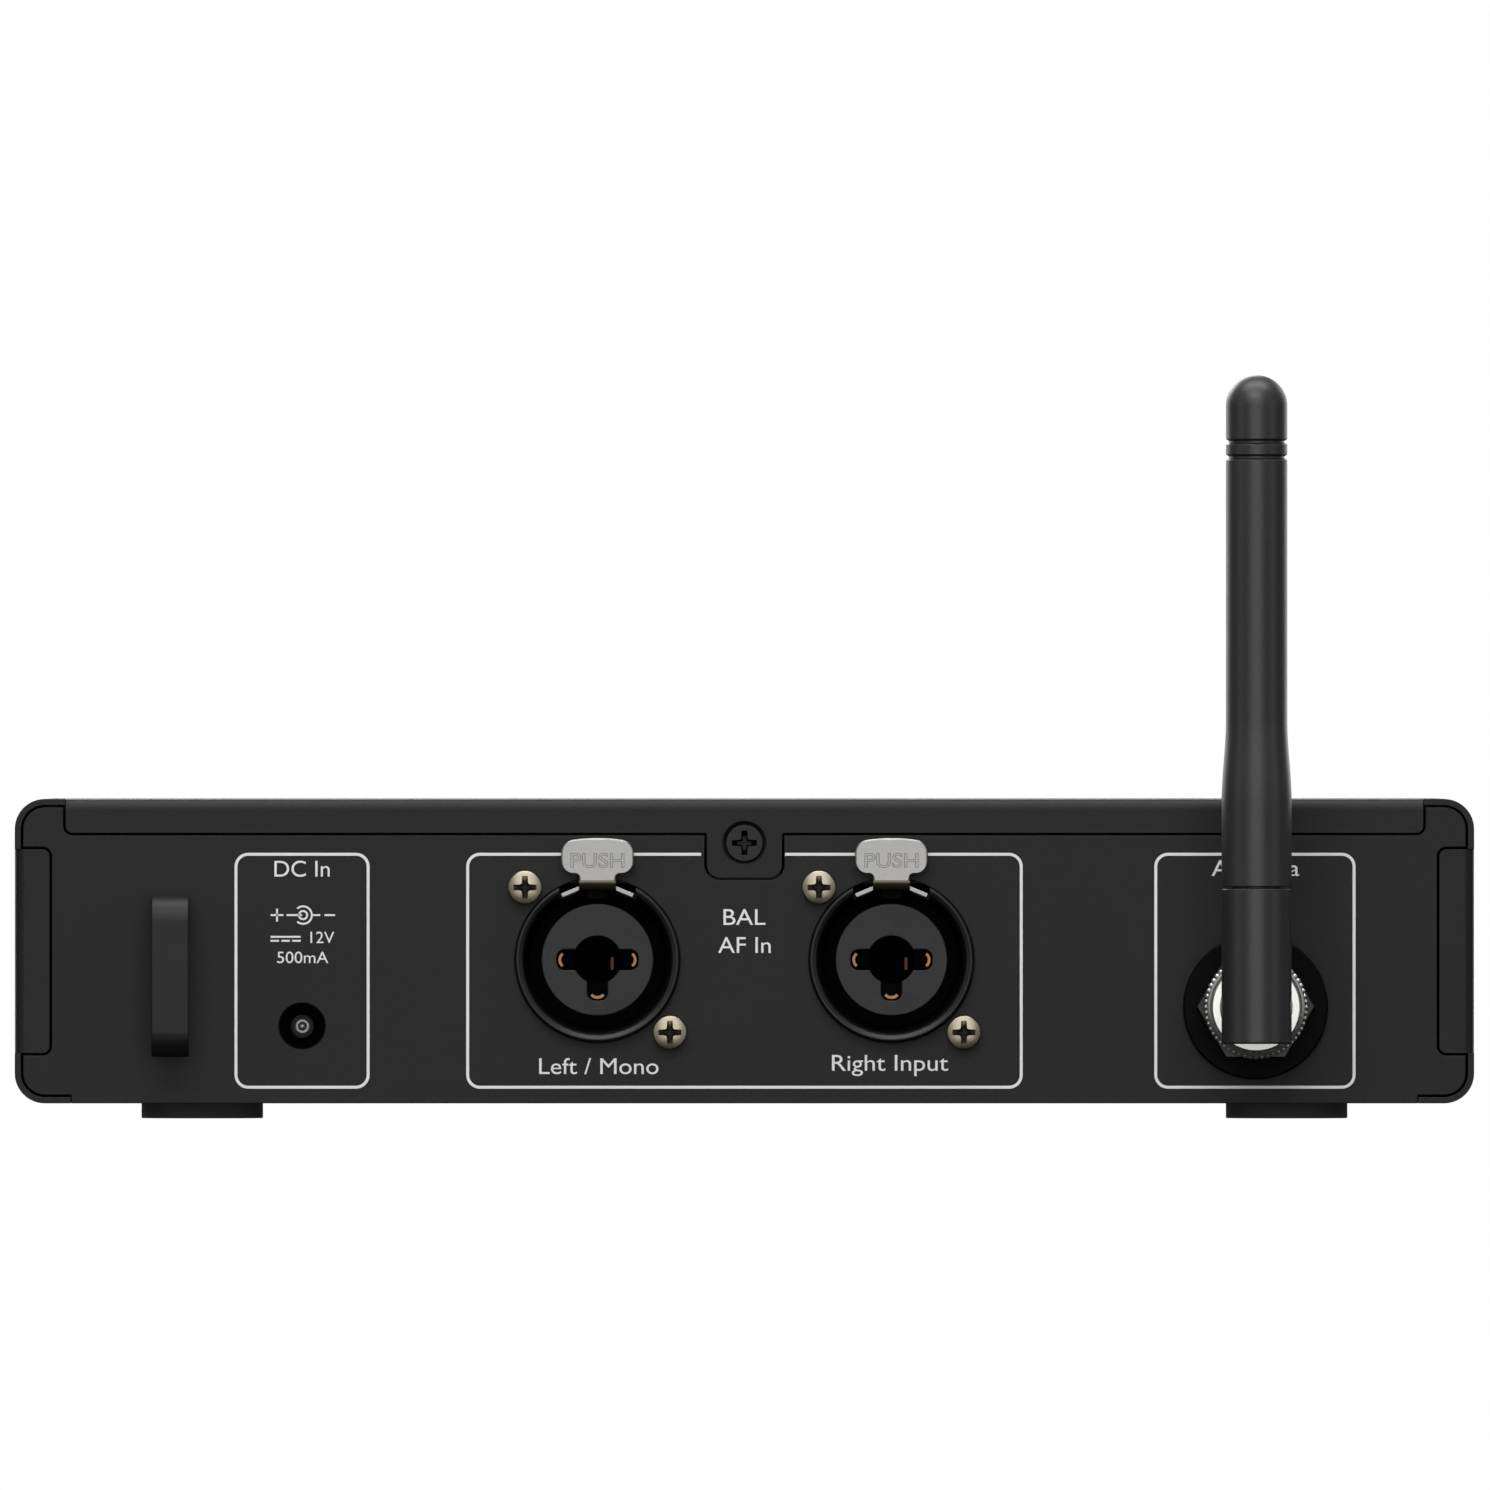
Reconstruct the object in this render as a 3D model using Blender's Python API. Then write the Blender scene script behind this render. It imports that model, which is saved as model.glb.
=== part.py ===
"""Half-rack wireless audio unit with a hinged rod antenna, as an assembly of separate pieces.

A folded steel cover slides over a steel tray whose rear wall carries the connectors. A moulded panel
closes the front. +X is to the right of someone facing the front panel, +Y points out of the rear
panel and +Z is up. The origin is on the ground, in the middle of the overall box. Lengths are in
metres. Every piece is drawn in place, and keeps GAP to its neighbours.
"""

import math

import bmesh
import bpy
from mathutils import Vector

# ---------------------------------------------------------------- driving sizes: case
CASE_WIDTH = 0.2085
CASE_HEIGHT = 0.0435
CASE_DEPTH = 0.132
CORNER_RADIUS = 0.0043
SHEET = 0.0009
FLANGE_SET_BACK = 0.00005
PANEL_THICKNESS = 0.0015
GAP = 0.0003
CUT_MARGIN = 0.002
JOIN_OVERLAP = 0.0002
SMOOTH_ANGLE = math.radians(40)

COVER_LIP = 0.008
TOP_FLANGE_HEIGHT = 0.0049
TOP_FLANGE_END = 0.00725
SIDE_FLANGE_WIDTH = 0.005
SIDE_FLANGE_FOOT = 0.00715
SIDE_FLANGE_HEAD = 0.0072
FLANGE_CORNER = 0.001
TAB_WIDTH = 0.0108
TAB_DROP = 0.0113
TAB_CORNER = 0.0019

TRAY_WALL_HEIGHT = 0.0108
TRAY_WALL_INSET = 0.0057
BRACKET_CLEARANCE = 0.0006
BRACKET_DEPTH = 0.0015
BRACKET_FOOT = 0.0137

FOOT_RADIUS = 0.0087
FOOT_HEIGHT = 0.0022
FOOT_FROM_SIDE = 0.02665
FOOT_FROM_REAR = 0.018
FOOT_FROM_FRONT = 0.024
FRONT_FEET_SPLAY = 0.0008

# ---------------------------------------------------------------- driving sizes: rear connectors
JACK_X = 0.021
JACK_HEIGHT = 0.0205
JACK_NOSE_RADIUS = 0.0117
JACK_NOSE_PROUD = 0.0016
JACK_NOSE_WALL = 0.0021
JACK_SCREW_FROM_NOSE = 0.00294
JACK_BODY_BORDER = 0.00265
JACK_BODY_DROP = 0.00205
JACK_BODY_RISE = 0.00305
JACK_BODY_DEPTH = 0.030
JACK_BORE_DEPTH = 0.016
PHONE_BORE_RADIUS = 0.0034
PHONE_BORE_DEPTH = 0.0325
INSERT_RADIUS = 0.008
INSERT_RECESS = 0.001
LOBE_RADIUS = 0.0015
LOBE_OFFSET = 0.0043
CONTACT_OFFSET = 0.005
CONTACT_THICKNESS = 0.0005
CONTACT_WIDTH = 0.0016
CONTACT_RECESS = 0.0014
CONTACT_LENGTH = 0.012

LATCH_SHEET = 0.0006
LATCH_IN_NOSE = 0.0015
LATCH_SADDLE_HALF = 0.0027
LATCH_WING_HALF = 0.0051
LATCH_WING_DROP = 0.001
LATCH_NECK_WIDTH = 0.0053
LATCH_NECK_HEIGHT = 0.002
LATCH_TAB_WIDTH = 0.0104
LATCH_TAB_HEIGHT = 0.00525
LATCH_NECK_FILLET = 0.0004
LATCH_TAB_CORNER = 0.0016
LATCH_TAB_ROUND = 0.0022
LATCH_TAB_STANDOFF = 0.0018
LATCH_PIVOT_BACK = 0.006
LATCH_PIN_RADIUS = 0.0006
LATCH_PIN_LENGTH = 0.0116
LATCH_HOOK_BACK = 0.0026
LATCH_HOOK_WIDTH = 0.003
LATCH_HOOK_THICKNESS = 0.0012
LATCH_POCKET_SIDE = 0.0005
LATCH_POCKET_BELOW = 0.0016
LATCH_POCKET_BEHIND = 0.0025

DC_FROM_SIDE = 0.04105
DC_HEIGHT = 0.011
DC_HOLE_RADIUS = 0.00335
DC_BODY_WIDTH = 0.0092
DC_BODY_TOP = 0.0054
DC_BODY_DEPTH = 0.013
DC_BORE_RADIUS = 0.00315
DC_BORE_DEPTH = 0.0105
DC_SLEEVE_RADIUS = 0.0018
DC_SLEEVE_BORE = 0.00095
DC_PIN_RADIUS = 0.00065
DC_SLEEVE_LENGTH = 0.008
DC_SLEEVE_BASE = 0.0015

HOOK_FROM_SIDE = 0.02225
HOOK_WIDTH = 0.00536
HOOK_THICKNESS = 0.0018
HOOK_TOP = 0.0296
HOOK_BOTTOM = 0.00666
HOOK_REACH = 0.008
HOOK_TIP_GAP = 0.0036
HOOK_BEND = 0.0027
HOOK_ROOT = 0.004

# ---------------------------------------------------------------- driving sizes: antenna
ANTENNA_FROM_SIDE = 0.03125
ANTENNA_HEIGHT = 0.0138
WASHER_RADIUS = 0.01035
WASHER_THICKNESS = 0.001
NUT_WALL = 0.00265
NUT_THICKNESS = 0.0022
SOCKET_RADIUS = 0.00475
SOCKET_WALL = 0.00125
SOCKET_PROUD = 0.011
SOCKET_BACK = 0.008
SOCKET_BORE_DEPTH = 0.008
SOCKET_COLLAR_WIDTH = 0.00225
SOCKET_COLLAR_DEPTH = 0.002
STUD_RADIUS = 0.001
STUD_HEIGHT = 0.00075
STUD_PROUD = 0.0075
COUPLING_CLEARANCE = 0.0003
COUPLING_WALL = 0.00145
COUPLING_LENGTH = 0.0115
COUPLING_END_WALL = 0.002
COUPLING_CHAMFER = 0.00065
PLUG_COLLAR_CLEARANCE = 0.0004
PLUG_NECK_RADIUS = 0.0042
PLUG_TIP_LENGTH = 0.0071
BARREL_RADIUS = 0.0049
BARREL_LENGTH = 0.0006
BARREL_CLEARANCE = 0.0004
ROD_FOOT_RADIUS = 0.005
ROD_RADIUS = 0.00438
ROD_AXIS_OUT = 0.022
KNUCKLE_BELOW = 0.0052
KNUCKLE_ABOVE = 0.0169
KNUCKLE_ROUND = 0.005
SPIGOT_RADIUS = 0.0035
SPIGOT_LENGTH = 0.006
TONGUE_THICKNESS = 0.0032
TONGUE_RADIUS = 0.0036
SLOT_CLEARANCE = 0.0002
PIVOT_RADIUS = 0.0011
PIVOT_LENGTH = 0.009
WHIP_TOP = 0.0901
WHIP_TAPER_START = 0.0291
WHIP_TAPER_END = 0.041
WHIP_GROOVES = (0.0784, 0.0806)
WHIP_GROOVE_WIDTH = 0.0006
WHIP_GROOVE_DEPTH = 0.0004

# ---------------------------------------------------------------- driving sizes: front
FRONT_DEPTH = 0.011
FRONT_WALL = 0.003
FRONT_RIM = 0.002
LENS_FROM_CONTROLS = 0.0176
LENS_HEIGHT = 0.0228
LENS_THICKNESS = 0.0015
LENS_CORNER = 0.0015
WINDOW_BORDER = 0.002
MODULE_BORDER = 0.0025
MODULE_THICKNESS = 0.0039
KEY_WIDTH = 0.009
KEY_HEIGHT = 0.006
KEY_CORNER = 0.0012
KEY_PROUD = 0.0012
KEY_FLANGE = 0.001
KEY_FLANGE_BORDER = 0.0012
KEY_STEM_RADIUS = 0.0015
KEY_STEM_LENGTH = 0.001
KEY_COLUMNS_FROM_SIDE = (0.05025, 0.03425, 0.01625)
KEY_ROW_OFFSET = 0.0065
POWER_FROM_SIDE = 0.01625
POWER_SIZE = 0.0095
POWER_CORNER = 0.0022
SWITCH_SIZE = 0.006
SWITCH_HEIGHT = 0.001
FRONT_BOARD_BACK = 0.0075
FRONT_BOARD_SIDE_CLEARANCE = 0.00525
FRONT_BOARD_CLEARANCE = 0.00225
BOARD_THICKNESS = 0.0016

PHONES_FROM_SIDE = 0.03825
PHONES_BUSH_RADIUS = 0.0055
PHONES_BUSH_PROUD = 0.003
PHONES_BORE_RADIUS = 0.00325
PHONES_BODY_WIDTH = 0.015
PHONES_BODY_HEIGHT = 0.014
PHONES_BODY_DEPTH = 0.026
PHONES_BORE_DEPTH = 0.030
PHONES_NUT_RADIUS = 0.0075
PHONES_NUT_THICKNESS = 0.0022

KNOB_FROM_SIDE = 0.06225
KNOB_PROUD = 0.012
KNOB_RADIUS = 0.0075
KNOB_CLEARANCE = 0.0008
KNOB_POINTER_WIDTH = 0.0008
KNOB_POINTER_DEPTH = 0.0004
SHAFT_RADIUS = 0.003
SHAFT_IN_KNOB = 0.009
SHAFT_IN_POT = 0.008
POT_BUSH_WALL = 0.0012
POT_BUSH_PROUD = 0.0004
POT_WIDTH = 0.014
POT_HEIGHT = 0.014
POT_DEPTH = 0.0085

# ---------------------------------------------------------------- driving sizes: inside
BOARD_LIFT = 0.0042
BOARD_FROM_SIDE = 0.01225
BOARD_FROM_FRONT = 0.014
BOARD_FROM_REAR = 0.0045
STANDOFF_RADIUS = 0.0032
STANDOFF_FROM_SIDE = 0.006
STANDOFF_FROM_EDGE = 0.006
CHIPS = (
    (0.045, 0.004, 0.018, 0.018, 0.0024),
    (0.012, -0.018, 0.012, 0.012, 0.0016),
    (-0.016, -0.024, 0.010, 0.016, 0.0020),
    (0.056, -0.024, 0.014, 0.012, 0.0060),
)
SHIELD_FROM_ANTENNA = 0.011
SHIELD_WIDTH = 0.044
SHIELD_DEPTH = 0.030
SHIELD_HEIGHT = 0.0057
SHIELD_FROM_JACKS = 0.002
PIGTAIL_RADIUS = 0.0009
PIGTAIL_OVERLAP = 0.008
PIGTAIL_RISE = 0.0012
RIBBON_WIDTH = 0.022
RIBBON_THICKNESS = 0.0004
RIBBON_STANDOFF = 0.0022
RIBBON_ON_BOARD = 0.010
RIBBON_HEIGHT = 0.016
RIBBON_BEND = 0.002
CAPACITOR_RADIUS = 0.004
CAPACITOR_HEIGHT = 0.012
CAPACITOR_FROM_INLET = (0.0168, 0.022)

# ---------------------------------------------------------------- driving sizes: screws
JACK_SCREW = {"head_radius": 0.0024, "head_height": 0.0015, "shank_radius": 0.00125, "length": 0.0095}
BOARD_SCREW = {"head_radius": 0.0026, "head_height": 0.0016, "shank_radius": 0.0013, "length": 0.0048}
COVER_SCREW_HEAD_RADIUS = 0.00275
COVER_SCREW_SHANK_RADIUS = 0.0014
COVER_SCREW_LENGTH = 0.007
COVER_SCREW_DROP = 0.0063
CROSS_WIDTH = 0.0007
CROSS_SPAN = 0.0027
CROSS_DEPTH = 0.0009

# ---------------------------------------------------------------- worked-out places
ANTENNA_PROUD = ROD_AXIS_OUT + ROD_FOOT_RADIUS
Y_REAR = (CASE_DEPTH + KNOB_PROUD - ANTENNA_PROUD) / 2
Y_FRONT = Y_REAR - CASE_DEPTH
Y_COVER_FRONT = Y_FRONT + FRONT_DEPTH + GAP
Y_PANEL_BACK = Y_REAR - PANEL_THICKNESS
Y_BEHIND_PANEL = Y_PANEL_BACK - GAP
Z_BOTTOM = FOOT_HEIGHT
Z_TOP = FOOT_HEIGHT + CASE_HEIGHT
Z_MID = FOOT_HEIGHT + CASE_HEIGHT / 2
Z_DC = Z_BOTTOM + DC_HEIGHT
Z_ANTENNA = Z_BOTTOM + ANTENNA_HEIGHT
Z_BOARD = Z_BOTTOM + SHEET + BOARD_LIFT
Z_BOARD_TOP = Z_BOARD + BOARD_THICKNESS
Y_ROD = Y_REAR + ROD_AXIS_OUT
Y_BARREL_END = Y_ROD - ROD_FOOT_RADIUS - BARREL_CLEARANCE
Y_COUPLING_FRONT = Y_REAR + WASHER_THICKNESS + NUT_THICKNESS + 3 * GAP
Y_COUPLING_REAR = Y_COUPLING_FRONT + COUPLING_LENGTH
TAB_SCREW_Z = Z_TOP - COVER_SCREW_DROP
X_SIDE = CASE_WIDTH / 2
FOOT_X = X_SIDE - FOOT_FROM_SIDE
DC_X = X_SIDE - DC_FROM_SIDE
HOOK_X = X_SIDE - HOOK_FROM_SIDE
ANTENNA_X = ANTENNA_FROM_SIDE - X_SIDE
POWER_X = POWER_FROM_SIDE - X_SIDE
PHONES_X = PHONES_FROM_SIDE - X_SIDE
KNOB_X = KNOB_FROM_SIDE - X_SIDE
UPPER_ROW = Z_MID + KEY_ROW_OFFSET
LOWER_ROW = Z_MID - KEY_ROW_OFFSET
ARROW_COLUMN, MENU_COLUMN, SYNC_COLUMN = (X_SIDE - offset for offset in KEY_COLUMNS_FROM_SIDE)
KEYS = {
    "key_up": (ARROW_COLUMN, UPPER_ROW),
    "key_down": (ARROW_COLUMN, LOWER_ROW),
    "key_set": (MENU_COLUMN, UPPER_ROW),
    "key_escape": (MENU_COLUMN, LOWER_ROW),
    "key_sync": (SYNC_COLUMN, LOWER_ROW),
}
IR_WINDOW_PLACE = (SYNC_COLUMN, UPPER_ROW)
LENS_X = (KNOB_X + ARROW_COLUMN) / 2
LENS_WIDTH = ARROW_COLUMN - KNOB_X - 2 * LENS_FROM_CONTROLS
MODULE_WIDTH = LENS_WIDTH + 2 * MODULE_BORDER
MODULE_HEIGHT = LENS_HEIGHT + 2 * MODULE_BORDER
FRONT_BOARD_WIDTH = CASE_WIDTH - 2 * (FRONT_RIM + FRONT_BOARD_SIDE_CLEARANCE)
FRONT_BOARD_HEIGHT = CASE_HEIGHT - 2 * (FRONT_RIM + FRONT_BOARD_CLEARANCE)
BOARD_HALF = X_SIDE - BOARD_FROM_SIDE
STANDOFF_X = BOARD_HALF - STANDOFF_FROM_SIDE
JACK_BORE_RADIUS = JACK_NOSE_RADIUS - JACK_NOSE_WALL
JACK_SCREW_OFFSET = (JACK_NOSE_RADIUS + JACK_SCREW_FROM_NOSE) / math.sqrt(2)
Z_JACK = max(Z_BOTTOM + JACK_HEIGHT, Z_BOARD_TOP + GAP + JACK_BODY_DROP + JACK_SCREW_OFFSET)
JACK_BODY_HALF = JACK_SCREW_OFFSET + JACK_BODY_BORDER
JACK_BACK = Y_BEHIND_PANEL - JACK_BODY_DEPTH
LATCH_HEIGHT = JACK_NOSE_RADIUS - LATCH_IN_NOSE
BRACKET_HALF = JACK_X - JACK_BODY_HALF - BRACKET_CLEARANCE
SOCKET_BORE_RADIUS = SOCKET_RADIUS - SOCKET_WALL
STUD_REACH = SOCKET_RADIUS + STUD_HEIGHT
COUPLING_BORE = STUD_REACH + COUPLING_CLEARANCE
COUPLING_RADIUS = COUPLING_BORE + COUPLING_WALL

# ---------------------------------------------------------------- materials
MATERIALS = {
    "cover_paint": ((0.020, 0.020, 0.020), 0.62, 0.0),
    "panel_paint": ((0.026, 0.026, 0.026), 0.58, 0.0),
    "moulding": ((0.022, 0.022, 0.022), 0.55, 0.0),
    "connector_black": ((0.016, 0.016, 0.016), 0.45, 0.0),
    "rubber": ((0.012, 0.012, 0.012), 0.80, 0.0),
    "antenna_rubber": ((0.040, 0.040, 0.040), 0.66, 0.0),
    "nickel": ((0.62, 0.61, 0.58), 0.28, 1.0),
    "screw_steel": ((0.55, 0.50, 0.42), 0.34, 1.0),
    "black_steel": ((0.030, 0.030, 0.030), 0.45, 0.6),
    "gold": ((0.80, 0.55, 0.25), 0.30, 1.0),
    "tin_shield": ((0.60, 0.60, 0.60), 0.38, 1.0),
    "lens": ((0.010, 0.011, 0.012), 0.08, 0.0),
    "display": ((0.08, 0.09, 0.08), 0.40, 0.0),
    "circuit_board": ((0.015, 0.085, 0.040), 0.48, 0.0),
    "cable_black": ((0.020, 0.020, 0.020), 0.50, 0.0),
    "ribbon_white": ((0.70, 0.70, 0.68), 0.50, 0.0),
    "capacitor_sleeve": ((0.020, 0.024, 0.060), 0.35, 0.0),
}


def clear_scene():
    """Removes whatever the startup file holds."""
    for obj in list(bpy.data.objects):
        bpy.data.objects.remove(obj, do_unlink=True)


def material(name):
    """The Principled material of that name, made when it is first asked for."""
    found = bpy.data.materials.get(name)
    if found:
        return found
    colour, roughness, metallic = MATERIALS[name]
    made = bpy.data.materials.new(name)
    made.use_nodes = True
    shader = made.node_tree.nodes["Principled BSDF"]
    shader.inputs["Base Color"].default_value = (*colour, 1.0)
    shader.inputs["Roughness"].default_value = roughness
    shader.inputs["Metallic"].default_value = metallic
    made.diffuse_color = (*colour, 1.0)
    return made


# ---------------------------------------------------------------- outlines, in two dimensions
def rounded(corners, inset=0.0, steps=4, closed=True):
    """Points along an outline given by its sharp corners (u, v, radius), counter-clockwise.

    A positive inset moves a closed outline inwards, and keeps its rounded corners concentric.
    """
    sharp = [Vector(corner[:2]) for corner in corners]
    count = len(sharp)
    points = []
    for i, corner in enumerate(corners):
        if not closed and i in (0, count - 1):
            points.append(sharp[i])
            continue
        arriving = (sharp[i] - sharp[i - 1]).normalized()
        leaving = (sharp[(i + 1) % count] - sharp[i]).normalized()
        normal_in = Vector((-arriving.y, arriving.x))
        normal_out = Vector((-leaving.y, leaving.x))
        moved = sharp[i] + (normal_in + normal_out) * (inset / (1 + normal_in.dot(normal_out)))
        turn = arriving.angle_signed(leaving) * -1
        convex = turn > 0
        radius = corner[2] - inset if convex else corner[2] + inset
        if corner[2] <= 0 or radius <= 0:
            points.append(moved)
            continue
        start = moved - arriving * (radius * math.tan(abs(turn) / 2))
        side = 1 if convex else -1
        centre = start + normal_in * (radius * side)
        spoke = start - centre
        for step in range(steps + 1):
            angle = turn * step / steps
            turned_spoke = Vector(
                (
                    spoke.x * math.cos(angle) - spoke.y * math.sin(angle),
                    spoke.x * math.sin(angle) + spoke.y * math.cos(angle),
                )
            )
            points.append(centre + turned_spoke)
    return points


def rectangle(width, height, radius=0.0, centre=(0.0, 0.0)):
    """Corners of a rectangle, counter-clockwise."""
    u, v = centre
    signs = ((-1, -1), (1, -1), (1, 1), (-1, 1))
    return [(u + a * width / 2, v + b * height / 2, radius) for a, b in signs]


def circle(radius, steps, centre=(0.0, 0.0), start=0.0):
    """Points round a circle, counter-clockwise."""
    angles = (start + 2 * math.pi * i / steps for i in range(steps))
    return [Vector((centre[0] + radius * math.cos(a), centre[1] + radius * math.sin(a))) for a in angles]


def strip(path, thickness):
    """Closed outline of a strip of constant thickness that follows an open path."""
    left, right = [], []
    for i, point in enumerate(path):
        before = (point - path[i - 1]).normalized() if i else None
        after = (path[i + 1] - point).normalized() if i + 1 < len(path) else None
        first, second = before or after, after or before
        normal = Vector((-first.y - second.y, first.x + second.x)).normalized()
        reach = thickness / 2 / normal.dot(Vector((-first.y, first.x)))
        left.append(point + normal * reach)
        right.append(point - normal * reach)
    return right + left[::-1]


def mirrored(corners):
    """The corners of the right half, followed by their mirror image across u = 0."""
    return corners + [(-u, v, radius) for u, v, radius in reversed(corners)]


# ---------------------------------------------------------------- solids, as bmesh
def place(u, v, w, axis):
    """The point at (u, v) across an axis and w along it: X takes (y, z), Y takes (x, z), Z takes (x, y)."""
    return {"X": (w, u, v), "Y": (u, w, v), "Z": (u, v, w)}[axis]


def prism(outline, low, high, axis, into=None):
    """A straight solid on an outline, from low to high along an axis."""
    bm = into or bmesh.new()
    corners = [bm.verts.new(place(u, v, low, axis)) for u, v in outline]
    face = bm.faces.new(corners)
    raised = bmesh.ops.extrude_face_region(bm, geom=[face])["geom"]
    moved = [item for item in raised if isinstance(item, bmesh.types.BMVert)]
    bmesh.ops.translate(bm, verts=moved, vec=Vector(place(0, 0, high - low, axis)))
    bmesh.ops.recalc_face_normals(bm, faces=bm.faces)
    return bm


def box(low, high, into=None):
    """A rectangular block between two corners."""
    centre = ((low[0] + high[0]) / 2, (low[2] + high[2]) / 2)
    outline = rounded(rectangle(high[0] - low[0], high[2] - low[2], centre=centre))
    return prism(outline, low[1], high[1], "Y", into)


def turned(profile, axis, centre=(0.0, 0.0), steps=32, into=None):
    """A solid turned about an axis through centre, from a profile of (radius, distance along the axis).

    A profile that starts and ends at radius 0 closes on the axis; any other is a ring.
    """
    bm = into or bmesh.new()
    rings = []
    for radius, along in profile:
        if radius <= 0:
            rings.append([bm.verts.new(place(*centre, along, axis))])
        else:
            points = circle(radius, steps, centre)
            rings.append([bm.verts.new(place(u, v, along, axis)) for u, v in points])
    closed = profile[0][0] > 0
    pairs = list(zip(rings, rings[1:] + rings[:1])) if closed else list(zip(rings, rings[1:]))
    for first, second in pairs:
        for i in range(steps):
            quad = [first[i % len(first)], first[(i + 1) % len(first)]]
            quad += [second[(i + 1) % len(second)], second[i % len(second)]]
            corners = list(dict.fromkeys(quad))
            if len(corners) > 2:
                bm.faces.new(corners)
    bmesh.ops.recalc_face_normals(bm, faces=bm.faces)
    return bm


def cylinder(radius, low, high, axis, centre, steps=24, into=None):
    """A plain round bar along an axis."""
    return prism(circle(radius, steps, centre), low, high, axis, into)


def cross_outline(centre, width=CROSS_WIDTH, span=CROSS_SPAN):
    """The outline of a cross recess."""
    w, s = width / 2, span / 2
    quarter = [(s, -w), (s, w), (w, w)]
    points = []
    for turns in range(4):
        for u, v in quarter:
            for _ in range(turns):
                u, v = -v, u
            points.append(Vector((centre[0] + u, centre[1] + v)))
    return points


# ---------------------------------------------------------------- objects
def world_origin(obj):
    """Where an object's origin is, adding up its parents' places."""
    return obj.location + (world_origin(obj.parent) if obj.parent else Vector((0, 0, 0)))


def attach(obj, parent, origin):
    """Parents obj and puts its origin at a place in the world."""
    obj.parent = parent
    obj.location = Vector(origin) - (world_origin(parent) if parent else Vector((0, 0, 0)))


def pivot(name, origin, parent=None):
    """An empty on a joint's axis, which carries the pieces that move about it."""
    empty = bpy.data.objects.new(name, None)
    empty.empty_display_size = 0.005
    bpy.context.scene.collection.objects.link(empty)
    attach(empty, parent, origin)
    return empty


def piece(name, bm, finish, parent=None, origin=(0, 0, 0), smooth=True):
    """Makes an object from geometry drawn in place, with its own origin."""
    mesh = bpy.data.meshes.new(name)
    bmesh.ops.translate(bm, verts=bm.verts, vec=-Vector(origin))
    bm.to_mesh(mesh)
    bm.free()
    if smooth:
        mesh.shade_smooth()
        mesh.set_sharp_from_angle(angle=SMOOTH_ANGLE)
    mesh.materials.append(material(finish))
    obj = bpy.data.objects.new(name, mesh)
    bpy.context.scene.collection.objects.link(obj)
    attach(obj, parent, origin)
    return obj


def combine(obj, bm, operation, label):
    """Adds a Boolean whose operand is drawn in place and left out of the object."""
    mesh = bpy.data.meshes.new(label)
    bmesh.ops.translate(bm, verts=bm.verts, vec=-world_origin(obj))
    bm.to_mesh(mesh)
    bm.free()
    operand = bpy.data.objects.new(label, mesh)
    bpy.context.scene.collection.objects.link(operand)
    operand.parent = obj
    operand.hide_render = True
    operand.display_type = "WIRE"
    modifier = obj.modifiers.new(label, "BOOLEAN")
    modifier.operation = operation
    modifier.solver = "EXACT"
    modifier.object = operand


def cut(obj, bm, label):
    """Cuts a shape away."""
    combine(obj, bm, "DIFFERENCE", f"{obj.name}.cut.{label}")


def join(obj, bm, label):
    """Joins a shape on. The two have to overlap."""
    combine(obj, bm, "UNION", f"{obj.name}.join.{label}")


# ---------------------------------------------------------------- case
def rear_opening(bottom):
    """Corners of the opening that the cover's sleeve and flanges leave, down to the given height."""
    half = CASE_WIDTH / 2
    inner, lip = half - SHEET, half - COVER_LIP
    side = half - SIDE_FLANGE_WIDTH
    side_low, side_high = Z_BOTTOM + SIDE_FLANGE_FOOT, Z_TOP - SIDE_FLANGE_HEAD
    top_end, top_foot = half - TOP_FLANGE_END, Z_TOP - TOP_FLANGE_HEIGHT
    corner = CORNER_RADIUS - SHEET
    return mirrored(
        [
            (lip, bottom, 0),
            (lip, Z_BOTTOM + SHEET, 0),
            (inner, Z_BOTTOM + SHEET, corner),
            (inner, side_low, 0),
            (side, side_low, FLANGE_CORNER),
            (side, side_high, FLANGE_CORNER),
            (inner, side_high, 0),
            (inner, Z_TOP - SHEET, corner),
            (top_end, Z_TOP - SHEET, 0),
            (top_end, top_foot, FLANGE_CORNER),
            (TAB_WIDTH / 2, top_foot, 0),
            (TAB_WIDTH / 2, Z_TOP - TAB_DROP, TAB_CORNER),
        ]
    )


def case_outline(inset=0.0, steps=4):
    """The rounded section of the whole case."""
    return rounded(rectangle(CASE_WIDTH, CASE_HEIGHT, CORNER_RADIUS, (0, Z_MID)), inset, steps)


def countersink(radius, shank_radius, mouth, clearance):
    """Profile of a countersunk head and shank along -Y from its mouth, widened by a clearance."""
    depth = radius - shank_radius
    wide, narrow = radius + clearance, shank_radius + clearance
    return wide, narrow, mouth - depth


def sleeve_outline():
    """Section of the cover's sleeve: top, sides and the two lips under the tray, as one bent sheet."""
    half, lip = CASE_WIDTH / 2, CASE_WIDTH / 2 - COVER_LIP
    inner, bend = half - SHEET, CORNER_RADIUS - SHEET
    low, high = Z_BOTTOM, Z_TOP
    outside = [(lip, low, 0), (half, low, CORNER_RADIUS), (half, high, CORNER_RADIUS)]
    inside = [(lip, low + SHEET, 0), (inner, low + SHEET, bend), (inner, high - SHEET, bend)]
    left_inside = [(-u, v, radius) for u, v, radius in inside]
    return rounded(mirrored(outside) + left_inside + inside[::-1])


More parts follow.
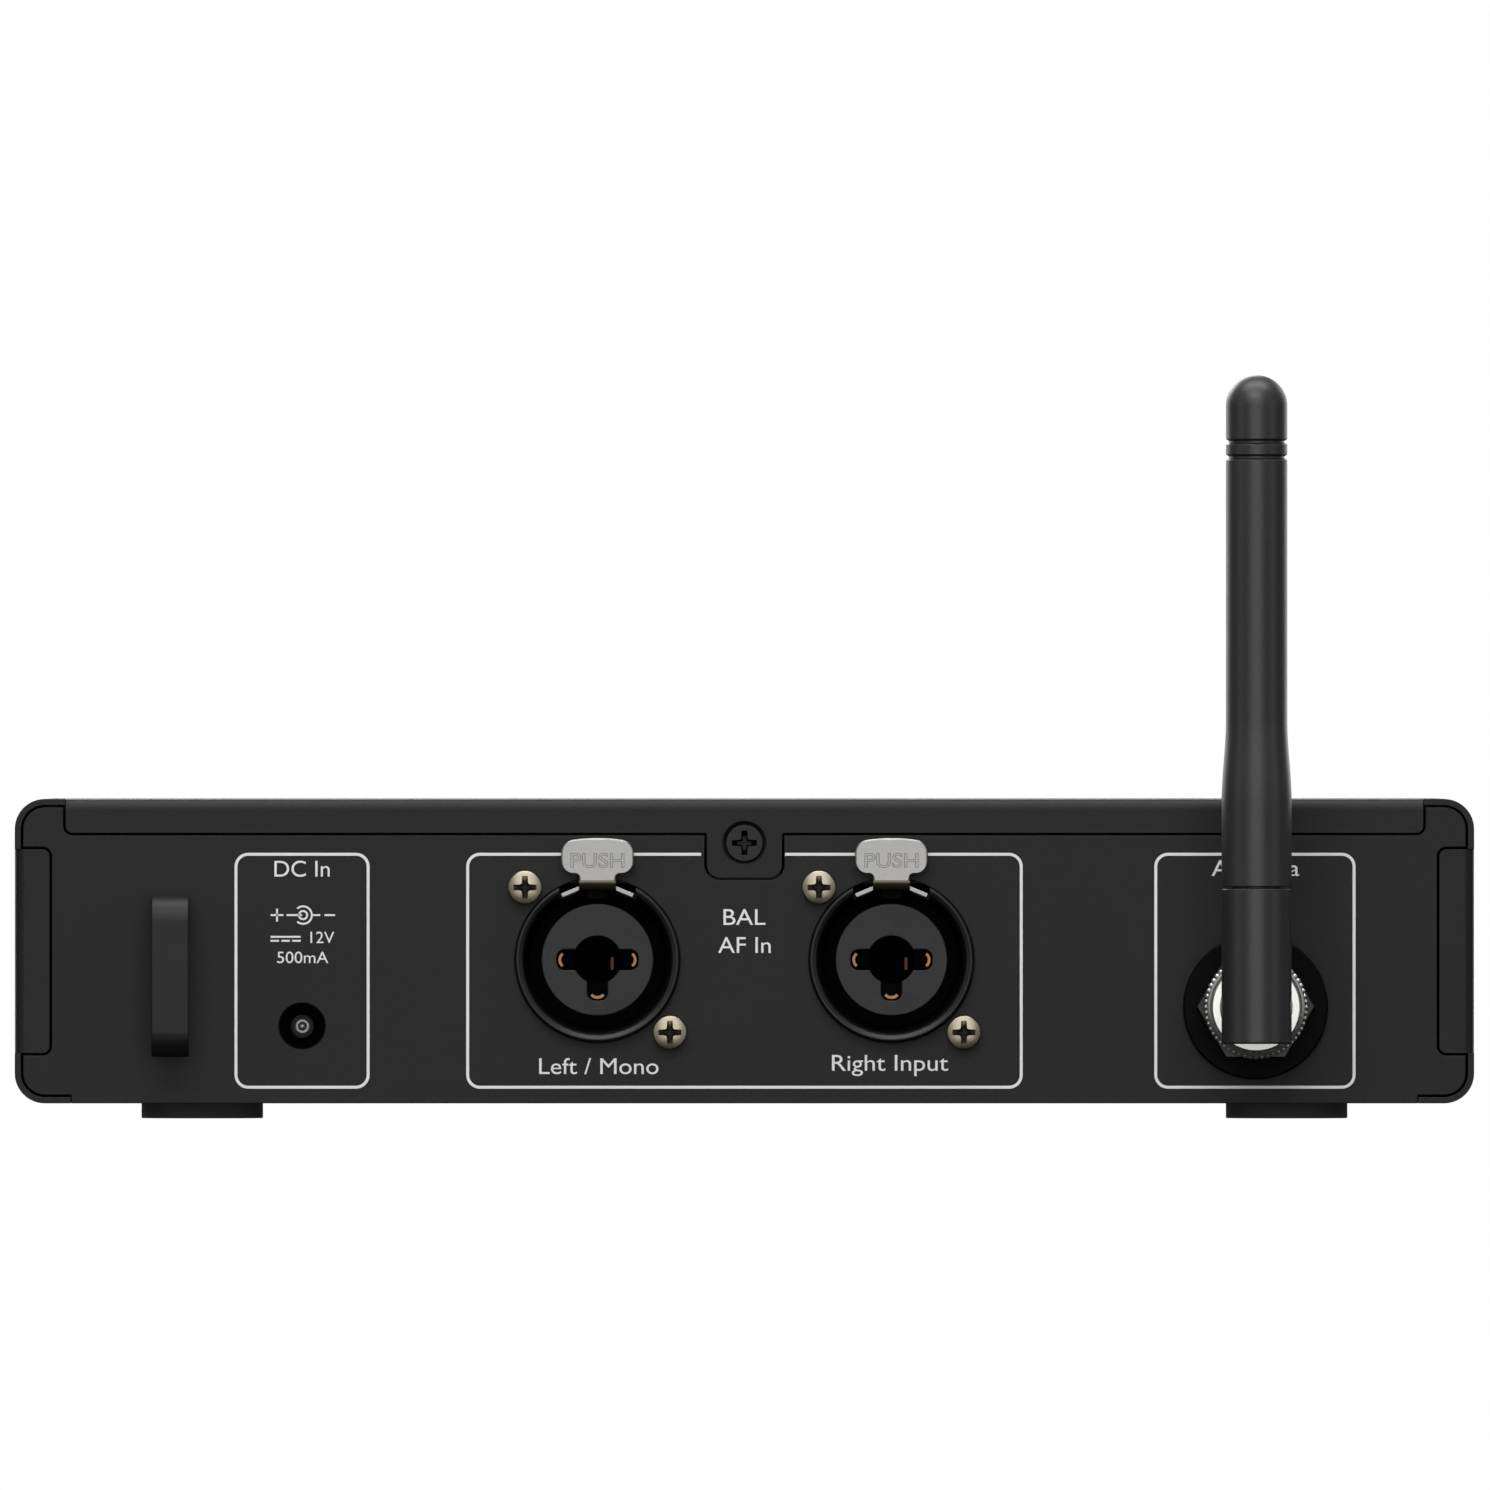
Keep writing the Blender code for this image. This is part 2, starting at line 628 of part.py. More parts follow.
def flange_corners():
    """Corners of the folded top flange with its screw tab, and of the flange on the +X side."""
    half = CASE_WIDTH / 2
    inside_sheet = SHEET / 2
    top_end, top_foot = half - TOP_FLANGE_END, Z_TOP - TOP_FLANGE_HEIGHT
    tab = TAB_WIDTH / 2
    top = mirrored(
        [
            (tab, Z_TOP - TAB_DROP, TAB_CORNER),
            (tab, top_foot, 0),
            (top_end, top_foot, FLANGE_CORNER),
            (top_end, Z_TOP - inside_sheet, 0),
        ]
    )
    side, low, high = half - SIDE_FLANGE_WIDTH, Z_BOTTOM + SIDE_FLANGE_FOOT, Z_TOP - SIDE_FLANGE_HEAD
    right = [
        (side, low, FLANGE_CORNER),
        (half - inside_sheet, low, 0),
        (half - inside_sheet, high, 0),
        (side, high, FLANGE_CORNER),
    ]
    return top, right


def build_cover():
    """The sleeve of the case and its folded rear flanges."""
    cover = piece("top_cover", prism(sleeve_outline(), Y_COVER_FRONT, Y_REAR, "Y"), "cover_paint")
    rear = Y_REAR - FLANGE_SET_BACK
    top, right = flange_corners()
    left = [(-u, v, radius) for u, v, radius in right[::-1]]
    for label, corners in (("top", top), ("right", right), ("left", left)):
        join(cover, prism(rounded(corners), rear - SHEET, rear, "Y"), f"{label}_flange")
    wide, narrow, floor = countersink(COVER_SCREW_HEAD_RADIUS, COVER_SCREW_SHANK_RADIUS, Y_REAR, GAP)
    profile = [
        (0, Y_REAR + CUT_MARGIN),
        (wide, Y_REAR + CUT_MARGIN),
        (wide, Y_REAR),
        (narrow, floor),
        (narrow, Y_REAR - SHEET - CUT_MARGIN),
        (0, Y_REAR - SHEET - CUT_MARGIN),
    ]
    cut(cover, turned(profile, "Y", (0, TAB_SCREW_Z), 24), "screw")


def foot_places():
    """Name and place of each foot."""
    rear, front = Y_REAR - FOOT_FROM_REAR, Y_FRONT + FOOT_FROM_FRONT
    wide = FOOT_X + FRONT_FEET_SPLAY
    return {
        "foot_front_left": (-wide, front),
        "foot_front_right": (wide, front),
        "foot_rear_left": (-FOOT_X, rear),
        "foot_rear_right": (FOOT_X, rear),
    }


def standoff_places():
    """Places of the tray's board standoffs: the front pair, which take screws, then the rear pair."""
    front = Y_FRONT + BOARD_FROM_FRONT + STANDOFF_FROM_EDGE
    rear = Y_REAR - BOARD_FROM_REAR - STANDOFF_FROM_EDGE
    return [(side * STANDOFF_X, y) for y in (front, rear) for side in (-1, 1)]


def tray_floor_outline():
    """Section of the folded floor: it steps up over the cover's lips and ends in two low walls."""
    lip = CASE_WIDTH / 2 - COVER_LIP - 2 * GAP
    wall = CASE_WIDTH / 2 - TRAY_WALL_INSET
    low, high = Z_BOTTOM, Z_BOTTOM + SHEET + 2 * GAP
    outside = [(-wall, high + TRAY_WALL_HEIGHT), (-wall, high), (-lip, high), (-lip, low)]
    outside += [(-u, v) for u, v in reversed(outside)]
    inside = [(lip - SHEET, low + SHEET), (lip - SHEET, high + SHEET), (wall - SHEET, high + SHEET)]
    inside += [(wall - SHEET, high + TRAY_WALL_HEIGHT)]
    inside = inside[::-1] + [(-u, v) for u, v in inside]
    return [Vector(point) for point in outside + inside]


def build_tray():
    """The chassis: floor, side walls and rear wall in one folded sheet, with bracket and standoffs."""
    floor = prism(tray_floor_outline(), Y_COVER_FRONT, Y_REAR - JOIN_OVERLAP, "Y")
    tray = piece("chassis_tray", floor, "panel_paint")
    wall_foot = Z_BOTTOM + JOIN_OVERLAP
    wall = prism(rounded(rear_opening(wall_foot - GAP), GAP), Y_PANEL_BACK, Y_REAR, "Y")
    join(tray, wall, "rear_wall")
    bracket = box(
        (-BRACKET_HALF, Y_REAR - SHEET - GAP - BRACKET_DEPTH, Z_TOP - BRACKET_FOOT),
        (BRACKET_HALF, Y_REAR - SHEET - GAP, Z_TOP - SHEET - 2 * GAP),
    )
    join(tray, bracket, "bracket")
    standoffs = bmesh.new()
    for place_x, place_y in standoff_places():
        low, high = Z_BOTTOM + SHEET - JOIN_OVERLAP, Z_BOARD - GAP
        cylinder(STANDOFF_RADIUS, low, high, "Z", (place_x, place_y), 16, standoffs)
    join(tray, standoffs, "standoffs")
    cut(tray, rear_wall_holes(), "rear_holes")
    cut(tray, standoff_holes(), "standoff_holes")


def rear_wall_holes():
    """Every hole through the rear wall and its bracket."""
    holes = bmesh.new()
    low, high = Y_PANEL_BACK - CUT_MARGIN, Y_REAR + CUT_MARGIN
    for side in (-1, 1):
        jack = (side * JACK_X, Z_JACK)
        cylinder(JACK_NOSE_RADIUS + GAP, low, high, "Y", jack, 48, holes)
        for screw in jack_screw_places(side):
            cylinder(JACK_SCREW["shank_radius"] + GAP, low, high, "Y", screw, 12, holes)
    cylinder(DC_HOLE_RADIUS, low, high, "Y", (DC_X, Z_DC), 24, holes)
    cylinder(SOCKET_RADIUS + GAP, low, high, "Y", (ANTENNA_X, Z_ANTENNA), 32, holes)
    shank = COVER_SCREW_SHANK_RADIUS + GAP
    cylinder(shank, Y_REAR - SHEET - 2 * CUT_MARGIN, high, "Y", (0, TAB_SCREW_Z), 16, holes)
    slot = rectangle(HOOK_WIDTH + 2 * GAP, HOOK_THICKNESS + 2 * GAP, centre=(HOOK_X, hook_root_height()))
    prism(rounded(slot), low, high, "Y", holes)
    return holes


def standoff_holes():
    """Pilot holes of the two front standoffs."""
    holes = bmesh.new()
    for place_xy in standoff_places()[:2]:
        pilot = BOARD_SCREW["shank_radius"] + GAP
        low = Z_BOARD_TOP - BOARD_SCREW["length"]
        cylinder(pilot, low, Z_BOARD + CUT_MARGIN, "Z", place_xy, 12, holes)
    return holes


def build_feet():
    """Four round rubber feet with a chamfered rim."""
    for name, place_xy in foot_places().items():
        top = FOOT_HEIGHT - GAP
        chamfer = 2 * GAP
        profile = [(0, 0), (FOOT_RADIUS - chamfer, 0), (FOOT_RADIUS, chamfer), (FOOT_RADIUS, top), (0, top)]
        piece(name, turned(profile, "Z", place_xy, 24), "rubber")


def pan_screw(name, size, axis, centre, seat, direction):
    """A pan-head cross screw whose head stands on seat and whose shank runs away from direction."""
    shank, head = size["shank_radius"], size["head_radius"]
    height, crown = size["head_height"], size["head_height"] / 3
    profile = [
        (0, seat - direction * size["length"]),
        (shank, seat - direction * size["length"]),
        (shank, seat),
        (head, seat),
        (head, seat + direction * (height - crown)),
        (head - crown, seat + direction * height),
        (0, seat + direction * height),
    ]
    screw = piece(name, turned(profile, axis, centre, 16), "screw_steel")
    top = seat + direction * (height + CUT_MARGIN)
    floor = seat + direction * (height - CROSS_DEPTH)
    cut(screw, prism(cross_outline(centre), min(top, floor), max(top, floor), axis), "cross")
    return screw


def build_cover_screw():
    """The black countersunk screw that holds the cover's tab to the tray's bracket."""
    head, shank, floor = countersink(COVER_SCREW_HEAD_RADIUS, COVER_SCREW_SHANK_RADIUS, Y_REAR, 0)
    end = Y_REAR - COVER_SCREW_LENGTH
    centre = (0, TAB_SCREW_Z)
    profile = [(0, end), (shank, end), (shank, floor), (head, Y_REAR), (0, Y_REAR)]
    screw = piece("cover_screw", turned(profile, "Y", centre, 24), "black_steel")
    cross = prism(cross_outline(centre), Y_REAR - CROSS_DEPTH, Y_REAR + CUT_MARGIN, "Y")
    cut(screw, cross, "cross")


# ---------------------------------------------------------------- combination jacks
def jack_screw_places(side):
    """The two screws of one jack, at opposite corners of its body."""
    x, offset = side * JACK_X, JACK_SCREW_OFFSET
    return [(x + offset, Z_JACK + offset), (x - offset, Z_JACK - offset)]


def build_jack_housing(name, side):
    """Moulded housing: a block behind the panel with a round nose through it."""
    centre = (side * JACK_X, Z_JACK)
    front = Y_REAR + JACK_NOSE_PROUD
    top = Z_JACK + JACK_SCREW_OFFSET + JACK_BODY_RISE
    low = (centre[0] - JACK_BODY_HALF, JACK_BACK, Z_JACK - JACK_SCREW_OFFSET - JACK_BODY_DROP)
    high = (centre[0] + JACK_BODY_HALF, Y_BEHIND_PANEL, top)
    housing = piece(f"{name}_housing", box(low, high), "connector_black")
    rim = 2 * GAP
    nose = [
        (0, Y_BEHIND_PANEL - CUT_MARGIN),
        (JACK_NOSE_RADIUS, Y_BEHIND_PANEL - CUT_MARGIN),
        (JACK_NOSE_RADIUS, front - rim),
        (JACK_NOSE_RADIUS - rim, front),
        (0, front),
    ]
    join(housing, turned(nose, "Y", centre, 48), "nose")
    bore = [
        (0, front + CUT_MARGIN),
        (JACK_BORE_RADIUS, front + CUT_MARGIN),
        (JACK_BORE_RADIUS, front - JACK_BORE_DEPTH),
        (PHONE_BORE_RADIUS, front - JACK_BORE_DEPTH),
        (PHONE_BORE_RADIUS, front - PHONE_BORE_DEPTH),
        (0, front - PHONE_BORE_DEPTH),
    ]
    cut(housing, turned(bore, "Y", centre, 48), "bore")
    half_pocket = LATCH_PIN_LENGTH / 2 + LATCH_POCKET_SIDE
    pocket_back = Y_REAR - LATCH_PIVOT_BACK - LATCH_POCKET_BEHIND
    pocket = box(
        (centre[0] - half_pocket, pocket_back, Z_JACK + LATCH_HEIGHT - LATCH_POCKET_BELOW),
        (centre[0] + half_pocket, front + CUT_MARGIN, top + CUT_MARGIN),
    )
    cut(housing, pocket, "latch_pocket")
    holes = bmesh.new()
    for screw in jack_screw_places(side):
        end = Y_REAR + GAP - JACK_SCREW["length"] - GAP
        cylinder(JACK_SCREW["shank_radius"] + GAP, end, Y_REAR, "Y", screw, 12, holes)
    cut(housing, holes, "screws")


def lobe_directions():
    """Directions of the three pin lobes of a jack insert: contacts 1, 2 and 3."""
    return {1: (-1, 0), 2: (1, 0), 3: (0, -1)}


def build_jack_insert(name, side):
    """The insert that carries the contacts, with a phone-plug bore and three pin lobes."""
    centre = (side * JACK_X, Z_JACK)
    front = Y_REAR + JACK_NOSE_PROUD - INSERT_RECESS
    back = Y_REAR + JACK_NOSE_PROUD - JACK_BORE_DEPTH + GAP
    insert = piece(f"{name}_insert", cylinder(INSERT_RADIUS, back, front, "Y", centre, 40), "connector_black")
    low, high = back - CUT_MARGIN, front + CUT_MARGIN
    cut(insert, cylinder(PHONE_BORE_RADIUS, low, high, "Y", centre, 32), "bore")
    lobes = bmesh.new()
    for u, v in lobe_directions().values():
        place_uv = (centre[0] + u * LOBE_OFFSET, centre[1] + v * LOBE_OFFSET)
        cylinder(LOBE_RADIUS, low, high, "Y", place_uv, 16, lobes)
    cut(insert, lobes, "lobes")


def build_jack_contacts(name, side):
    """One flat spring contact in the outer end of each lobe."""
    high = Y_REAR + JACK_NOSE_PROUD - INSERT_RECESS - CONTACT_RECESS
    for number, (u, v) in lobe_directions().items():
        x = side * JACK_X + u * CONTACT_OFFSET
        z = Z_JACK + v * CONTACT_OFFSET
        half_x = (CONTACT_THICKNESS if u else CONTACT_WIDTH) / 2
        half_z = (CONTACT_THICKNESS if v else CONTACT_WIDTH) / 2
        low_corner = (x - half_x, high - CONTACT_LENGTH, z - half_z)
        piece(f"{name}_contact_{number}", box(low_corner, (x + half_x, high, z + half_z)), "gold")


def build_jack_latch(name, side):
    """The sheet-metal release lever: saddle, hook and hinge pin inside, thumb tab outside."""
    x = side * JACK_X
    axis_y = Y_REAR - LATCH_PIVOT_BACK
    axis_z = Z_JACK + LATCH_HEIGHT
    hinge = pivot(f"{name}_latch_pivot", (x, axis_y, axis_z))
    saddle_path = [
        Vector((x - LATCH_WING_HALF, axis_z - LATCH_WING_DROP)),
        Vector((x - LATCH_SADDLE_HALF, axis_z)),
        Vector((x + LATCH_SADDLE_HALF, axis_z)),
        Vector((x + LATCH_WING_HALF, axis_z - LATCH_WING_DROP)),
    ]
    wing_front = Y_REAR + LATCH_TAB_STANDOFF - 2 * GAP
    saddle = prism(strip(saddle_path, LATCH_SHEET), axis_y - LATCH_PIN_RADIUS, wing_front, "Y")
    latch = piece(f"{name}_latch", saddle, "nickel", hinge, (x, axis_y, axis_z))
    tab_back = Y_REAR + LATCH_TAB_STANDOFF
    tab_front = tab_back + LATCH_SHEET
    neck = box(
        (x - LATCH_NECK_WIDTH / 2, wing_front - CUT_MARGIN, axis_z - LATCH_SHEET / 2),
        (x + LATCH_NECK_WIDTH / 2, tab_front - JOIN_OVERLAP, axis_z + LATCH_SHEET / 2),
    )
    join(latch, neck, "neck")
    tab_foot = axis_z + LATCH_NECK_HEIGHT
    tab_corners = [
        (LATCH_NECK_WIDTH / 2, axis_z - LATCH_SHEET / 2, 0),
        (LATCH_NECK_WIDTH / 2, tab_foot, LATCH_NECK_FILLET),
        (LATCH_TAB_WIDTH / 2, tab_foot, LATCH_TAB_CORNER),
        (LATCH_TAB_WIDTH / 2, tab_foot + LATCH_TAB_HEIGHT, LATCH_TAB_ROUND),
    ]
    tab = [(x + u, v) for u, v in rounded(mirrored(tab_corners), steps=4)]
    join(latch, prism(tab, tab_back, tab_front, "Y"), "tab")
    pin_ends = (x - LATCH_PIN_LENGTH / 2, x + LATCH_PIN_LENGTH / 2)
    join(latch, cylinder(LATCH_PIN_RADIUS, *pin_ends, "X", (axis_y, axis_z), 12), "pin")
    hook_y = Y_REAR - LATCH_HOOK_BACK
    hook = box(
        (x - LATCH_HOOK_WIDTH / 2, hook_y - LATCH_HOOK_THICKNESS, Z_JACK + INSERT_RADIUS + 2 * GAP),
        (x + LATCH_HOOK_WIDTH / 2, hook_y, axis_z),
    )
    join(latch, hook, "hook")


def build_jacks():
    """Both combination jacks, each with its screws. The left channel is at +X."""
    for name, side in (("jack_left", 1), ("jack_right", -1)):
        build_jack_housing(name, side)
        build_jack_insert(name, side)
        build_jack_contacts(name, side)
        build_jack_latch(name, side)
        upper, lower = jack_screw_places(side)
        pan_screw(f"{name}_screw_upper", JACK_SCREW, "Y", upper, Y_REAR + GAP, 1)
        pan_screw(f"{name}_screw_lower", JACK_SCREW, "Y", lower, Y_REAR + GAP, 1)


# ---------------------------------------------------------------- power inlet and cable hook
def build_dc_inlet():
    """The power socket behind its panel hole, with a sleeve and a centre pin."""
    low = (DC_X - DC_BODY_WIDTH / 2, Y_BEHIND_PANEL - DC_BODY_DEPTH, Z_BOARD_TOP + GAP)
    high = (DC_X + DC_BODY_WIDTH / 2, Y_BEHIND_PANEL, Z_DC + DC_BODY_TOP)
    body = piece("dc_jack", box(low, high), "connector_black")
    floor = Y_BEHIND_PANEL - DC_BORE_DEPTH
    bore = cylinder(DC_BORE_RADIUS, floor, Y_REAR, "Y", (DC_X, Z_DC), 24)
    cut(body, bore, "bore")
    base, tip = floor + GAP, floor + GAP + DC_SLEEVE_LENGTH
    profile = [
        (0, base),
        (DC_SLEEVE_RADIUS, base),
        (DC_SLEEVE_RADIUS, tip),
        (DC_SLEEVE_BORE, tip),
        (DC_SLEEVE_BORE, base + DC_SLEEVE_BASE),
        (DC_PIN_RADIUS, base + DC_SLEEVE_BASE),
        (DC_PIN_RADIUS, tip - GAP),
        (0, tip - GAP),
    ]
    piece("dc_pin", turned(profile, "Y", (DC_X, Z_DC), 20), "nickel")


def hook_root_height():
    """Height of the middle of the hook's root."""
    return Z_BOTTOM + HOOK_TOP - HOOK_THICKNESS / 2


def build_cable_hook():
    """The strain-relief hook: a bent strip rooted above, open towards the panel below."""
    bar = Y_REAR + HOOK_REACH - HOOK_THICKNESS / 2
    root, foot = hook_root_height(), Z_BOTTOM + HOOK_BOTTOM + HOOK_THICKNESS / 2
    corners = [
        (Y_REAR - HOOK_ROOT, root, 0),
        (bar, root, HOOK_BEND),
        (bar, foot, HOOK_BEND),
        (Y_REAR + HOOK_TIP_GAP, foot, 0),
    ]
    outline = strip(rounded(corners, steps=4, closed=False), HOOK_THICKNESS)
    half = HOOK_WIDTH / 2
    piece("cable_hook", prism(outline, HOOK_X - half, HOOK_X + half, "X"), "moulding")


# ---------------------------------------------------------------- antenna
def build_antenna_socket():
    """The panel socket with its bayonet studs, insulating washer and hexagon nut."""
    centre = (ANTENNA_X, Z_ANTENNA)
    front = Y_REAR + SOCKET_PROUD
    collar, collar_back = SOCKET_RADIUS + SOCKET_COLLAR_WIDTH, Y_BEHIND_PANEL - SOCKET_COLLAR_DEPTH
    profile = [
        (0, Y_REAR - SOCKET_BACK),
        (SOCKET_RADIUS, Y_REAR - SOCKET_BACK),
        (SOCKET_RADIUS, collar_back),
        (collar, collar_back),
        (collar, Y_BEHIND_PANEL),
        (SOCKET_RADIUS, Y_BEHIND_PANEL),
        (SOCKET_RADIUS, front),
        (SOCKET_BORE_RADIUS, front),
        (SOCKET_BORE_RADIUS, front - SOCKET_BORE_DEPTH),
        (0, front - SOCKET_BORE_DEPTH),
    ]
    socket = piece("bnc_socket", turned(profile, "Y", centre, 32), "nickel")
    studs = bmesh.new()
    for side in (-1, 1):
        ends = sorted((ANTENNA_X + side * STUD_REACH, ANTENNA_X + side * (SOCKET_BORE_RADIUS + 2 * GAP)))
        cylinder(STUD_RADIUS, *ends, "X", (Y_REAR + STUD_PROUD, Z_ANTENNA), 12, studs)
    join(socket, studs, "studs")
    washer_back = Y_REAR + GAP
    inner = SOCKET_RADIUS + GAP
    washer = [
        (inner, washer_back),
        (WASHER_RADIUS, washer_back),
        (WASHER_RADIUS, washer_back + WASHER_THICKNESS),
        (inner, washer_back + WASHER_THICKNESS),
    ]
    piece("bnc_washer", turned(washer, "Y", centre, 40), "connector_black")
    nut_back = washer_back + WASHER_THICKNESS + GAP
    hexagon = circle((SOCKET_RADIUS + NUT_WALL) * 2 / math.sqrt(3), 6, centre)
    nut = piece("bnc_nut", prism(hexagon, nut_back, nut_back + NUT_THICKNESS, "Y"), "nickel")
    cut(nut, cylinder(inner, nut_back - CUT_MARGIN, nut_back + 2 * CUT_MARGIN, "Y", centre, 24), "bore")


def build_coupling(turntable):
    """The bayonet coupling sleeve, which turns about the socket's axis."""
    front, rear = Y_COUPLING_FRONT, Y_COUPLING_REAR
    neck = PLUG_NECK_RADIUS + GAP
    wall = rear - COUPLING_END_WALL
    profile = [
        (COUPLING_BORE, front),
        (COUPLING_RADIUS, front),
        (COUPLING_RADIUS, wall - COUPLING_END_WALL),
        (COUPLING_RADIUS - COUPLING_CHAMFER, wall),
        (COUPLING_RADIUS - 2.5 * COUPLING_CHAMFER, rear),
        (neck, rear),
        (neck, wall),
        (COUPLING_BORE, wall),
    ]
    origin = (ANTENNA_X, Y_REAR, Z_ANTENNA)
    piece("bnc_coupling", turned(profile, "Y", (ANTENNA_X, Z_ANTENNA), 40), "nickel", turntable, origin)


def build_antenna_base(turntable):
    """The plug body inside the coupling, its barrel, and the tongue of the tilt hinge."""
    tip_end = Y_REAR + SOCKET_PROUD + GAP
    collar_end = Y_COUPLING_REAR - COUPLING_END_WALL - GAP
    neck_end = Y_BARREL_END - BARREL_LENGTH
    tip, collar = SOCKET_BORE_RADIUS - GAP, COUPLING_BORE - PLUG_COLLAR_CLEARANCE
    profile = [
        (0, tip_end - PLUG_TIP_LENGTH),
        (tip, tip_end - PLUG_TIP_LENGTH),
        (tip, tip_end),
        (collar, tip_end),
        (collar, collar_end),
        (PLUG_NECK_RADIUS, collar_end),
        (PLUG_NECK_RADIUS, neck_end),
        (BARREL_RADIUS, neck_end),
        (BARREL_RADIUS, Y_BARREL_END),
        (0, Y_BARREL_END),
    ]
    centre = (ANTENNA_X, Z_ANTENNA)
    origin = (ANTENNA_X, Y_REAR, Z_ANTENNA)
    base = piece("antenna_base", turned(profile, "Y", centre, 32), "antenna_rubber", turntable, origin)
    tongue_corners = [
        (Y_BARREL_END - BARREL_LENGTH / 2, Z_ANTENNA - TONGUE_RADIUS, 0),
        (Y_ROD + TONGUE_RADIUS, Z_ANTENNA - TONGUE_RADIUS, TONGUE_RADIUS - GAP / 10),
        (Y_ROD + TONGUE_RADIUS, Z_ANTENNA + TONGUE_RADIUS, TONGUE_RADIUS - GAP / 10),
        (Y_BARREL_END - BARREL_LENGTH / 2, Z_ANTENNA + TONGUE_RADIUS, 0),
    ]
    half = TONGUE_THICKNESS / 2
    tongue = prism(rounded(tongue_corners, steps=6), ANTENNA_X - half, ANTENNA_X + half, "X")
    join(base, tongue, "tongue")
    ends = (ANTENNA_X - 2 * half, ANTENNA_X + 2 * half)
    cut(base, cylinder(PIVOT_RADIUS + GAP, *ends, "X", (Y_ROD, Z_ANTENNA), 16), "pivot_hole")


def build_knuckle(hinge):
    """The forked foot of the rod, round at the front below so that it clears the barrel."""
    centre = (ANTENNA_X, Y_ROD)
    bottom, top = Z_ANTENNA - KNUCKLE_BELOW, Z_ANTENNA + KNUCKLE_ABOVE
    profile = [
        (0, bottom),
        (ROD_FOOT_RADIUS, bottom),
        (ROD_FOOT_RADIUS, top),
        (SPIGOT_RADIUS, top),
        (SPIGOT_RADIUS, top + SPIGOT_LENGTH),
        (0, top + SPIGOT_LENGTH),
    ]
    origin = (ANTENNA_X, Y_ROD, Z_ANTENNA)
    knuckle = piece("antenna_knuckle", turned(profile, "Z", centre, 32), "antenna_rubber", hinge, origin)
    margin = 2 * CUT_MARGIN
    side_view = [
        (Y_ROD - ROD_FOOT_RADIUS, bottom, KNUCKLE_ROUND),
        (Y_ROD + ROD_FOOT_RADIUS + margin, bottom, 0),
        (Y_ROD + ROD_FOOT_RADIUS + margin, bottom - margin, 0),
        (Y_ROD - ROD_FOOT_RADIUS - margin, bottom - margin, 0),
        (Y_ROD - ROD_FOOT_RADIUS - margin, Z_ANTENNA + margin, 0),
        (Y_ROD - ROD_FOOT_RADIUS, Z_ANTENNA + margin, 0),
    ]
    reach = ROD_FOOT_RADIUS + margin
    rounding = prism(rounded(side_view[::-1], steps=8), ANTENNA_X - reach, ANTENNA_X + reach, "X")
    cut(knuckle, rounding, "rounding")
    half = TONGUE_THICKNESS / 2 + GAP
    wall = TONGUE_RADIUS + SLOT_CLEARANCE
    slot = box(
        (ANTENNA_X - half, Y_ROD - ROD_FOOT_RADIUS - margin, bottom - margin),
        (ANTENNA_X + half, Y_ROD + wall, Z_ANTENNA + wall),
    )
    cut(knuckle, slot, "slot")
    hole = cylinder(PIVOT_RADIUS + GAP, ANTENNA_X - reach, ANTENNA_X + reach, "X", (Y_ROD, Z_ANTENNA), 16)
    cut(knuckle, hole, "pivot_hole")


def build_whip(hinge):
    """The rod: a sleeve that tapers above the knuckle, with two grooves under a domed tip."""
    low = Z_ANTENNA + KNUCKLE_ABOVE + GAP
    top = Z_ANTENNA + WHIP_TOP
    bore = SPIGOT_RADIUS + GAP
    profile = [(0, low + SPIGOT_LENGTH), (bore, low + SPIGOT_LENGTH), (bore, low), (ROD_FOOT_RADIUS, low)]
    start, end = Z_ANTENNA + WHIP_TAPER_START, Z_ANTENNA + WHIP_TAPER_END
    taper_steps = 5
    for step in range(taper_steps + 1):
        share = step / taper_steps
        eased = share * share * (3 - 2 * share)
        radius = ROD_FOOT_RADIUS + (ROD_RADIUS - ROD_FOOT_RADIUS) * eased
        profile.append((radius, start + (end - start) * share))
    for height in WHIP_GROOVES:
        low_edge = Z_ANTENNA + height - WHIP_GROOVE_WIDTH / 2
        high_edge = low_edge + WHIP_GROOVE_WIDTH
        floor = ROD_RADIUS - WHIP_GROOVE_DEPTH
        profile += [(ROD_RADIUS, low_edge), (floor, low_edge), (floor, high_edge), (ROD_RADIUS, high_edge)]
    dome_steps = 6
    for step in range(dome_steps):
        angle = math.pi / 2 * step / dome_steps
        profile.append((ROD_RADIUS * math.cos(angle), top - ROD_RADIUS + ROD_RADIUS * math.sin(angle)))
    profile.append((0, top))
    origin = (ANTENNA_X, Y_ROD, Z_ANTENNA)
    piece("antenna_whip", turned(profile, "Z", (ANTENNA_X, Y_ROD), 28), "antenna_rubber", hinge, origin)


def build_antenna():
    """Socket, coupling, hinged base and rod."""
    build_antenna_socket()
    axis = (ANTENNA_X, Y_REAR, Z_ANTENNA)
    build_coupling(pivot("coupling_turntable", axis))
    turntable = pivot("antenna_turntable", axis)
    build_antenna_base(turntable)
    hinge = pivot("antenna_tilt_hinge", (ANTENNA_X, Y_ROD, Z_ANTENNA), turntable)
    ends = (ANTENNA_X - PIVOT_LENGTH / 2, ANTENNA_X + PIVOT_LENGTH / 2)
    pin = cylinder(PIVOT_RADIUS, *ends, "X", (Y_ROD, Z_ANTENNA), 16)
    piece("antenna_pivot", pin, "nickel", turntable, (ANTENNA_X, Y_ROD, Z_ANTENNA))
    build_knuckle(hinge)
    build_whip(hinge)


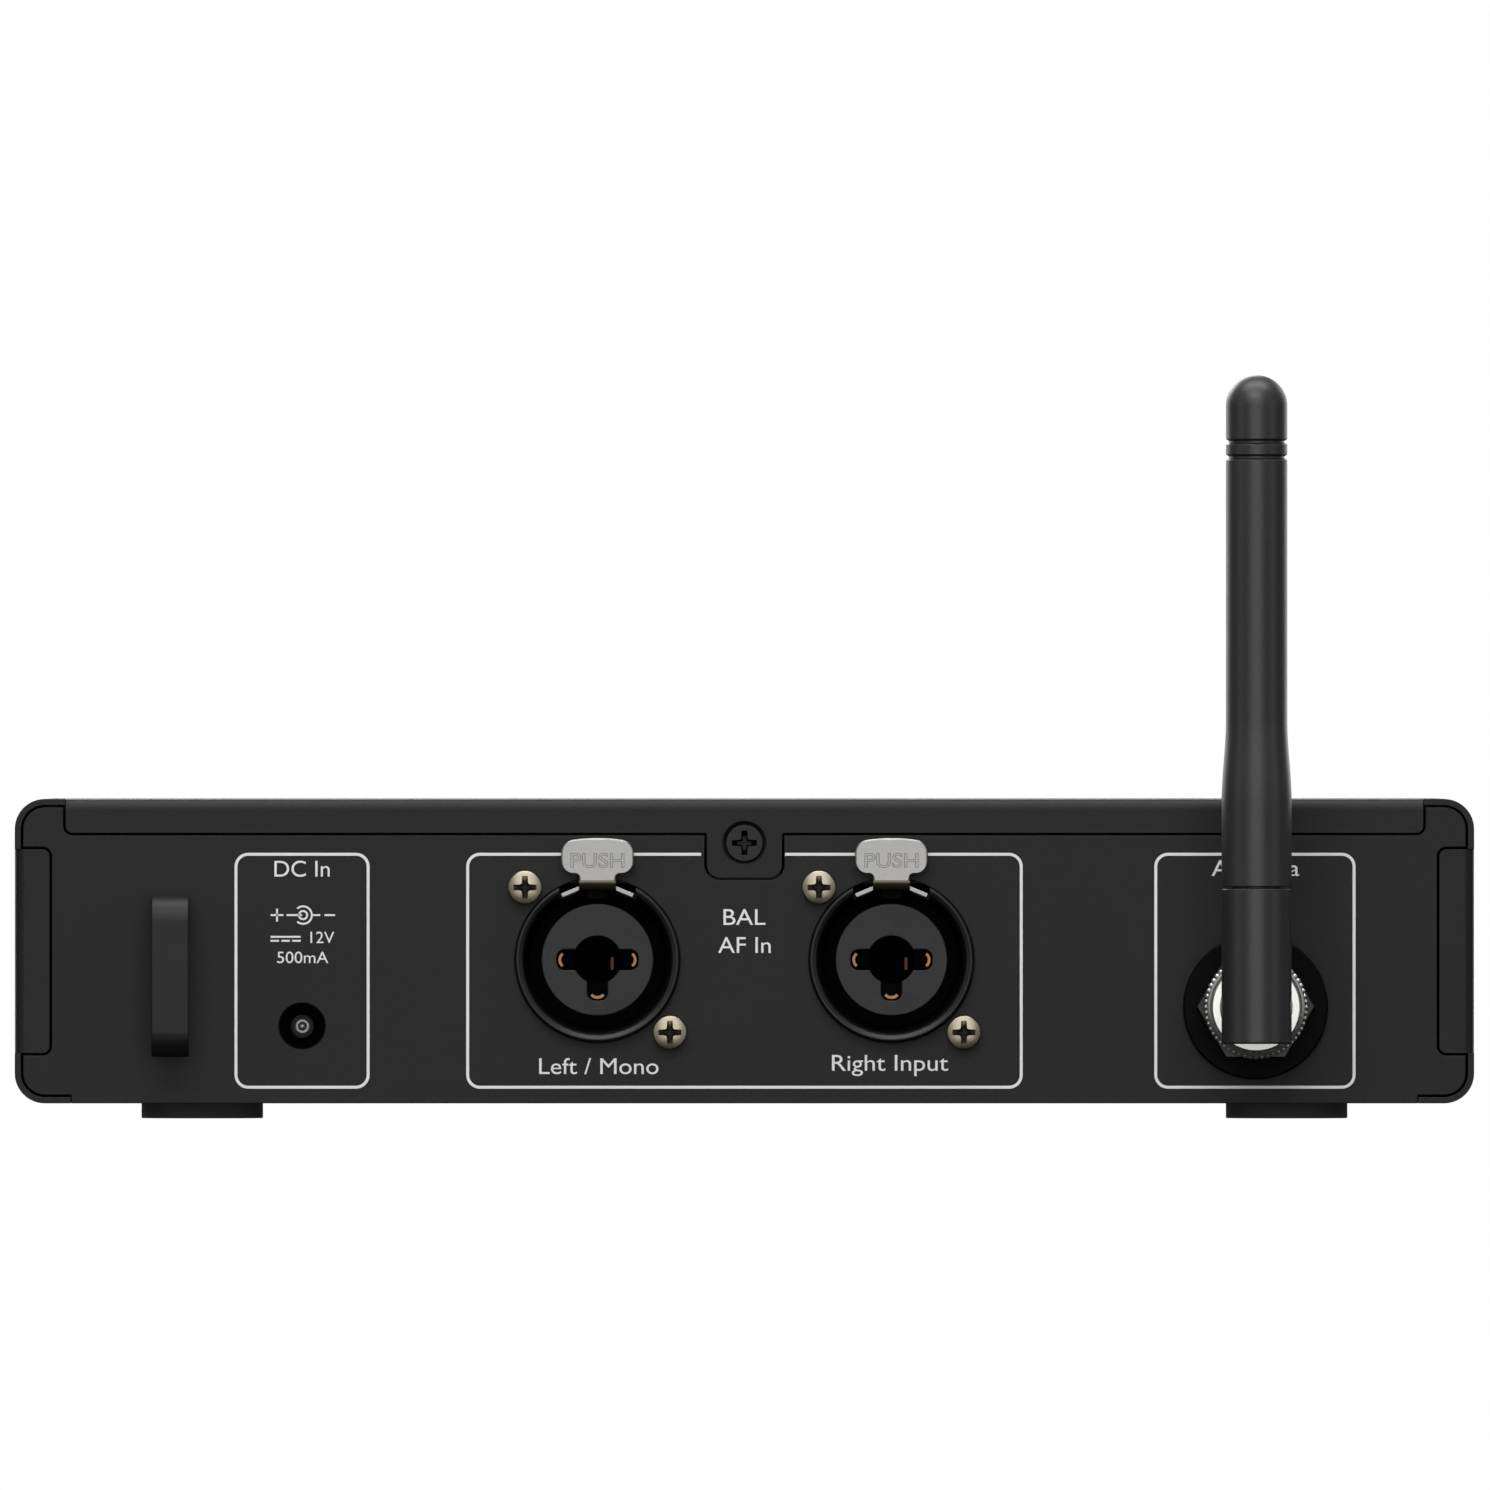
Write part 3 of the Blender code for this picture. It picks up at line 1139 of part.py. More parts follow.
# ---------------------------------------------------------------- front panel and its controls
def build_front_panel():
    """The moulded front: a rimmed wall with its display window and the holes of its controls."""
    panel = piece("front_panel", prism(case_outline(), Y_FRONT, Y_FRONT + FRONT_DEPTH, "Y"), "moulding")
    back = Y_FRONT + FRONT_DEPTH + CUT_MARGIN
    cut(panel, prism(case_outline(FRONT_RIM), Y_FRONT + FRONT_WALL, back, "Y"), "inside")
    low, high = Y_FRONT - CUT_MARGIN, Y_FRONT + FRONT_WALL + CUT_MARGIN
    holes = bmesh.new()
    for centre in [*KEYS.values(), IR_WINDOW_PLACE]:
        corners = rectangle(KEY_WIDTH, KEY_HEIGHT, KEY_CORNER, centre)
        prism(rounded(corners, -GAP), low, high, "Y", holes)
    power = rectangle(POWER_SIZE, POWER_SIZE, POWER_CORNER, (POWER_X, Z_MID))
    prism(rounded(power, -GAP), low, high, "Y", holes)
    cylinder(PHONES_BUSH_RADIUS + GAP, low, high, "Y", (PHONES_X, Z_MID), 32, holes)
    pot_bush = SHAFT_RADIUS + POT_BUSH_WALL + 2 * GAP
    cylinder(pot_bush, low, high, "Y", (KNOB_X, Z_MID), 24, holes)
    window = rectangle(LENS_WIDTH - 2 * WINDOW_BORDER, LENS_HEIGHT - 2 * WINDOW_BORDER, 0, (LENS_X, Z_MID))
    prism(rounded(window), low, high, "Y", holes)
    cut(panel, holes, "holes")
    lens = rounded(rectangle(LENS_WIDTH, LENS_HEIGHT, LENS_CORNER, (LENS_X, Z_MID)), -GAP)
    cut(panel, prism(lens, low, Y_FRONT + LENS_THICKNESS + GAP, "Y"), "lens_seat")


def build_display():
    """The clear lens in its seat and the display module behind the window."""
    lens = rounded(rectangle(LENS_WIDTH, LENS_HEIGHT, LENS_CORNER, (LENS_X, Z_MID)))
    piece("display_lens", prism(lens, Y_FRONT, Y_FRONT + LENS_THICKNESS, "Y"), "lens")
    module_front = Y_FRONT + FRONT_WALL + GAP
    module = rounded(rectangle(MODULE_WIDTH, MODULE_HEIGHT, 0, (LENS_X, Z_MID)))
    piece("display_module", prism(module, module_front, module_front + MODULE_THICKNESS, "Y"), "display")


def build_button(name, centre, width, height, corner):
    """A push button: cap through the panel, flange behind it and a stem towards its switch."""
    origin = (centre[0], Y_FRONT, centre[1])
    corners = rectangle(width, height, corner, centre)
    back = Y_FRONT + FRONT_WALL + GAP
    cap = prism(rounded(corners), Y_FRONT - KEY_PROUD, back + JOIN_OVERLAP, "Y")
    button = piece(name, cap, "moulding", origin=origin)
    join(button, prism(rounded(corners, -KEY_FLANGE_BORDER), back, back + KEY_FLANGE, "Y"), "flange")
    stem_front = back + KEY_FLANGE - JOIN_OVERLAP
    stem = cylinder(KEY_STEM_RADIUS, stem_front, back + KEY_FLANGE + KEY_STEM_LENGTH, "Y", centre, 12)
    join(button, stem, "stem")


def build_buttons():
    """The power button, the keys, and the fixed infrared window."""
    for name, centre in KEYS.items():
        build_button(name, centre, KEY_WIDTH, KEY_HEIGHT, KEY_CORNER)
    build_button("power_button", (POWER_X, Z_MID), POWER_SIZE, POWER_SIZE, POWER_CORNER)
    corners = rectangle(KEY_WIDTH, KEY_HEIGHT, KEY_CORNER, IR_WINDOW_PLACE)
    back = Y_FRONT + FRONT_WALL + GAP
    window = piece("ir_window", prism(rounded(corners), Y_FRONT, back + JOIN_OVERLAP, "Y"), "lens")
    join(window, prism(rounded(corners, -KEY_FLANGE_BORDER), back, back + KEY_FLANGE, "Y"), "flange")


def build_front_board():
    """The upright board behind the front panel, with its switches and two cut-outs."""
    front = Y_FRONT + FRONT_BOARD_BACK
    corners = rectangle(FRONT_BOARD_WIDTH, FRONT_BOARD_HEIGHT, 0, (0, Z_MID))
    plate = prism(rounded(corners), front, front + BOARD_THICKNESS, "Y")
    board = piece("front_board", plate, "circuit_board")
    switches = bmesh.new()
    for centre in [*KEYS.values(), (POWER_X, Z_MID)]:
        outline = rounded(rectangle(SWITCH_SIZE, SWITCH_SIZE, 0, centre))
        prism(outline, front - SWITCH_HEIGHT, front + JOIN_OVERLAP, "Y", switches)
    join(board, switches, "switches")
    openings = bmesh.new()
    for x, width, height in (
        (PHONES_X, PHONES_BODY_WIDTH, PHONES_BODY_HEIGHT),
        (KNOB_X, POT_WIDTH, POT_HEIGHT),
    ):
        outline = rounded(rectangle(width + 4 * GAP, height + 4 * GAP, 0, (x, Z_MID)))
        prism(outline, front - CUT_MARGIN, front + BOARD_THICKNESS + CUT_MARGIN, "Y", openings)
    cut(board, openings, "openings")


def build_phones_jack():
    """The headphone socket, its threaded bush through the panel, and the ring nut."""
    centre = (PHONES_X, Z_MID)
    back = Y_FRONT + FRONT_WALL + GAP
    low = (PHONES_X - PHONES_BODY_WIDTH / 2, back, Z_MID - PHONES_BODY_HEIGHT / 2)
    high = (PHONES_X + PHONES_BODY_WIDTH / 2, back + PHONES_BODY_DEPTH, Z_MID + PHONES_BODY_HEIGHT / 2)
    body = piece("phones_jack", box(low, high), "connector_black")
    mouth = Y_FRONT - PHONES_BUSH_PROUD
    join(body, cylinder(PHONES_BUSH_RADIUS, mouth, back + CUT_MARGIN, "Y", centre, 32), "bush")
    bore = cylinder(PHONES_BORE_RADIUS, mouth - CUT_MARGIN, mouth + PHONES_BORE_DEPTH, "Y", centre, 24)
    cut(body, bore, "bore")
    inner = PHONES_BUSH_RADIUS + GAP
    nut_back = Y_FRONT - GAP
    chamfer = 2 * GAP
    profile = [
        (inner, nut_back),
        (inner, nut_back - PHONES_NUT_THICKNESS),
        (PHONES_NUT_RADIUS - chamfer, nut_back - PHONES_NUT_THICKNESS),
        (PHONES_NUT_RADIUS, nut_back - PHONES_NUT_THICKNESS + chamfer),
        (PHONES_NUT_RADIUS, nut_back),
    ]
    piece("phones_nut", turned(profile, "Y", centre, 32), "nickel")


def build_volume_control():
    """The potentiometer, its turning shaft and the knob."""
    centre = (KNOB_X, Z_MID)
    back = Y_FRONT + FRONT_WALL + GAP
    low = (KNOB_X - POT_WIDTH / 2, back, Z_MID - POT_HEIGHT / 2)
    high = (KNOB_X + POT_WIDTH / 2, back + POT_DEPTH, Z_MID + POT_HEIGHT / 2)
    pot = piece("volume_pot", box(low, high), "tin_shield")
    mouth = Y_FRONT - POT_BUSH_PROUD
    bush = SHAFT_RADIUS + GAP + POT_BUSH_WALL
    join(pot, cylinder(bush, mouth, back + CUT_MARGIN, "Y", centre, 24), "bush")
    shaft_end = Y_FRONT + SHAFT_IN_POT
    cut(pot, cylinder(SHAFT_RADIUS + GAP, mouth - CUT_MARGIN, shaft_end + GAP, "Y", centre, 24), "bore")
    origin = (KNOB_X, Y_FRONT, Z_MID)
    turntable = pivot("volume_axis", origin)
    knob_back, knob_front = Y_FRONT - KNOB_CLEARANCE, Y_FRONT - KNOB_PROUD
    shaft = cylinder(SHAFT_RADIUS, knob_back - SHAFT_IN_KNOB, shaft_end, "Y", centre, 20)
    piece("volume_shaft", shaft, "nickel", turntable, origin)
    bore_end = knob_back - SHAFT_IN_KNOB - GAP
    inner, chamfer = SHAFT_RADIUS + GAP, 3 * GAP
    profile = [
        (0, bore_end),
        (inner, bore_end),
        (inner, knob_back),
        (KNOB_RADIUS, knob_back),
        (KNOB_RADIUS, knob_front + chamfer),
        (KNOB_RADIUS - chamfer, knob_front),
        (0, knob_front),
    ]
    knob = piece("volume_knob", turned(profile, "Y", centre, 32), "moulding", turntable, origin)
    half = KNOB_POINTER_WIDTH / 2
    groove = box(
        (KNOB_X - half, knob_front - CUT_MARGIN, Z_MID + KNOB_RADIUS / 2),
        (KNOB_X + half, knob_front + KNOB_POINTER_DEPTH, Z_MID + KNOB_RADIUS + CUT_MARGIN),
    )
    cut(knob, groove, "pointer")


# ---------------------------------------------------------------- inside
def build_main_board():
    """The horizontal board on the tray's standoffs, with its larger components."""
    front, rear = Y_FRONT + BOARD_FROM_FRONT, Y_REAR - BOARD_FROM_REAR
    plate = box((-BOARD_HALF, front, Z_BOARD), (BOARD_HALF, rear, Z_BOARD_TOP))
    board = piece("main_board", plate, "circuit_board")
    chips = bmesh.new()
    for x, y, width, depth, height in CHIPS:
        low = (x - width / 2, y - depth / 2, Z_BOARD_TOP - JOIN_OVERLAP)
        box(low, (x + width / 2, y + depth / 2, Z_BOARD_TOP + height), chips)
    join(board, chips, "chips")
    holes = bmesh.new()
    for place_xy in standoff_places()[:2]:
        low, high = Z_BOARD - CUT_MARGIN, Z_BOARD_TOP + CUT_MARGIN
        cylinder(BOARD_SCREW["shank_radius"] + GAP, low, high, "Z", place_xy, 12, holes)
    cut(board, holes, "screw_holes")
    for name, place_xy in zip(("board_screw_left", "board_screw_right"), standoff_places()):
        pan_screw(name, BOARD_SCREW, "Z", place_xy, Z_BOARD_TOP + GAP, 1)


def build_radio():
    """The shielded radio section and the coaxial lead from the antenna socket to it."""
    rear, middle = JACK_BACK - SHIELD_FROM_JACKS, ANTENNA_X + SHIELD_FROM_ANTENNA
    low = (middle - SHIELD_WIDTH / 2, rear - SHIELD_DEPTH, Z_BOARD_TOP + GAP)
    high = (middle + SHIELD_WIDTH / 2, rear, Z_BOARD_TOP + GAP + SHIELD_HEIGHT)
    piece("rf_shield", box(low, high), "tin_shield")
    start = Vector((ANTENNA_X, Y_REAR - SOCKET_BACK - GAP, Z_ANTENNA))
    end = Vector((ANTENNA_X, rear - PIGTAIL_OVERLAP, high[2] + GAP + PIGTAIL_RADIUS))
    count = 14
    curve = bpy.data.curves.new("antenna_pigtail", "CURVE")
    curve.dimensions = "3D"
    curve.bevel_depth = PIGTAIL_RADIUS
    curve.bevel_resolution = 2
    curve.use_fill_caps = True
    spline = curve.splines.new("POLY")
    spline.points.add(count)
    for i in range(count + 1):
        share = i / count
        arch = PIGTAIL_RISE * math.sin(math.pi * share) ** 2
        point = start.lerp(end, share) + Vector((0, 0, arch))
        spline.points[i].co = (*point, 1.0)
    curve.materials.append(material("cable_black"))
    lead = bpy.data.objects.new("antenna_pigtail", curve)
    bpy.context.scene.collection.objects.link(lead)


def build_ribbon():
    """The flat cable from the main board up the back of the front board."""
    riser = Y_FRONT + FRONT_BOARD_BACK + BOARD_THICKNESS + RIBBON_STANDOFF
    level = Z_BOARD_TOP + GAP + RIBBON_THICKNESS / 2
    corners = [
        (Y_FRONT + BOARD_FROM_FRONT + RIBBON_ON_BOARD, level, 0),
        (riser, level, RIBBON_BEND),
        (riser, level + RIBBON_HEIGHT, 0),
    ]
    outline = strip(rounded(corners, steps=4, closed=False), RIBBON_THICKNESS)
    half = RIBBON_WIDTH / 2
    piece("ribbon_cable", prism(outline, LENS_X - half, LENS_X + half, "X"), "ribbon_white")


def build_capacitor():
    """The reservoir capacitor beside the power inlet."""
    low = Z_BOARD_TOP + GAP
    sideways, forwards = CAPACITOR_FROM_INLET
    centre = (DC_X + sideways, Y_BEHIND_PANEL - DC_BODY_DEPTH - forwards)
    can = cylinder(CAPACITOR_RADIUS, low, low + CAPACITOR_HEIGHT, "Z", centre, 20)
    piece("capacitor", can, "capacitor_sleeve")


def main():
    """Builds every piece of the unit."""
    clear_scene()
    build_cover()
    build_tray()
    build_feet()
    build_cover_screw()
    build_jacks()
    build_dc_inlet()
    build_cable_hook()
    build_antenna()
    build_front_panel()
    build_display()
    build_buttons()
    build_front_board()
    build_phones_jack()
    build_volume_control()
    build_main_board()
    build_radio()
    build_ribbon()
    build_capacitor()


main()
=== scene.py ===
"""Looks of a half-rack wireless audio unit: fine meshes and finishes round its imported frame.

Shapes are drawn in millimetres in the unit's own frame and turned to metres when they are published.
+X is to the left for someone facing the rear panel, +Y points out of the rear panel and +Z is up.
"""

import logging
import math
from dataclasses import dataclass
from enum import Enum

import bmesh
import bpy
from mathutils import Matrix, Vector


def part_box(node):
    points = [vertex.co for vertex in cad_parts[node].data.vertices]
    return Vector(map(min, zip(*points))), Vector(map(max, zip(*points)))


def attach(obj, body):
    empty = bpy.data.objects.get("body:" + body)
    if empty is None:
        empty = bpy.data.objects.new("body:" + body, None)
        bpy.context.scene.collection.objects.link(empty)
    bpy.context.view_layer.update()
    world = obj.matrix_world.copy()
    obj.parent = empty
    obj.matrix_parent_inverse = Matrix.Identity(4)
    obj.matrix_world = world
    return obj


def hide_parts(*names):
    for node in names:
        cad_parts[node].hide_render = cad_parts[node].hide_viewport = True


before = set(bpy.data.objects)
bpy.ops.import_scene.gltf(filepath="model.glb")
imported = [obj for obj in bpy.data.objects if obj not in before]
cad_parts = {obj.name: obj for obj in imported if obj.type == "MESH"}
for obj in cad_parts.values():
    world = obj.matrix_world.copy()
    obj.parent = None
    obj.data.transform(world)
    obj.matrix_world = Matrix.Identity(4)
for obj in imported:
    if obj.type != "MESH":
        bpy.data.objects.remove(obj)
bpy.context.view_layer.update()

LOG = logging.getLogger("scene")
TO_METRES = 0.001
GAP = 0.3
WELD = 1e-4
STARTUP_OBJECTS = ("Cube", "Light", "Camera")
SMOOTH_ANGLE = math.radians(35)
EDGE_ANGLE = math.radians(50)
PRINT_THICKNESS = 0.02
PRINT_LIFT = 0.002
CAPITALS = 0.682
Pair = tuple[float, float]
Triple = tuple[float, float, float]
Outline = list[Pair]
Corners = list[tuple[float, float, float]]
Tree = bpy.types.NodeTree
Socket = bpy.types.NodeSocket


class Axis(Enum):
    """The axis that a prism or a turned shape follows."""

    X = "X"
    Y = "Y"
    Z = "Z"

    def place(self, u: float, v: float, w: float) -> Vector:
        """The point at (u, v) across this axis and w along it."""
        return Vector({"X": (w, u, v), "Y": (u, w, v), "Z": (u, v, w)}[self.value])


def upright(x: float, y: float, z: float) -> Matrix:
    """Stands lettering drawn in XY upright at a place, to be read from behind."""
    return Matrix(((-1, 0, 0, x), (0, 0, 1, y), (0, 1, 0, z), (0, 0, 0, 1)))


# ---------------------------------------------------------------- finishes
def linear(hex_colour: str) -> tuple[float, float, float, float]:
    """Turns an sRGB hex value to linear red, green, blue and alpha."""
    channels = [int(hex_colour[i : i + 2], 16) / 255 for i in (1, 3, 5)]
    made = [c / 12.92 if c <= 0.04045 else ((c + 0.055) / 1.055) ** 2.4 for c in channels]
    return (*made, 1.0)


def per_metre(size: float) -> float:
    """Noise scale that gives a pattern about this many millimetres from one feature to the next."""
    return 1.0 / (size * TO_METRES)


def add_node(tree: Tree, kind: str, inputs: dict | None = None, **settings: object) -> bpy.types.Node:
    """Adds a node with its settings, values and links.

    Args:
        tree: The node tree it goes in.
        kind: Blender's type name of the node.
        inputs: Socket name or number, to a value or to the output socket that feeds it.
        **settings: The node's own properties.

    Returns:
        The new node.
    """
    node = tree.nodes.new(kind)
    for key, value in settings.items():
        setattr(node, key, value)
    for socket, value in (inputs or {}).items():
        if isinstance(value, Socket):
            tree.links.new(value, node.inputs[socket])
        else:
            node.inputs[socket].default_value = value
    return node


def spread(tree: Tree, factor: Socket, low: float, high: float) -> Socket:
    """Spreads the middle half of a noise over the range from low to high."""
    inputs = {"Value": factor, "From Min": 0.25, "From Max": 0.75, "To Min": low, "To Max": high}
    return add_node(tree, "ShaderNodeMapRange", inputs).outputs["Result"]


def shaded(tree: Tree, colour: Socket | Triple, factor: Socket, share: float) -> Socket:
    """Lightens and darkens a colour by a share, following a noise.

    Args:
        tree: The material's node tree.
        colour: A colour, or the socket that gives it.
        factor: The noise.
        share: How far the colour goes each way, as a share of itself.

    Returns:
        The socket of the changed colour.
    """
    amount = spread(tree, factor, 1 - share, 1 + share)
    inputs = {0: colour, 1: amount}
    return add_node(tree, "ShaderNodeVectorMath", inputs, operation="MULTIPLY").outputs["Vector"]


@dataclass(frozen=True)
class Finish:
    """A finish: colour and gloss, with the grain, speckle and patches that its making leaves."""

    name: str
    colour: str
    roughness: float
    grain: float = 0.3
    relief: float = 0.004
    speckle: float = 0.15
    mottle: float = 0.08
    patch: float = 14.0
    gloss_spread: float = 0.05
    specular: float = 0.5

    def material(self) -> bpy.types.Material:
        """The Blender material of this finish, made when it is first asked for."""
        found = bpy.data.materials.get(self.name)
        if found:
            return found
        made = bpy.data.materials.new(self.name)
        made.use_nodes = True
        made.diffuse_color = linear(self.colour)
        tree = made.node_tree
        shader = tree.nodes["Principled BSDF"]
        coordinates = add_node(tree, "ShaderNodeTexCoord").outputs["Object"]
        height = self.surface(tree, shader, coordinates)
        inputs = {"Strength": 1.0, "Distance": self.relief * TO_METRES, "Height": height}
        bump = add_node(tree, "ShaderNodeBump", inputs)
        tree.links.new(bump.outputs["Normal"], shader.inputs["Normal"])
        self.settle(shader)
        return made

    def noise(self, tree: Tree, coordinates: Socket, size: float) -> Socket:
        """A noise whose features are about size millimetres apart."""
        inputs = {"Vector": coordinates, "Scale": per_metre(size), "Detail": 3.0, "Roughness": 0.6}
        return add_node(tree, "ShaderNodeTexNoise", inputs).outputs["Fac"]

    def surface(self, tree: Tree, shader: bpy.types.Node, coordinates: Socket) -> Socket:
        """Links the colour and the roughness.

        Args:
            tree: The material's node tree.
            shader: Its shader.
            coordinates: Where a point is on the piece.

        Returns:
            The height that the relief follows.
        """
        fine = self.noise(tree, coordinates, self.grain)
        patches = self.noise(tree, coordinates, self.patch)
        speckled = shaded(tree, linear(self.colour)[:3], fine, self.speckle)
        tree.links.new(shaded(tree, speckled, patches, self.mottle), shader.inputs["Base Color"])
        low, high = self.roughness - self.gloss_spread, self.roughness + self.gloss_spread
        tree.links.new(spread(tree, patches, low, high), shader.inputs["Roughness"])
        return fine

    def settle(self, shader: bpy.types.Node) -> None:
        """Sets the shader's constants."""
        shader.inputs["IOR"].default_value = 1.5
        shader.inputs["Specular IOR Level"].default_value = self.specular


@dataclass(frozen=True)
class PowderCoat(Finish):
    """Baked polyester powder on steel: fused grains leave a soft pebbled skin over a finer grit."""

    pebble: float = 0.7

    def surface(self, tree: Tree, shader: bpy.types.Node, coordinates: Socket) -> Socket:
        """Adds the pebbled skin to the fine grit."""
        fine = super().surface(tree, shader, coordinates)
        inputs = {"Vector": coordinates, "Scale": per_metre(self.pebble), "Smoothness": 0.6}
        cells = add_node(tree, "ShaderNodeTexVoronoi", inputs, feature="SMOOTH_F1").outputs["Distance"]
        return add_node(tree, "ShaderNodeMath", {0: fine, 1: cells}, operation="ADD").outputs[0]


@dataclass(frozen=True)
class Metal(Finish):
    """Plated or bare metal: faint drawn lines along one axis, which spread its reflections."""

    lines: Triple = (1.0, 1.0, 1.0)

    def surface(self, tree: Tree, shader: bpy.types.Node, coordinates: Socket) -> Socket:
        """Stretches the grain into lines."""
        inputs = {"Vector": coordinates, "Scale": self.lines}
        mapped = add_node(tree, "ShaderNodeMapping", inputs).outputs["Vector"]
        return super().surface(tree, shader, mapped)

    def settle(self, shader: bpy.types.Node) -> None:
        """A metal reflects in its own colour, and keeps the default IOR."""
        shader.inputs["Metallic"].default_value = 1.0


@dataclass(frozen=True)
class ClearTint(Finish):
    """Tinted acrylic: polished, clear enough to see a display behind it."""

    def settle(self, shader: bpy.types.Node) -> None:
        """Lets light through."""
        shader.inputs["IOR"].default_value = 1.49
        shader.inputs["Transmission Weight"].default_value = 0.9


@dataclass(frozen=True)
class BoardMask(Finish):
    """Solder mask over etched copper: the tracks stand a little proud and lighter."""

    pitch: float = 1.27

    def surface(self, tree: Tree, shader: bpy.types.Node, coordinates: Socket) -> Socket:
        """Draws tracks as straight-sided cells."""
        inputs = {"Vector": coordinates, "Scale": per_metre(self.pitch), "Randomness": 0.6}
        cells = add_node(tree, "ShaderNodeTexVoronoi", inputs, distance="CHEBYCHEV").outputs["Distance"]
        tracks = spread(tree, cells, 0.0, 1.0)
        tree.links.new(shaded(tree, linear(self.colour)[:3], tracks, 0.35), shader.inputs["Base Color"])
        shader.inputs["Roughness"].default_value = self.roughness
        return tracks


# Polyester powder, sprayed and baked on the folded sheets: near black and satin, with a fine sparkle
# at the folds.
COVER_PAINT = PowderCoat(
    "cover_powder_coat",
    "#141414",
    0.5,
    grain=0.28,
    relief=0.012,
    speckle=0.22,
    mottle=0.03,
    gloss_spread=0.015,
    specular=0.26,
)
# The same powder, thinner: a shade lighter and calmer, so that the print stands out.
PANEL_PAINT = PowderCoat(
    "panel_powder_coat",
    "#1f1f1f",
    0.56,
    grain=0.2,
    relief=0.005,
    speckle=0.08,
    mottle=0.03,
    gloss_spread=0.015,
    specular=0.22,
)
# Screen-printed epoxy ink: opaque, matt, a shade off white.
PRINT_INK = Finish("screen_print_ink", "#e9e9e7", 0.6, grain=0.12, relief=0.001, speckle=0.03, mottle=0.02)
# Glass-filled nylon of the connectors, moulded in an eroded tool: black with a soft sheen on its rims.
NYLON = Finish("connector_nylon", "#121212", 0.36, grain=0.16, relief=0.004, speckle=0.14, specular=0.35)
# The same nylon deep in a bore, painted near black as painted shade, so that it reads as a hole.
SHADED_BORE_NYLON = Finish("bore_nylon", "#050505", 0.6, grain=0.3, relief=0.004, specular=0.1)
# Nylon of the inserts, moulded with a coarser texture: dark grey and lightly grained.
INSERT_NYLON = Finish("insert_nylon", "#1c1c1d", 0.42, grain=0.2, relief=0.012, speckle=0.3, specular=0.3)
# Turned nylon washer: the blackest thing on the panel.
WASHER_NYLON = Finish("washer_nylon", "#030303", 0.5, grain=0.2, relief=0.002, specular=0.06)
# Injection-moulded ABS of the front: matt charcoal.
FRONT_ABS = Finish("front_abs", "#232323", 0.5, grain=0.22, relief=0.006)
# Moulded ABS of the cable hook: smooth, with a soft highlight along its bends.
HOOK_ABS = Finish("hook_abs", "#151515", 0.5, grain=0.3, relief=0.002, speckle=0.05, specular=0.3)
# Moulded ABS of the keys: a touch lighter than the front, so that they can be found.
KEY_ABS = Finish("key_abs", "#2d2d2d", 0.46, grain=0.2, relief=0.004)
# Moulded ABS of the knob: darker, and a little glossier from being handled.
KNOB_ABS = Finish("knob_abs", "#1e1e1e", 0.42, grain=0.2, relief=0.004)
# Soft-touch elastomer moulded over the rod: matt, with light specks of the eroded tool, drawn coarse to show.
ANTENNA_SKIN = Finish(
    "antenna_elastomer",
    "#1d1d1d",
    0.42,
    grain=0.3,
    relief=0.014,
    speckle=0.4,
    mottle=0.04,
    gloss_spread=0.02,
    specular=0.6,
)
# Moulded rubber of the feet: black, with a sheen where it faces the light.
FOOT_RUBBER = Finish("foot_rubber", "#080808", 0.3, grain=0.4, relief=0.004, speckle=0.1, specular=0.9)
# Tumbled nickel plate on pressed steel: bright, satin, with faint lines from the rolling.
LATCH_NICKEL = Metal(
    "pressed_nickel", "#8d8c8a", 0.32, grain=0.12, relief=0.0015, speckle=0.06, lines=(0.3, 1, 1)
)
# The same plate painted darker and warmer as painted shade, for the lever's bend.
SHADED_LEVER_NICKEL = Metal("lever_nickel", "#6b6757", 0.34, grain=0.12, relief=0.0015, speckle=0.08)
# Nickel plate on turned brass: light and clean, with sharp glints on the rings.
TURNED_NICKEL = Metal("turned_nickel", "#cfcecb", 0.3, grain=0.1, relief=0.001, speckle=0.06)
# Nickel painted mid grey as painted shade: the power socket's sleeve deep in its mouth, and the outline round
# the stamped letters.
SHADED_NICKEL = Metal("sleeve_nickel", "#5d5d5d", 0.3, grain=0.1, relief=0.001, speckle=0.05)
# Black nickel on the hexagon nut: dark faces between bright corners.
NUT_NICKEL = Metal("nut_nickel", "#2e2e2e", 0.24, grain=0.2, relief=0.001, speckle=0.05)
# Yellowed nickel on the screws: a warm grey dome.
SCREW_NICKEL = Metal("screw_nickel", "#a09886", 0.3, grain=0.15, relief=0.002, speckle=0.08)
# Steel blackened in hot salts: dark, satin, bluntly reflecting.
BLACK_STEEL = Metal("blackened_steel", "#2a2a2a", 0.36, grain=0.2, relief=0.002)
# Steel of the latch hinge, painted near black as painted shadow: it lies in the shadow of the jack.
SHADOWED_STEEL = Metal("oiled_steel", "#0c0c0c", 0.5, grain=0.2, relief=0.002)
# Rolled phosphor bronze deep in the bore, painted darker as painted shade: a dim copper streak.
SHADED_SPRING_COPPER = Metal("spring_copper", "#4a3222", 0.4, grain=0.1, relief=0.001)
# Phosphor bronze of the pin contacts, drawn lengthwise: pale copper crescents.
CONTACT_BRONZE = Metal("contact_bronze", "#80604a", 0.3, grain=0.1, relief=0.001, lines=(1, 0.1, 1))
# Tinplate of the shield, rolled: light grey and streaky.
SHIELD_TIN = Metal("shield_tinplate", "#a9abad", 0.36, grain=0.5, relief=0.002, lines=(1, 0.1, 1))
# Cast acrylic, smoked: a dark gloss that the display shows through.
LENS_ACRYLIC = ClearTint("lens_acrylic", "#2c3136", 0.06, grain=2.0, relief=0.0002, speckle=0.02)
# Glass of the display module, unlit: grey-green and finely speckled.
DISPLAY_GLASS = Finish("display_glass", "#39423c", 0.3, grain=0.35, relief=0.001, speckle=0.3)
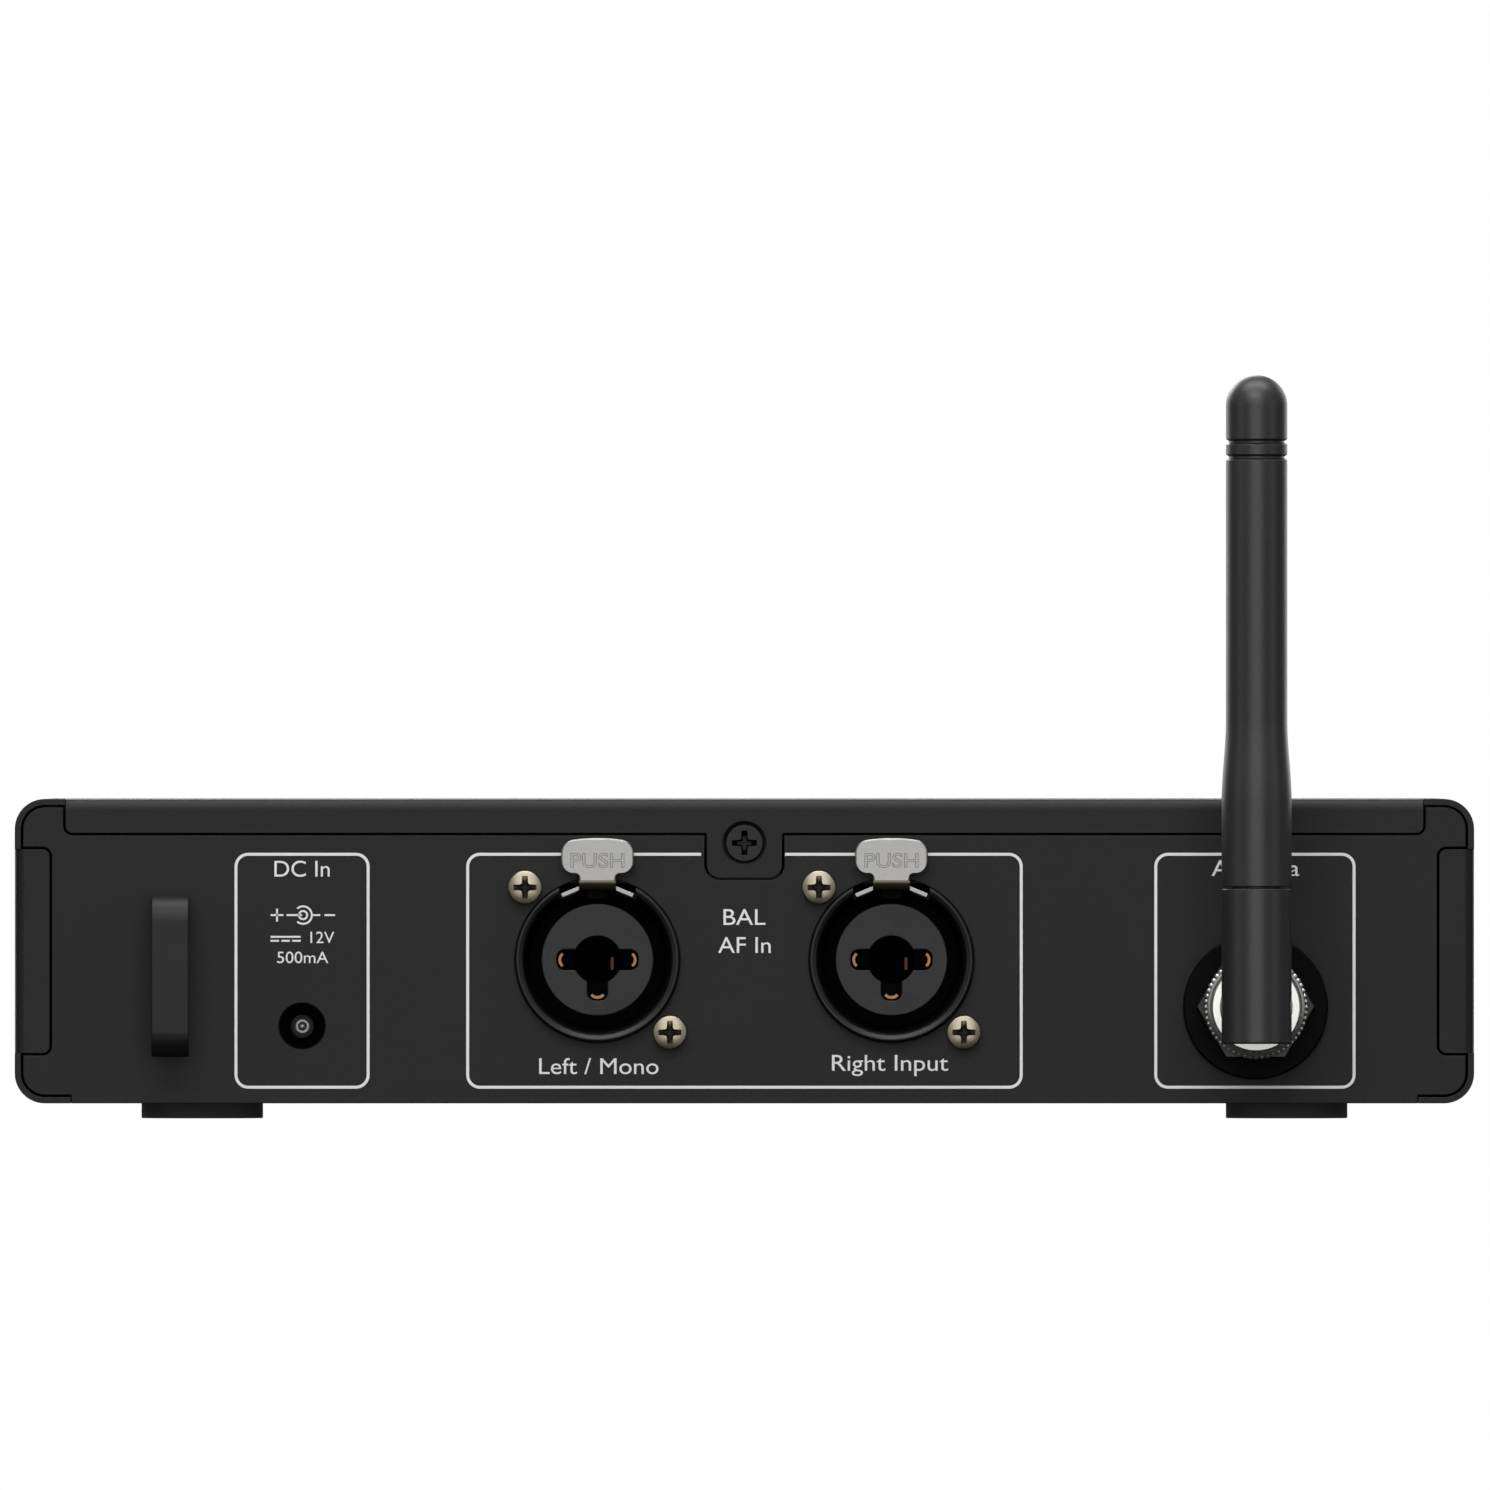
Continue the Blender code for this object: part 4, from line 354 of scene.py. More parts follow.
# Cured solder mask over etched copper: green, with the tracks just proud.
BOARD_GREEN = BoardMask("solder_mask", "#12402a", 0.4, relief=0.03)
# Extruded PVC of the coaxial lead: black, dull.
CABLE_PVC = Finish("cable_pvc", "#1d1d1d", 0.42, grain=0.5, relief=0.004)
# Extruded PVC of the flat cable: light grey, dull.
RIBBON_PVC = Finish("ribbon_pvc", "#b8b7b2", 0.45, grain=0.8, relief=0.004, speckle=0.05)
# Shrunk PET sleeve of the capacitor: dark blue, glossy.
SLEEVE_FILM = Finish("capacitor_sleeve", "#1c2140", 0.3, grain=0.6, relief=0.002)


# ---------------------------------------------------------------- outlines
def arc(centre: Pair, radius: float, start: float, end: float, steps: int) -> Outline:
    """Points along an arc, with its angles in degrees."""
    angles = (math.radians(start + (end - start) * i / steps) for i in range(steps + 1))
    return [(centre[0] + radius * math.cos(a), centre[1] + radius * math.sin(a)) for a in angles]


def circle(radius: float, centre: Pair = (0.0, 0.0), steps: int = 96) -> Outline:
    """Points round a circle, counter-clockwise."""
    return arc(centre, radius, 0, 360, steps)[:-1]


def rounded(corners: Corners, inset: float = 0.0, steps: int = 8, closed: bool = True) -> Outline:
    """Points along an outline given by its sharp corners.

    Args:
        corners: (u, v, radius) of each corner, counter-clockwise.
        inset: How far the outline moves inwards.
        steps: Straight pieces in each rounded corner.
        closed: Whether the last corner joins the first.

    Returns:
        The outline's points.
    """
    sharp = [Vector(corner[:2]) for corner in corners]
    points = []
    for i, corner in enumerate(corners):
        if not closed and i in (0, len(corners) - 1):
            points.append(tuple(sharp[i]))
            continue
        arriving = (sharp[i] - sharp[i - 1]).normalized()
        leaving = (sharp[(i + 1) % len(sharp)] - sharp[i]).normalized()
        normal_in, normal_out = Vector((-arriving.y, arriving.x)), Vector((-leaving.y, leaving.x))
        moved = sharp[i] + (normal_in + normal_out) * (inset / (1 + normal_in.dot(normal_out)))
        turn = -arriving.angle_signed(leaving)
        radius = corner[2] - inset if turn > 0 else corner[2] + inset
        if corner[2] <= 0 or radius <= 0:
            points.append(tuple(moved))
            continue
        start = moved - arriving * (radius * math.tan(abs(turn) / 2))
        centre = start + normal_in * math.copysign(radius, turn)
        spoke = start - centre
        for step in range(steps + 1):
            points.append(tuple(centre + Matrix.Rotation(turn * step / steps, 2) @ spoke))
    return points


def rectangle(width: float, height: float, radius: float = 0.0, centre: Pair = (0.0, 0.0)) -> Corners:
    """Corners of a rectangle, counter-clockwise."""
    signs = ((-1, -1), (1, -1), (1, 1), (-1, 1))
    return [(centre[0] + a * width / 2, centre[1] + b * height / 2, radius) for a, b in signs]


def mirrored(corners: Corners) -> Corners:
    """The corners of the +u half, followed by their mirror image across u = 0."""
    return corners + [(-u, v, radius) for u, v, radius in reversed(corners)]


def shifted(outline: Outline, u: float, v: float) -> Outline:
    """The outline moved across its plane."""
    return [(a + u, b + v) for a, b in outline]


def strip(path: Outline, thickness: float) -> Outline:
    """Closed outline of a strip of constant thickness that follows an open path."""
    points = [Vector(p) for p in path]
    left, right = [], []
    for i, point in enumerate(points):
        before = (point - points[i - 1]).normalized() if i else None
        after = (points[i + 1] - point).normalized() if i + 1 < len(points) else None
        first, second = before or after, after or before
        normal = Vector((-first.y - second.y, first.x + second.x)).normalized()
        reach = thickness / 2 / normal.dot(Vector((-first.y, first.x)))
        left.append(tuple(point + normal * reach))
        right.append(tuple(point - normal * reach))
    return right + left[::-1]


# ---------------------------------------------------------------- solids
class Solid:
    """One or more closed shells under construction, in millimetres."""

    def __init__(self) -> None:
        """Starts empty."""
        self.bm = bmesh.new()

    def prism(self, outline: Outline, low: float, high: float, axis: Axis, taper: float = 1.0) -> "Solid":
        """Adds a straight solid on an outline, whose low end is taper times as large as its high end."""
        mid_u = sum(p[0] for p in outline) / len(outline)
        mid_v = sum(p[1] for p in outline) / len(outline)
        small = [(mid_u + (u - mid_u) * taper, mid_v + (v - mid_v) * taper) for u, v in outline]
        levels = ((small, low), (outline, high))
        ends = [[self.bm.verts.new(axis.place(u, v, w)) for u, v in loop] for loop, w in levels]
        faces = [self.bm.faces.new(ends[0]), self.bm.faces.new(ends[1])]
        count = len(outline)
        for i in range(count):
            after = (i + 1) % count
            faces.append(self.bm.faces.new((ends[0][i], ends[0][after], ends[1][after], ends[1][i])))
        bmesh.ops.recalc_face_normals(self.bm, faces=faces)
        return self

    def lathe(self, profile: Outline, axis: Axis, centre: Pair = (0.0, 0.0), steps: int = 96) -> "Solid":
        """Adds a solid turned about an axis.

        Args:
            profile: (radius, distance along the axis) points. It closes on the axis or is a ring.
            axis: The axis it turns about.
            centre: Where that axis stands.
            steps: Straight pieces round it.

        Returns:
            This solid.
        """
        rings = []
        for radius, along in profile:
            spots = [centre] if radius <= WELD else circle(radius, centre, steps)
            rings.append([self.bm.verts.new(axis.place(u, v, along)) for u, v in spots])
        is_ring = profile[0][0] > WELD
        following = rings[1:] + rings[:1] if is_ring else rings[1:]
        faces = []
        for first, second in zip(rings, following):
            for i in range(steps):
                quad = [first[i % len(first)], first[(i + 1) % len(first)]]
                quad += [second[(i + 1) % len(second)], second[i % len(second)]]
                corners = list(dict.fromkeys(quad))
                if len(corners) > 2:
                    faces.append(self.bm.faces.new(corners))
        bmesh.ops.recalc_face_normals(self.bm, faces=faces)
        return self

    def plate(
        self,
        outline: Outline,
        low: float,
        high: float,
        axis: Axis,
        holes: tuple[Outline, ...] = (),
        edge: float = 0.12,
        steps: int = 2,
    ) -> "Solid":
        """Adds a plate with holes and rounded edges, drawn as a filled curve.

        Args:
            outline: The plate's outline.
            low: Its lower face along the axis.
            high: Its upper face along the axis.
            axis: The axis across its thickness.
            holes: Outlines of its holes.
            edge: Radius of its rounded edges.
            steps: How finely the edges are rounded.

        Returns:
            This solid.
        """
        curve = bpy.data.curves.new("plate", "CURVE")
        curve.dimensions = "2D"
        curve.fill_mode = "BOTH"
        curve.extrude = (high - low) / 2 - edge
        curve.bevel_depth = edge
        curve.bevel_resolution = steps
        curve.offset = -edge
        for loop in (outline, *holes):
            spline = curve.splines.new("POLY")
            spline.points.add(len(loop) - 1)
            for point, (u, v) in zip(spline.points, loop):
                point.co = (u, v, 0, 1)
            spline.use_cyclic_u = True
        rows = [axis.place(1, 0, 0), axis.place(0, 1, 0), axis.place(0, 0, 1)]
        turned = Matrix(rows).transposed().to_4x4()
        turned.translation = axis.place(0, 0, (low + high) / 2)
        return self.take(curve, turned)

    def text(
        self,
        words: str,
        height: float,
        matrix: Matrix,
        depth: float = PRINT_THICKNESS,
        weight: float = 0.0,
        width: float = 0.0,
        slope: float = 0.0,
    ) -> "Solid":
        """Adds lettering.

        Args:
            words: What it says.
            height: Height of its capitals.
            matrix: Turns it onto its panel.
            depth: How thick it is, half of it on each side of the matrix's plane.
            weight: How much the strokes are thickened.
            width: Width that it is stretched to, or 0 for its natural width.
            slope: How far its sides slope inwards on each side of that plane.

        Returns:
            This solid.
        """
        curve = bpy.data.curves.new("text", "FONT")
        curve.body = words
        curve.size = height / CAPITALS
        curve.align_x = "CENTER"
        curve.align_y = "BOTTOM_BASELINE"
        curve.extrude = depth / 2
        curve.offset = weight
        curve.bevel_depth = slope
        curve.bevel_resolution = 1
        curve.resolution_u = 6
        return self.take(curve, matrix, width)

    def take(self, curve: bpy.types.Curve, matrix: Matrix, width: float = 0.0) -> "Solid":
        """Adds a curve or a text as a closed mesh, stretched to a width and placed by a matrix."""
        holder = bpy.data.objects.new("holder", curve)
        bpy.context.scene.collection.objects.link(holder)
        graph = bpy.context.evaluated_depsgraph_get()
        mesh = bpy.data.meshes.new_from_object(holder.evaluated_get(graph), depsgraph=graph)
        bpy.data.objects.remove(holder)
        bpy.data.curves.remove(curve)
        if width:
            across = [vertex.co.x for vertex in mesh.vertices]
            stretch = width / (max(across) - min(across))
            centred = Matrix.Translation((-(max(across) + min(across)) / 2, 0, 0))
            mesh.transform(Matrix.Diagonal((stretch, 1, 1, 1)) @ centred)
        mesh.transform(matrix)
        other = bmesh.new()
        other.from_mesh(mesh)
        bmesh.ops.remove_doubles(other, verts=other.verts, dist=WELD)
        bmesh.ops.recalc_face_normals(other, faces=other.faces)
        other.to_mesh(mesh)
        other.free()
        self.bm.from_mesh(mesh)
        bpy.data.meshes.remove(mesh)
        return self

    def shell(self, faces: list[list[Vector]]) -> "Solid":
        """Adds faces given by their corners, and welds them into one sheet."""
        for corners in faces:
            self.bm.faces.new([self.bm.verts.new(c) for c in corners])
        bmesh.ops.remove_doubles(self.bm, verts=self.bm.verts, dist=WELD)
        bmesh.ops.recalc_face_normals(self.bm, faces=self.bm.faces)
        return self

    def tube(self, path: list[Vector], radius: float, sides: int = 16) -> "Solid":
        """Adds a round tube with closed ends along a path."""
        rings = []
        for i, point in enumerate(path):
            ahead = path[min(i + 1, len(path) - 1)] - path[max(i - 1, 0)]
            turn = ahead.to_track_quat("Z", "X")
            around = [turn @ Vector((u, v, 0)) for u, v in circle(radius, steps=sides)]
            rings.append([self.bm.verts.new(point + spoke) for spoke in around])
        faces = [self.bm.faces.new(rings[0]), self.bm.faces.new(rings[-1])]
        for first, second in zip(rings, rings[1:]):
            for i in range(sides):
                after = (i + 1) % sides
                faces.append(self.bm.faces.new((first[i], first[after], second[after], second[i])))
        bmesh.ops.recalc_face_normals(self.bm, faces=faces)
        return self

    def object(self, name: str) -> bpy.types.Object:
        """Makes an object of what was drawn, still in millimetres."""
        mesh = bpy.data.meshes.new(name)
        self.bm.to_mesh(mesh)
        self.bm.free()
        obj = bpy.data.objects.new(name, mesh)
        bpy.context.scene.collection.objects.link(obj)
        return obj


def baked(obj: bpy.types.Object) -> bpy.types.Object:
    """Replaces an object's mesh by what its modifiers make of it, and removes them."""
    graph = bpy.context.evaluated_depsgraph_get()
    mesh = bpy.data.meshes.new_from_object(obj.evaluated_get(graph), depsgraph=graph)
    obj.modifiers.clear()
    obj.data = mesh
    return obj


def cut_away(obj: bpy.types.Object, helpers: list[bpy.types.Object]) -> None:
    """Sets up an exact cut for each helper object."""
    for helper in helpers:
        boolean = obj.modifiers.new("cut", "BOOLEAN")
        boolean.operation = "DIFFERENCE"
        boolean.solver = "EXACT"
        boolean.object = helper


def round_edges(obj: bpy.types.Object, radius: float, segments: int) -> None:
    """Sets up the rounding of the sharp edges."""
    rounding = obj.modifiers.new("rounding", "BEVEL")
    rounding.width = radius
    rounding.segments = segments
    rounding.limit_method = "ANGLE"
    rounding.angle_limit = EDGE_ANGLE


@dataclass(frozen=True)
class Listing:
    """How a piece is published: the body it rides on and the nodes it stands for; it also carries a slot
    name, which nothing here reads.
    """

    name: str
    finish: Finish
    slot: str
    body: str = "case"
    nodes: tuple[str, ...] = ()


def publish(
    listing: Listing,
    shape: Solid | bpy.types.Object,
    cutters: tuple[Solid, ...] = (),
    bevel: float = 0.0,
    wall: float = 0.0,
) -> bpy.types.Object:
    """Finishes a piece's mesh, gives it its material and puts it on its body.

    Args:
        listing: Its name, finish, slot, body and the nodes that it stands for.
        shape: The solid, or an object whose mesh is in millimetres.
        cutters: Solids that are cut away from it.
        bevel: Radius of the rounding of its sharp edges, or 0.
        wall: Thickness given to an open sheet, inwards, or 0.

    Returns:
        The piece.
    """
    obj = shape.object(listing.name) if isinstance(shape, Solid) else shape
    obj.name = listing.name
    if wall:
        solidify = obj.modifiers.new("wall", "SOLIDIFY")
        solidify.thickness = wall
        solidify.offset = -1
        solidify.use_even_offset = True
    helpers = [cutter.object(f"{listing.name}.cutter") for cutter in cutters]
    cut_away(obj, helpers)
    if bevel:
        round_edges(obj, bevel, 3)
    baked(obj)
    for helper in helpers:
        bpy.data.objects.remove(helper)
    obj.data.shade_smooth()
    obj.data.set_sharp_from_angle(angle=SMOOTH_ANGLE)
    weighted = obj.modifiers.new("normals", "WEIGHTED_NORMAL")
    weighted.keep_sharp = True
    weighted.weight = 100
    baked(obj)
    obj.data.transform(Matrix.Scale(TO_METRES, 4))
    obj.data.materials.clear()
    obj.data.materials.append(listing.finish.material())
    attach(obj, listing.body)
    if listing.nodes:
        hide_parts(*listing.nodes)
    LOG.info("%s on %s: %d faces", listing.name, listing.body, len(obj.data.polygons))
    return obj


def dress(node: str, finish: Finish) -> None:
    """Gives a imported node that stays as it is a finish."""
    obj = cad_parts[node]
    obj.data.materials.clear()
    obj.data.materials.append(finish.material())
    LOG.info("%s keeps its shape", node)


def span(node: str) -> tuple[Vector, Vector]:
    """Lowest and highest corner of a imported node, in millimetres."""
    low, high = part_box(node)
    return low / TO_METRES, high / TO_METRES


def middle(node: str) -> Vector:
    """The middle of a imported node, in millimetres."""
    low, high = span(node)
    return (low + high) / 2


# ---------------------------------------------------------------- what repeats, as geometry nodes
def new_tree(name: str, inputs: dict[str, str]) -> tuple[Tree, dict[str, Socket]]:
    """Starts a geometry tree with a source, a material and other named inputs.

    Args:
        name: The tree's name.
        inputs: Name of each input, to its socket type.

    Returns:
        The tree, and the sockets that its inputs arrive at.
    """
    inputs = {**inputs, "Source": "NodeSocketObject", "Material": "NodeSocketMaterial"}
    tree = bpy.data.node_groups.new(name, "GeometryNodeTree")
    tree.interface.new_socket("Geometry", in_out="INPUT", socket_type="NodeSocketGeometry")
    for label, kind in inputs.items():
        tree.interface.new_socket(label, in_out="INPUT", socket_type=kind)
    tree.interface.new_socket("Geometry", in_out="OUTPUT", socket_type="NodeSocketGeometry")
    return tree, add_node(tree, "NodeGroupInput").outputs


def place_copies(tree: Tree, given: dict[str, Socket], points: Socket, turn: Socket | Triple) -> Tree:
    """Ends a geometry tree with real copies of its source on points, in its material.

    Args:
        tree: The tree.
        given: The sockets that its inputs arrive at.
        points: Where the copies go.
        turn: How each is turned.

    Returns:
        The tree.
    """
    source = add_node(tree, "GeometryNodeObjectInfo", {"Object": given["Source"]}).outputs["Geometry"]
    inputs = {"Points": points, "Instance": source, "Rotation": turn}
    placed = add_node(tree, "GeometryNodeInstanceOnPoints", inputs).outputs[0]
    realised = add_node(tree, "GeometryNodeRealizeInstances", {0: placed}).outputs[0]
    inputs = {"Geometry": realised, "Material": given["Material"]}
    painted = add_node(tree, "GeometryNodeSetMaterial", inputs).outputs[0]
    add_node(tree, "NodeGroupOutput", {0: painted})
    return tree


def copies_tree() -> Tree:
    """Puts a copy of a source on each point."""
    tree, given = new_tree("copies_on_points", {})
    return place_copies(tree, given, given["Geometry"], (0.0, 0.0, 0.0))


def ring_tree() -> Tree:
    """Sets copies of a source round a circle about Z, each facing outwards."""
    tree, given = new_tree("ring_of_copies", {"Count": "NodeSocketInt", "Radius": "NodeSocketFloat"})
    inputs = {"Vertices": given["Count"], "Radius": given["Radius"]}
    circle_points = add_node(tree, "GeometryNodeMeshCircle", inputs).outputs[0]
    index = add_node(tree, "GeometryNodeInputIndex").outputs[0]
    step = add_node(tree, "ShaderNodeMath", {0: math.tau, 1: given["Count"]}, operation="DIVIDE").outputs[0]
    angle = add_node(tree, "ShaderNodeMath", {0: index, 1: step}, operation="MULTIPLY").outputs[0]
    turn = add_node(tree, "ShaderNodeCombineXYZ", {"Z": angle}).outputs[0]
    return place_copies(tree, given, circle_points, turn)


def grown(tree: Tree, carrier: bpy.types.Object, values: dict) -> bpy.types.Object:
    """Runs a geometry tree on a carrier object and keeps the result as a plain mesh.

    Args:
        tree: The geometry tree.
        carrier: The object that it runs on.
        values: Name of each input, to its value.

    Returns:
        The carrier, with the result as its mesh.
    """
    modifier = carrier.modifiers.new(tree.name, "NODES")
    modifier.node_group = tree
    for item in tree.interface.items_tree:
        if item.in_out == "INPUT" and item.name in values:
            modifier[item.identifier] = values[item.name]
    return baked(carrier)


def copies(source: Solid, places: list[Vector], finish: Finish) -> bpy.types.Object:
    """Copies of one shape at several places, as one object in millimetres.

    Args:
        source: The shape, drawn about the origin.
        places: Where the copies go.
        finish: Their finish.

    Returns:
        The object.
    """
    pattern = source.object("pattern")
    mesh = bpy.data.meshes.new("places")
    mesh.from_pydata([tuple(p) for p in places], [], [])
    carrier = bpy.data.objects.new("places", mesh)
    bpy.context.scene.collection.objects.link(carrier)
    grown(COPIES, carrier, {"Source": pattern, "Material": finish.material()})
    bpy.data.objects.remove(pattern)
    return carrier


def ring(source: Solid, count: int, radius: float, finish: Finish, matrix: Matrix) -> bpy.types.Object:
    """Copies of one shape round a circle, as one object placed by a matrix."""
    pattern = source.object("pattern")
    carrier = Solid().object("ring")
    values = {"Count": count, "Radius": radius, "Source": pattern, "Material": finish.material()}
    grown(RINGS, carrier, values)
    carrier.data.transform(matrix)
    bpy.data.objects.remove(pattern)
    return carrier


COPIES = copies_tree()
RINGS = ring_tree()
ABOUT_Y = Matrix.Rotation(math.radians(-90), 4, "X")


# ---------------------------------------------------------------- case
@dataclass
class Cover:
    """The folded steel cover: a sleeve whose rear edges turn in as flanges, with a screw tab."""

    sheet: float = 0.9
    corner: float = 4.3
    bend: float = 1.5
    lip: float = 8.0
    lip_seam: float = 0.24
    top_flange: float = 4.9
    top_end: float = 7.25
    side_flange: float = 5.0
    side_foot: float = 7.15
    side_head: float = 7.2
    flange_corner: float = 1.0
    tab_width: float = 10.8
    tab_drop: float = 11.3
    tab_corner: float = 1.9
    bend_steps: int = 6

    def __post_init__(self) -> None:
        """Reads the cover's place from the frame."""
        self.low, self.high = span("top_cover")

    def opening(self, bottom: float) -> list[tuple]:
        """Corners of the opening that the sleeve and the flanges leave, down to the given height."""
        half, floor, top = self.high.x, self.low.z, self.high.z
        inner, side, corner = half - self.sheet, half - self.side_flange, self.corner - self.sheet
        return mirrored(
            [
                (half - self.lip + self.lip_seam, bottom, 0),
                (half - self.lip + self.lip_seam, floor + self.sheet, 0),
                (inner, floor + self.sheet, corner),
                (inner, floor + self.side_foot, 0.4),
                (side, floor + self.side_foot, self.flange_corner),
                (side, top - self.side_head, self.flange_corner),
                (inner, top - self.side_head, 0.4),
                (inner, top - self.sheet, corner),
                (half - self.top_end, top - self.sheet, 0.4),
                (half - self.top_end, top - self.top_flange, self.flange_corner),
                (self.tab_width / 2, top - self.top_flange, 0.3),
                (self.tab_width / 2, top - self.tab_drop, self.tab_corner),
            ]
        )

    def section(self) -> Outline:
        """Points round the sleeve's outside, from the lip at +X to the lip at -X."""
        half, floor, top, r = self.high.x, self.low.z, self.high.z, self.corner
        points = [(half - self.lip, floor), *arc((half - r, floor + r), r, -90, 0, 12)]
        points += [(half, floor + self.side_foot), (half, top - self.side_head)]
        points += [*arc((half - r, top - r), r, 0, 90, 12), (half - self.top_end, top)]
        return points + [(-u, v) for u, v in reversed(points)]

    def is_folded(self, first: Pair, second: Pair) -> bool:
        """Whether the stretch between two section points carries a flange."""
        half, floor, top = self.high.x, self.low.z, self.high.z
        u, v = (first[0] + second[0]) / 2, (first[1] + second[1]) / 2
        on_side = abs(abs(u) - half) < WELD and floor + self.side_foot < v < top - self.side_head
        return on_side or (abs(v - top) < WELD and abs(u) < half - self.top_end)

    def rows(self, first: Pair, second: Pair) -> list[tuple[Vector, float]]:
        """How the stretch between two section points runs from front to rear.

        Args:
            first: The section point that it starts at.
            second: The next one.

        Returns:
            How far it has moved across, and how far back it is, at each row.
        """
        still = Vector((0, 0))
        fold = self.high.y - self.bend
        made = [(still, self.low.y), (still, fold)]
        if not self.is_folded(first, second):
            return [*made, (still, self.high.y)]
        upright = abs(first[0] - second[0]) < WELD
        outwards = Vector((math.copysign(1, first[0]), 0)) if upright else Vector((0, 1))
        for step in range(1, self.bend_steps + 1):
            angle = math.radians(90 * step / self.bend_steps)
            inward = self.bend * (1 - math.cos(angle))
            made.append((outwards * -inward, fold + self.bend * math.sin(angle)))
        return made

    def faces(self) -> list[list[Vector]]:
        """The outer face of the sheet: sleeve, bends and flanges."""
        section = self.section()
        made = []
        for p, q in zip(section, section[1:]):
            rows = self.rows(p, q)
            for (a, near), (b, far) in zip(rows, rows[1:]):
                ends = ((p, a, near), (q, a, near), (q, b, far), (p, b, far))
                made.append([Vector((point[0] + move.x, y, point[1] + move.y)) for point, move, y in ends])
        return made + self.flanges()

    def flanges(self) -> list[list[Vector]]:
        """The flat flanges beyond the bends."""
        half, floor, top, rear = self.high.x, self.low.z, self.high.z, self.high.y
        end, tab = half - self.top_end, self.tab_width / 2
        upper = mirrored(
            [
                (tab, top - self.tab_drop, self.tab_corner),
                (tab, top - self.top_flange, 0.3),
                (end, top - self.top_flange, self.flange_corner),
                (end, top - self.bend, 0),
            ]
        )
        side = half - self.side_flange
        right = [
            (side, floor + self.side_foot, self.flange_corner),
            (half - self.bend, floor + self.side_foot, 0),
            (half - self.bend, top - self.side_head, 0),
            (side, top - self.side_head, self.flange_corner),
        ]
        left = [(-u, v, r) for u, v, r in reversed(right)]
        return [[Vector((u, rear, v)) for u, v in rounded(corners)] for corners in (upper, right, left)]

    def build(self) -> None:
        """Makes the cover with its countersunk recess, and the black screw in it."""
        sheet = Solid().shell(self.faces())
        screw = middle("cover_screw")
        head = (span("cover_screw")[1].x - span("cover_screw")[0].x) / 2
        rear = self.high.y
        recess = [(0, rear + 2), (head + 0.45, rear + 2)]
        recess += [(head + 0.45, rear + 0.02), (head + 0.3, rear - 0.15)]
        recess += [(head - 1.0, rear - 1.3), (head - 1.0, rear - 3), (0, rear - 3)]
        cutter = Solid().lathe(recess, Axis.Y, (screw.x, screw.z), 64)
        listing = Listing("top_cover_sheet", COVER_PAINT, "cover_paint", nodes=("top_cover",))
        publish(listing, sheet, (cutter,), bevel=0.1, wall=self.sheet)
        CrossScrew(head_radius=head, seat=rear).build_cover_screw((screw.x, screw.z))


@dataclass
class Tray:
    """The chassis: one sheet folded into a floor with side walls and the rear panel."""

    thickness: float = 1.5
    sheet: float = 0.9
    hole_margin: float = 0.08
    socket_hole: float = 5.05
    inlet_hole: float = 3.35
    edge: float = 0.14
    wall_inset: float = 5.7
    wall_height: float = 10.8
    floor_inset: float = 0.2
    bracket: Pair = (10.3, 12.2)
    bracket_drop: float = 7.6
    bracket_behind: Pair = (2.7, 1.2)
    post_radius: float = 3.2
    post_inset: float = 6.0

    def build(self, cover: Cover) -> None:
        """Makes the rear panel with its holes, then the floor, the bracket and the standoffs."""
        low, high = span("chassis_tray")
        rear = high.y
        corners = cover.opening(low.z - GAP)
        around_jack = ComboJack.nose + self.hole_margin
        holes = [circle(around_jack, self.spot(f"jack_{side}_insert"), 128) for side in ("left", "right")]
        holes.append(circle(self.socket_hole, self.spot("bnc_socket"), 64))
        holes.append(circle(self.inlet_hole, self.spot("dc_pin"), 64))
        outline = rounded(corners, GAP)
        panel = Solid().plate(outline, rear - self.thickness, rear, Axis.Y, tuple(holes), self.edge)
        publish(Listing("rear_panel", PANEL_PAINT, "panel_paint", nodes=("chassis_tray",)), panel)
        self.build_floor(cover, low, rear)

    def spot(self, node: str) -> Pair:
        """Middle of a node across the panel."""
        centre = middle(node)
        return (centre.x, centre.z)

    def build_floor(self, cover: Cover, low: Vector, rear: float) -> None:
        """Makes the floor with its side walls, the screw bracket and the board's standoffs."""
        lip = cover.high.x - cover.lip - 2 * GAP
        wall = cover.high.x - self.wall_inset
        raised = low.z + self.sheet + 2 * GAP
        top = raised + self.wall_height
        path = [(-wall, top, 0), (-wall, raised, 0.8), (-lip, raised, 0.5), (-lip, low.z, 0.8)]
        path += [(-u, v, r) for u, v, r in reversed(path)]
        middle_line = rounded(path, self.sheet / 2, 4, closed=False)
        middle_line[0] = (middle_line[0][0] + self.sheet / 2, top)
        middle_line[-1] = (middle_line[-1][0] - self.sheet / 2, top)
        sheet = strip(middle_line, self.sheet)
        floor = Solid().plate(sheet, cover.low.y, rear - self.floor_inset, Axis.Y, edge=0.08, steps=1)
        bracket = rounded(rectangle(*self.bracket, 0.4, (0, cover.high.z - self.bracket_drop)))
        back, front = (rear - behind for behind in self.bracket_behind)
        floor.plate(bracket, back, front, Axis.Y, edge=0.1)
        near, far = span("main_board")
        foot, head, r = low.z + 0.5, near.z - GAP, self.post_radius
        for x in (near.x + self.post_inset, far.x - self.post_inset):
            for y in (near.y + self.post_inset, far.y - self.post_inset):
                floor.lathe([(0, foot), (r, foot), (r, head), (0, head)], Axis.Z, (x, y), 32)
        publish(Listing("tray_floor", PANEL_PAINT, "panel_paint", nodes=("chassis_tray",)), floor)


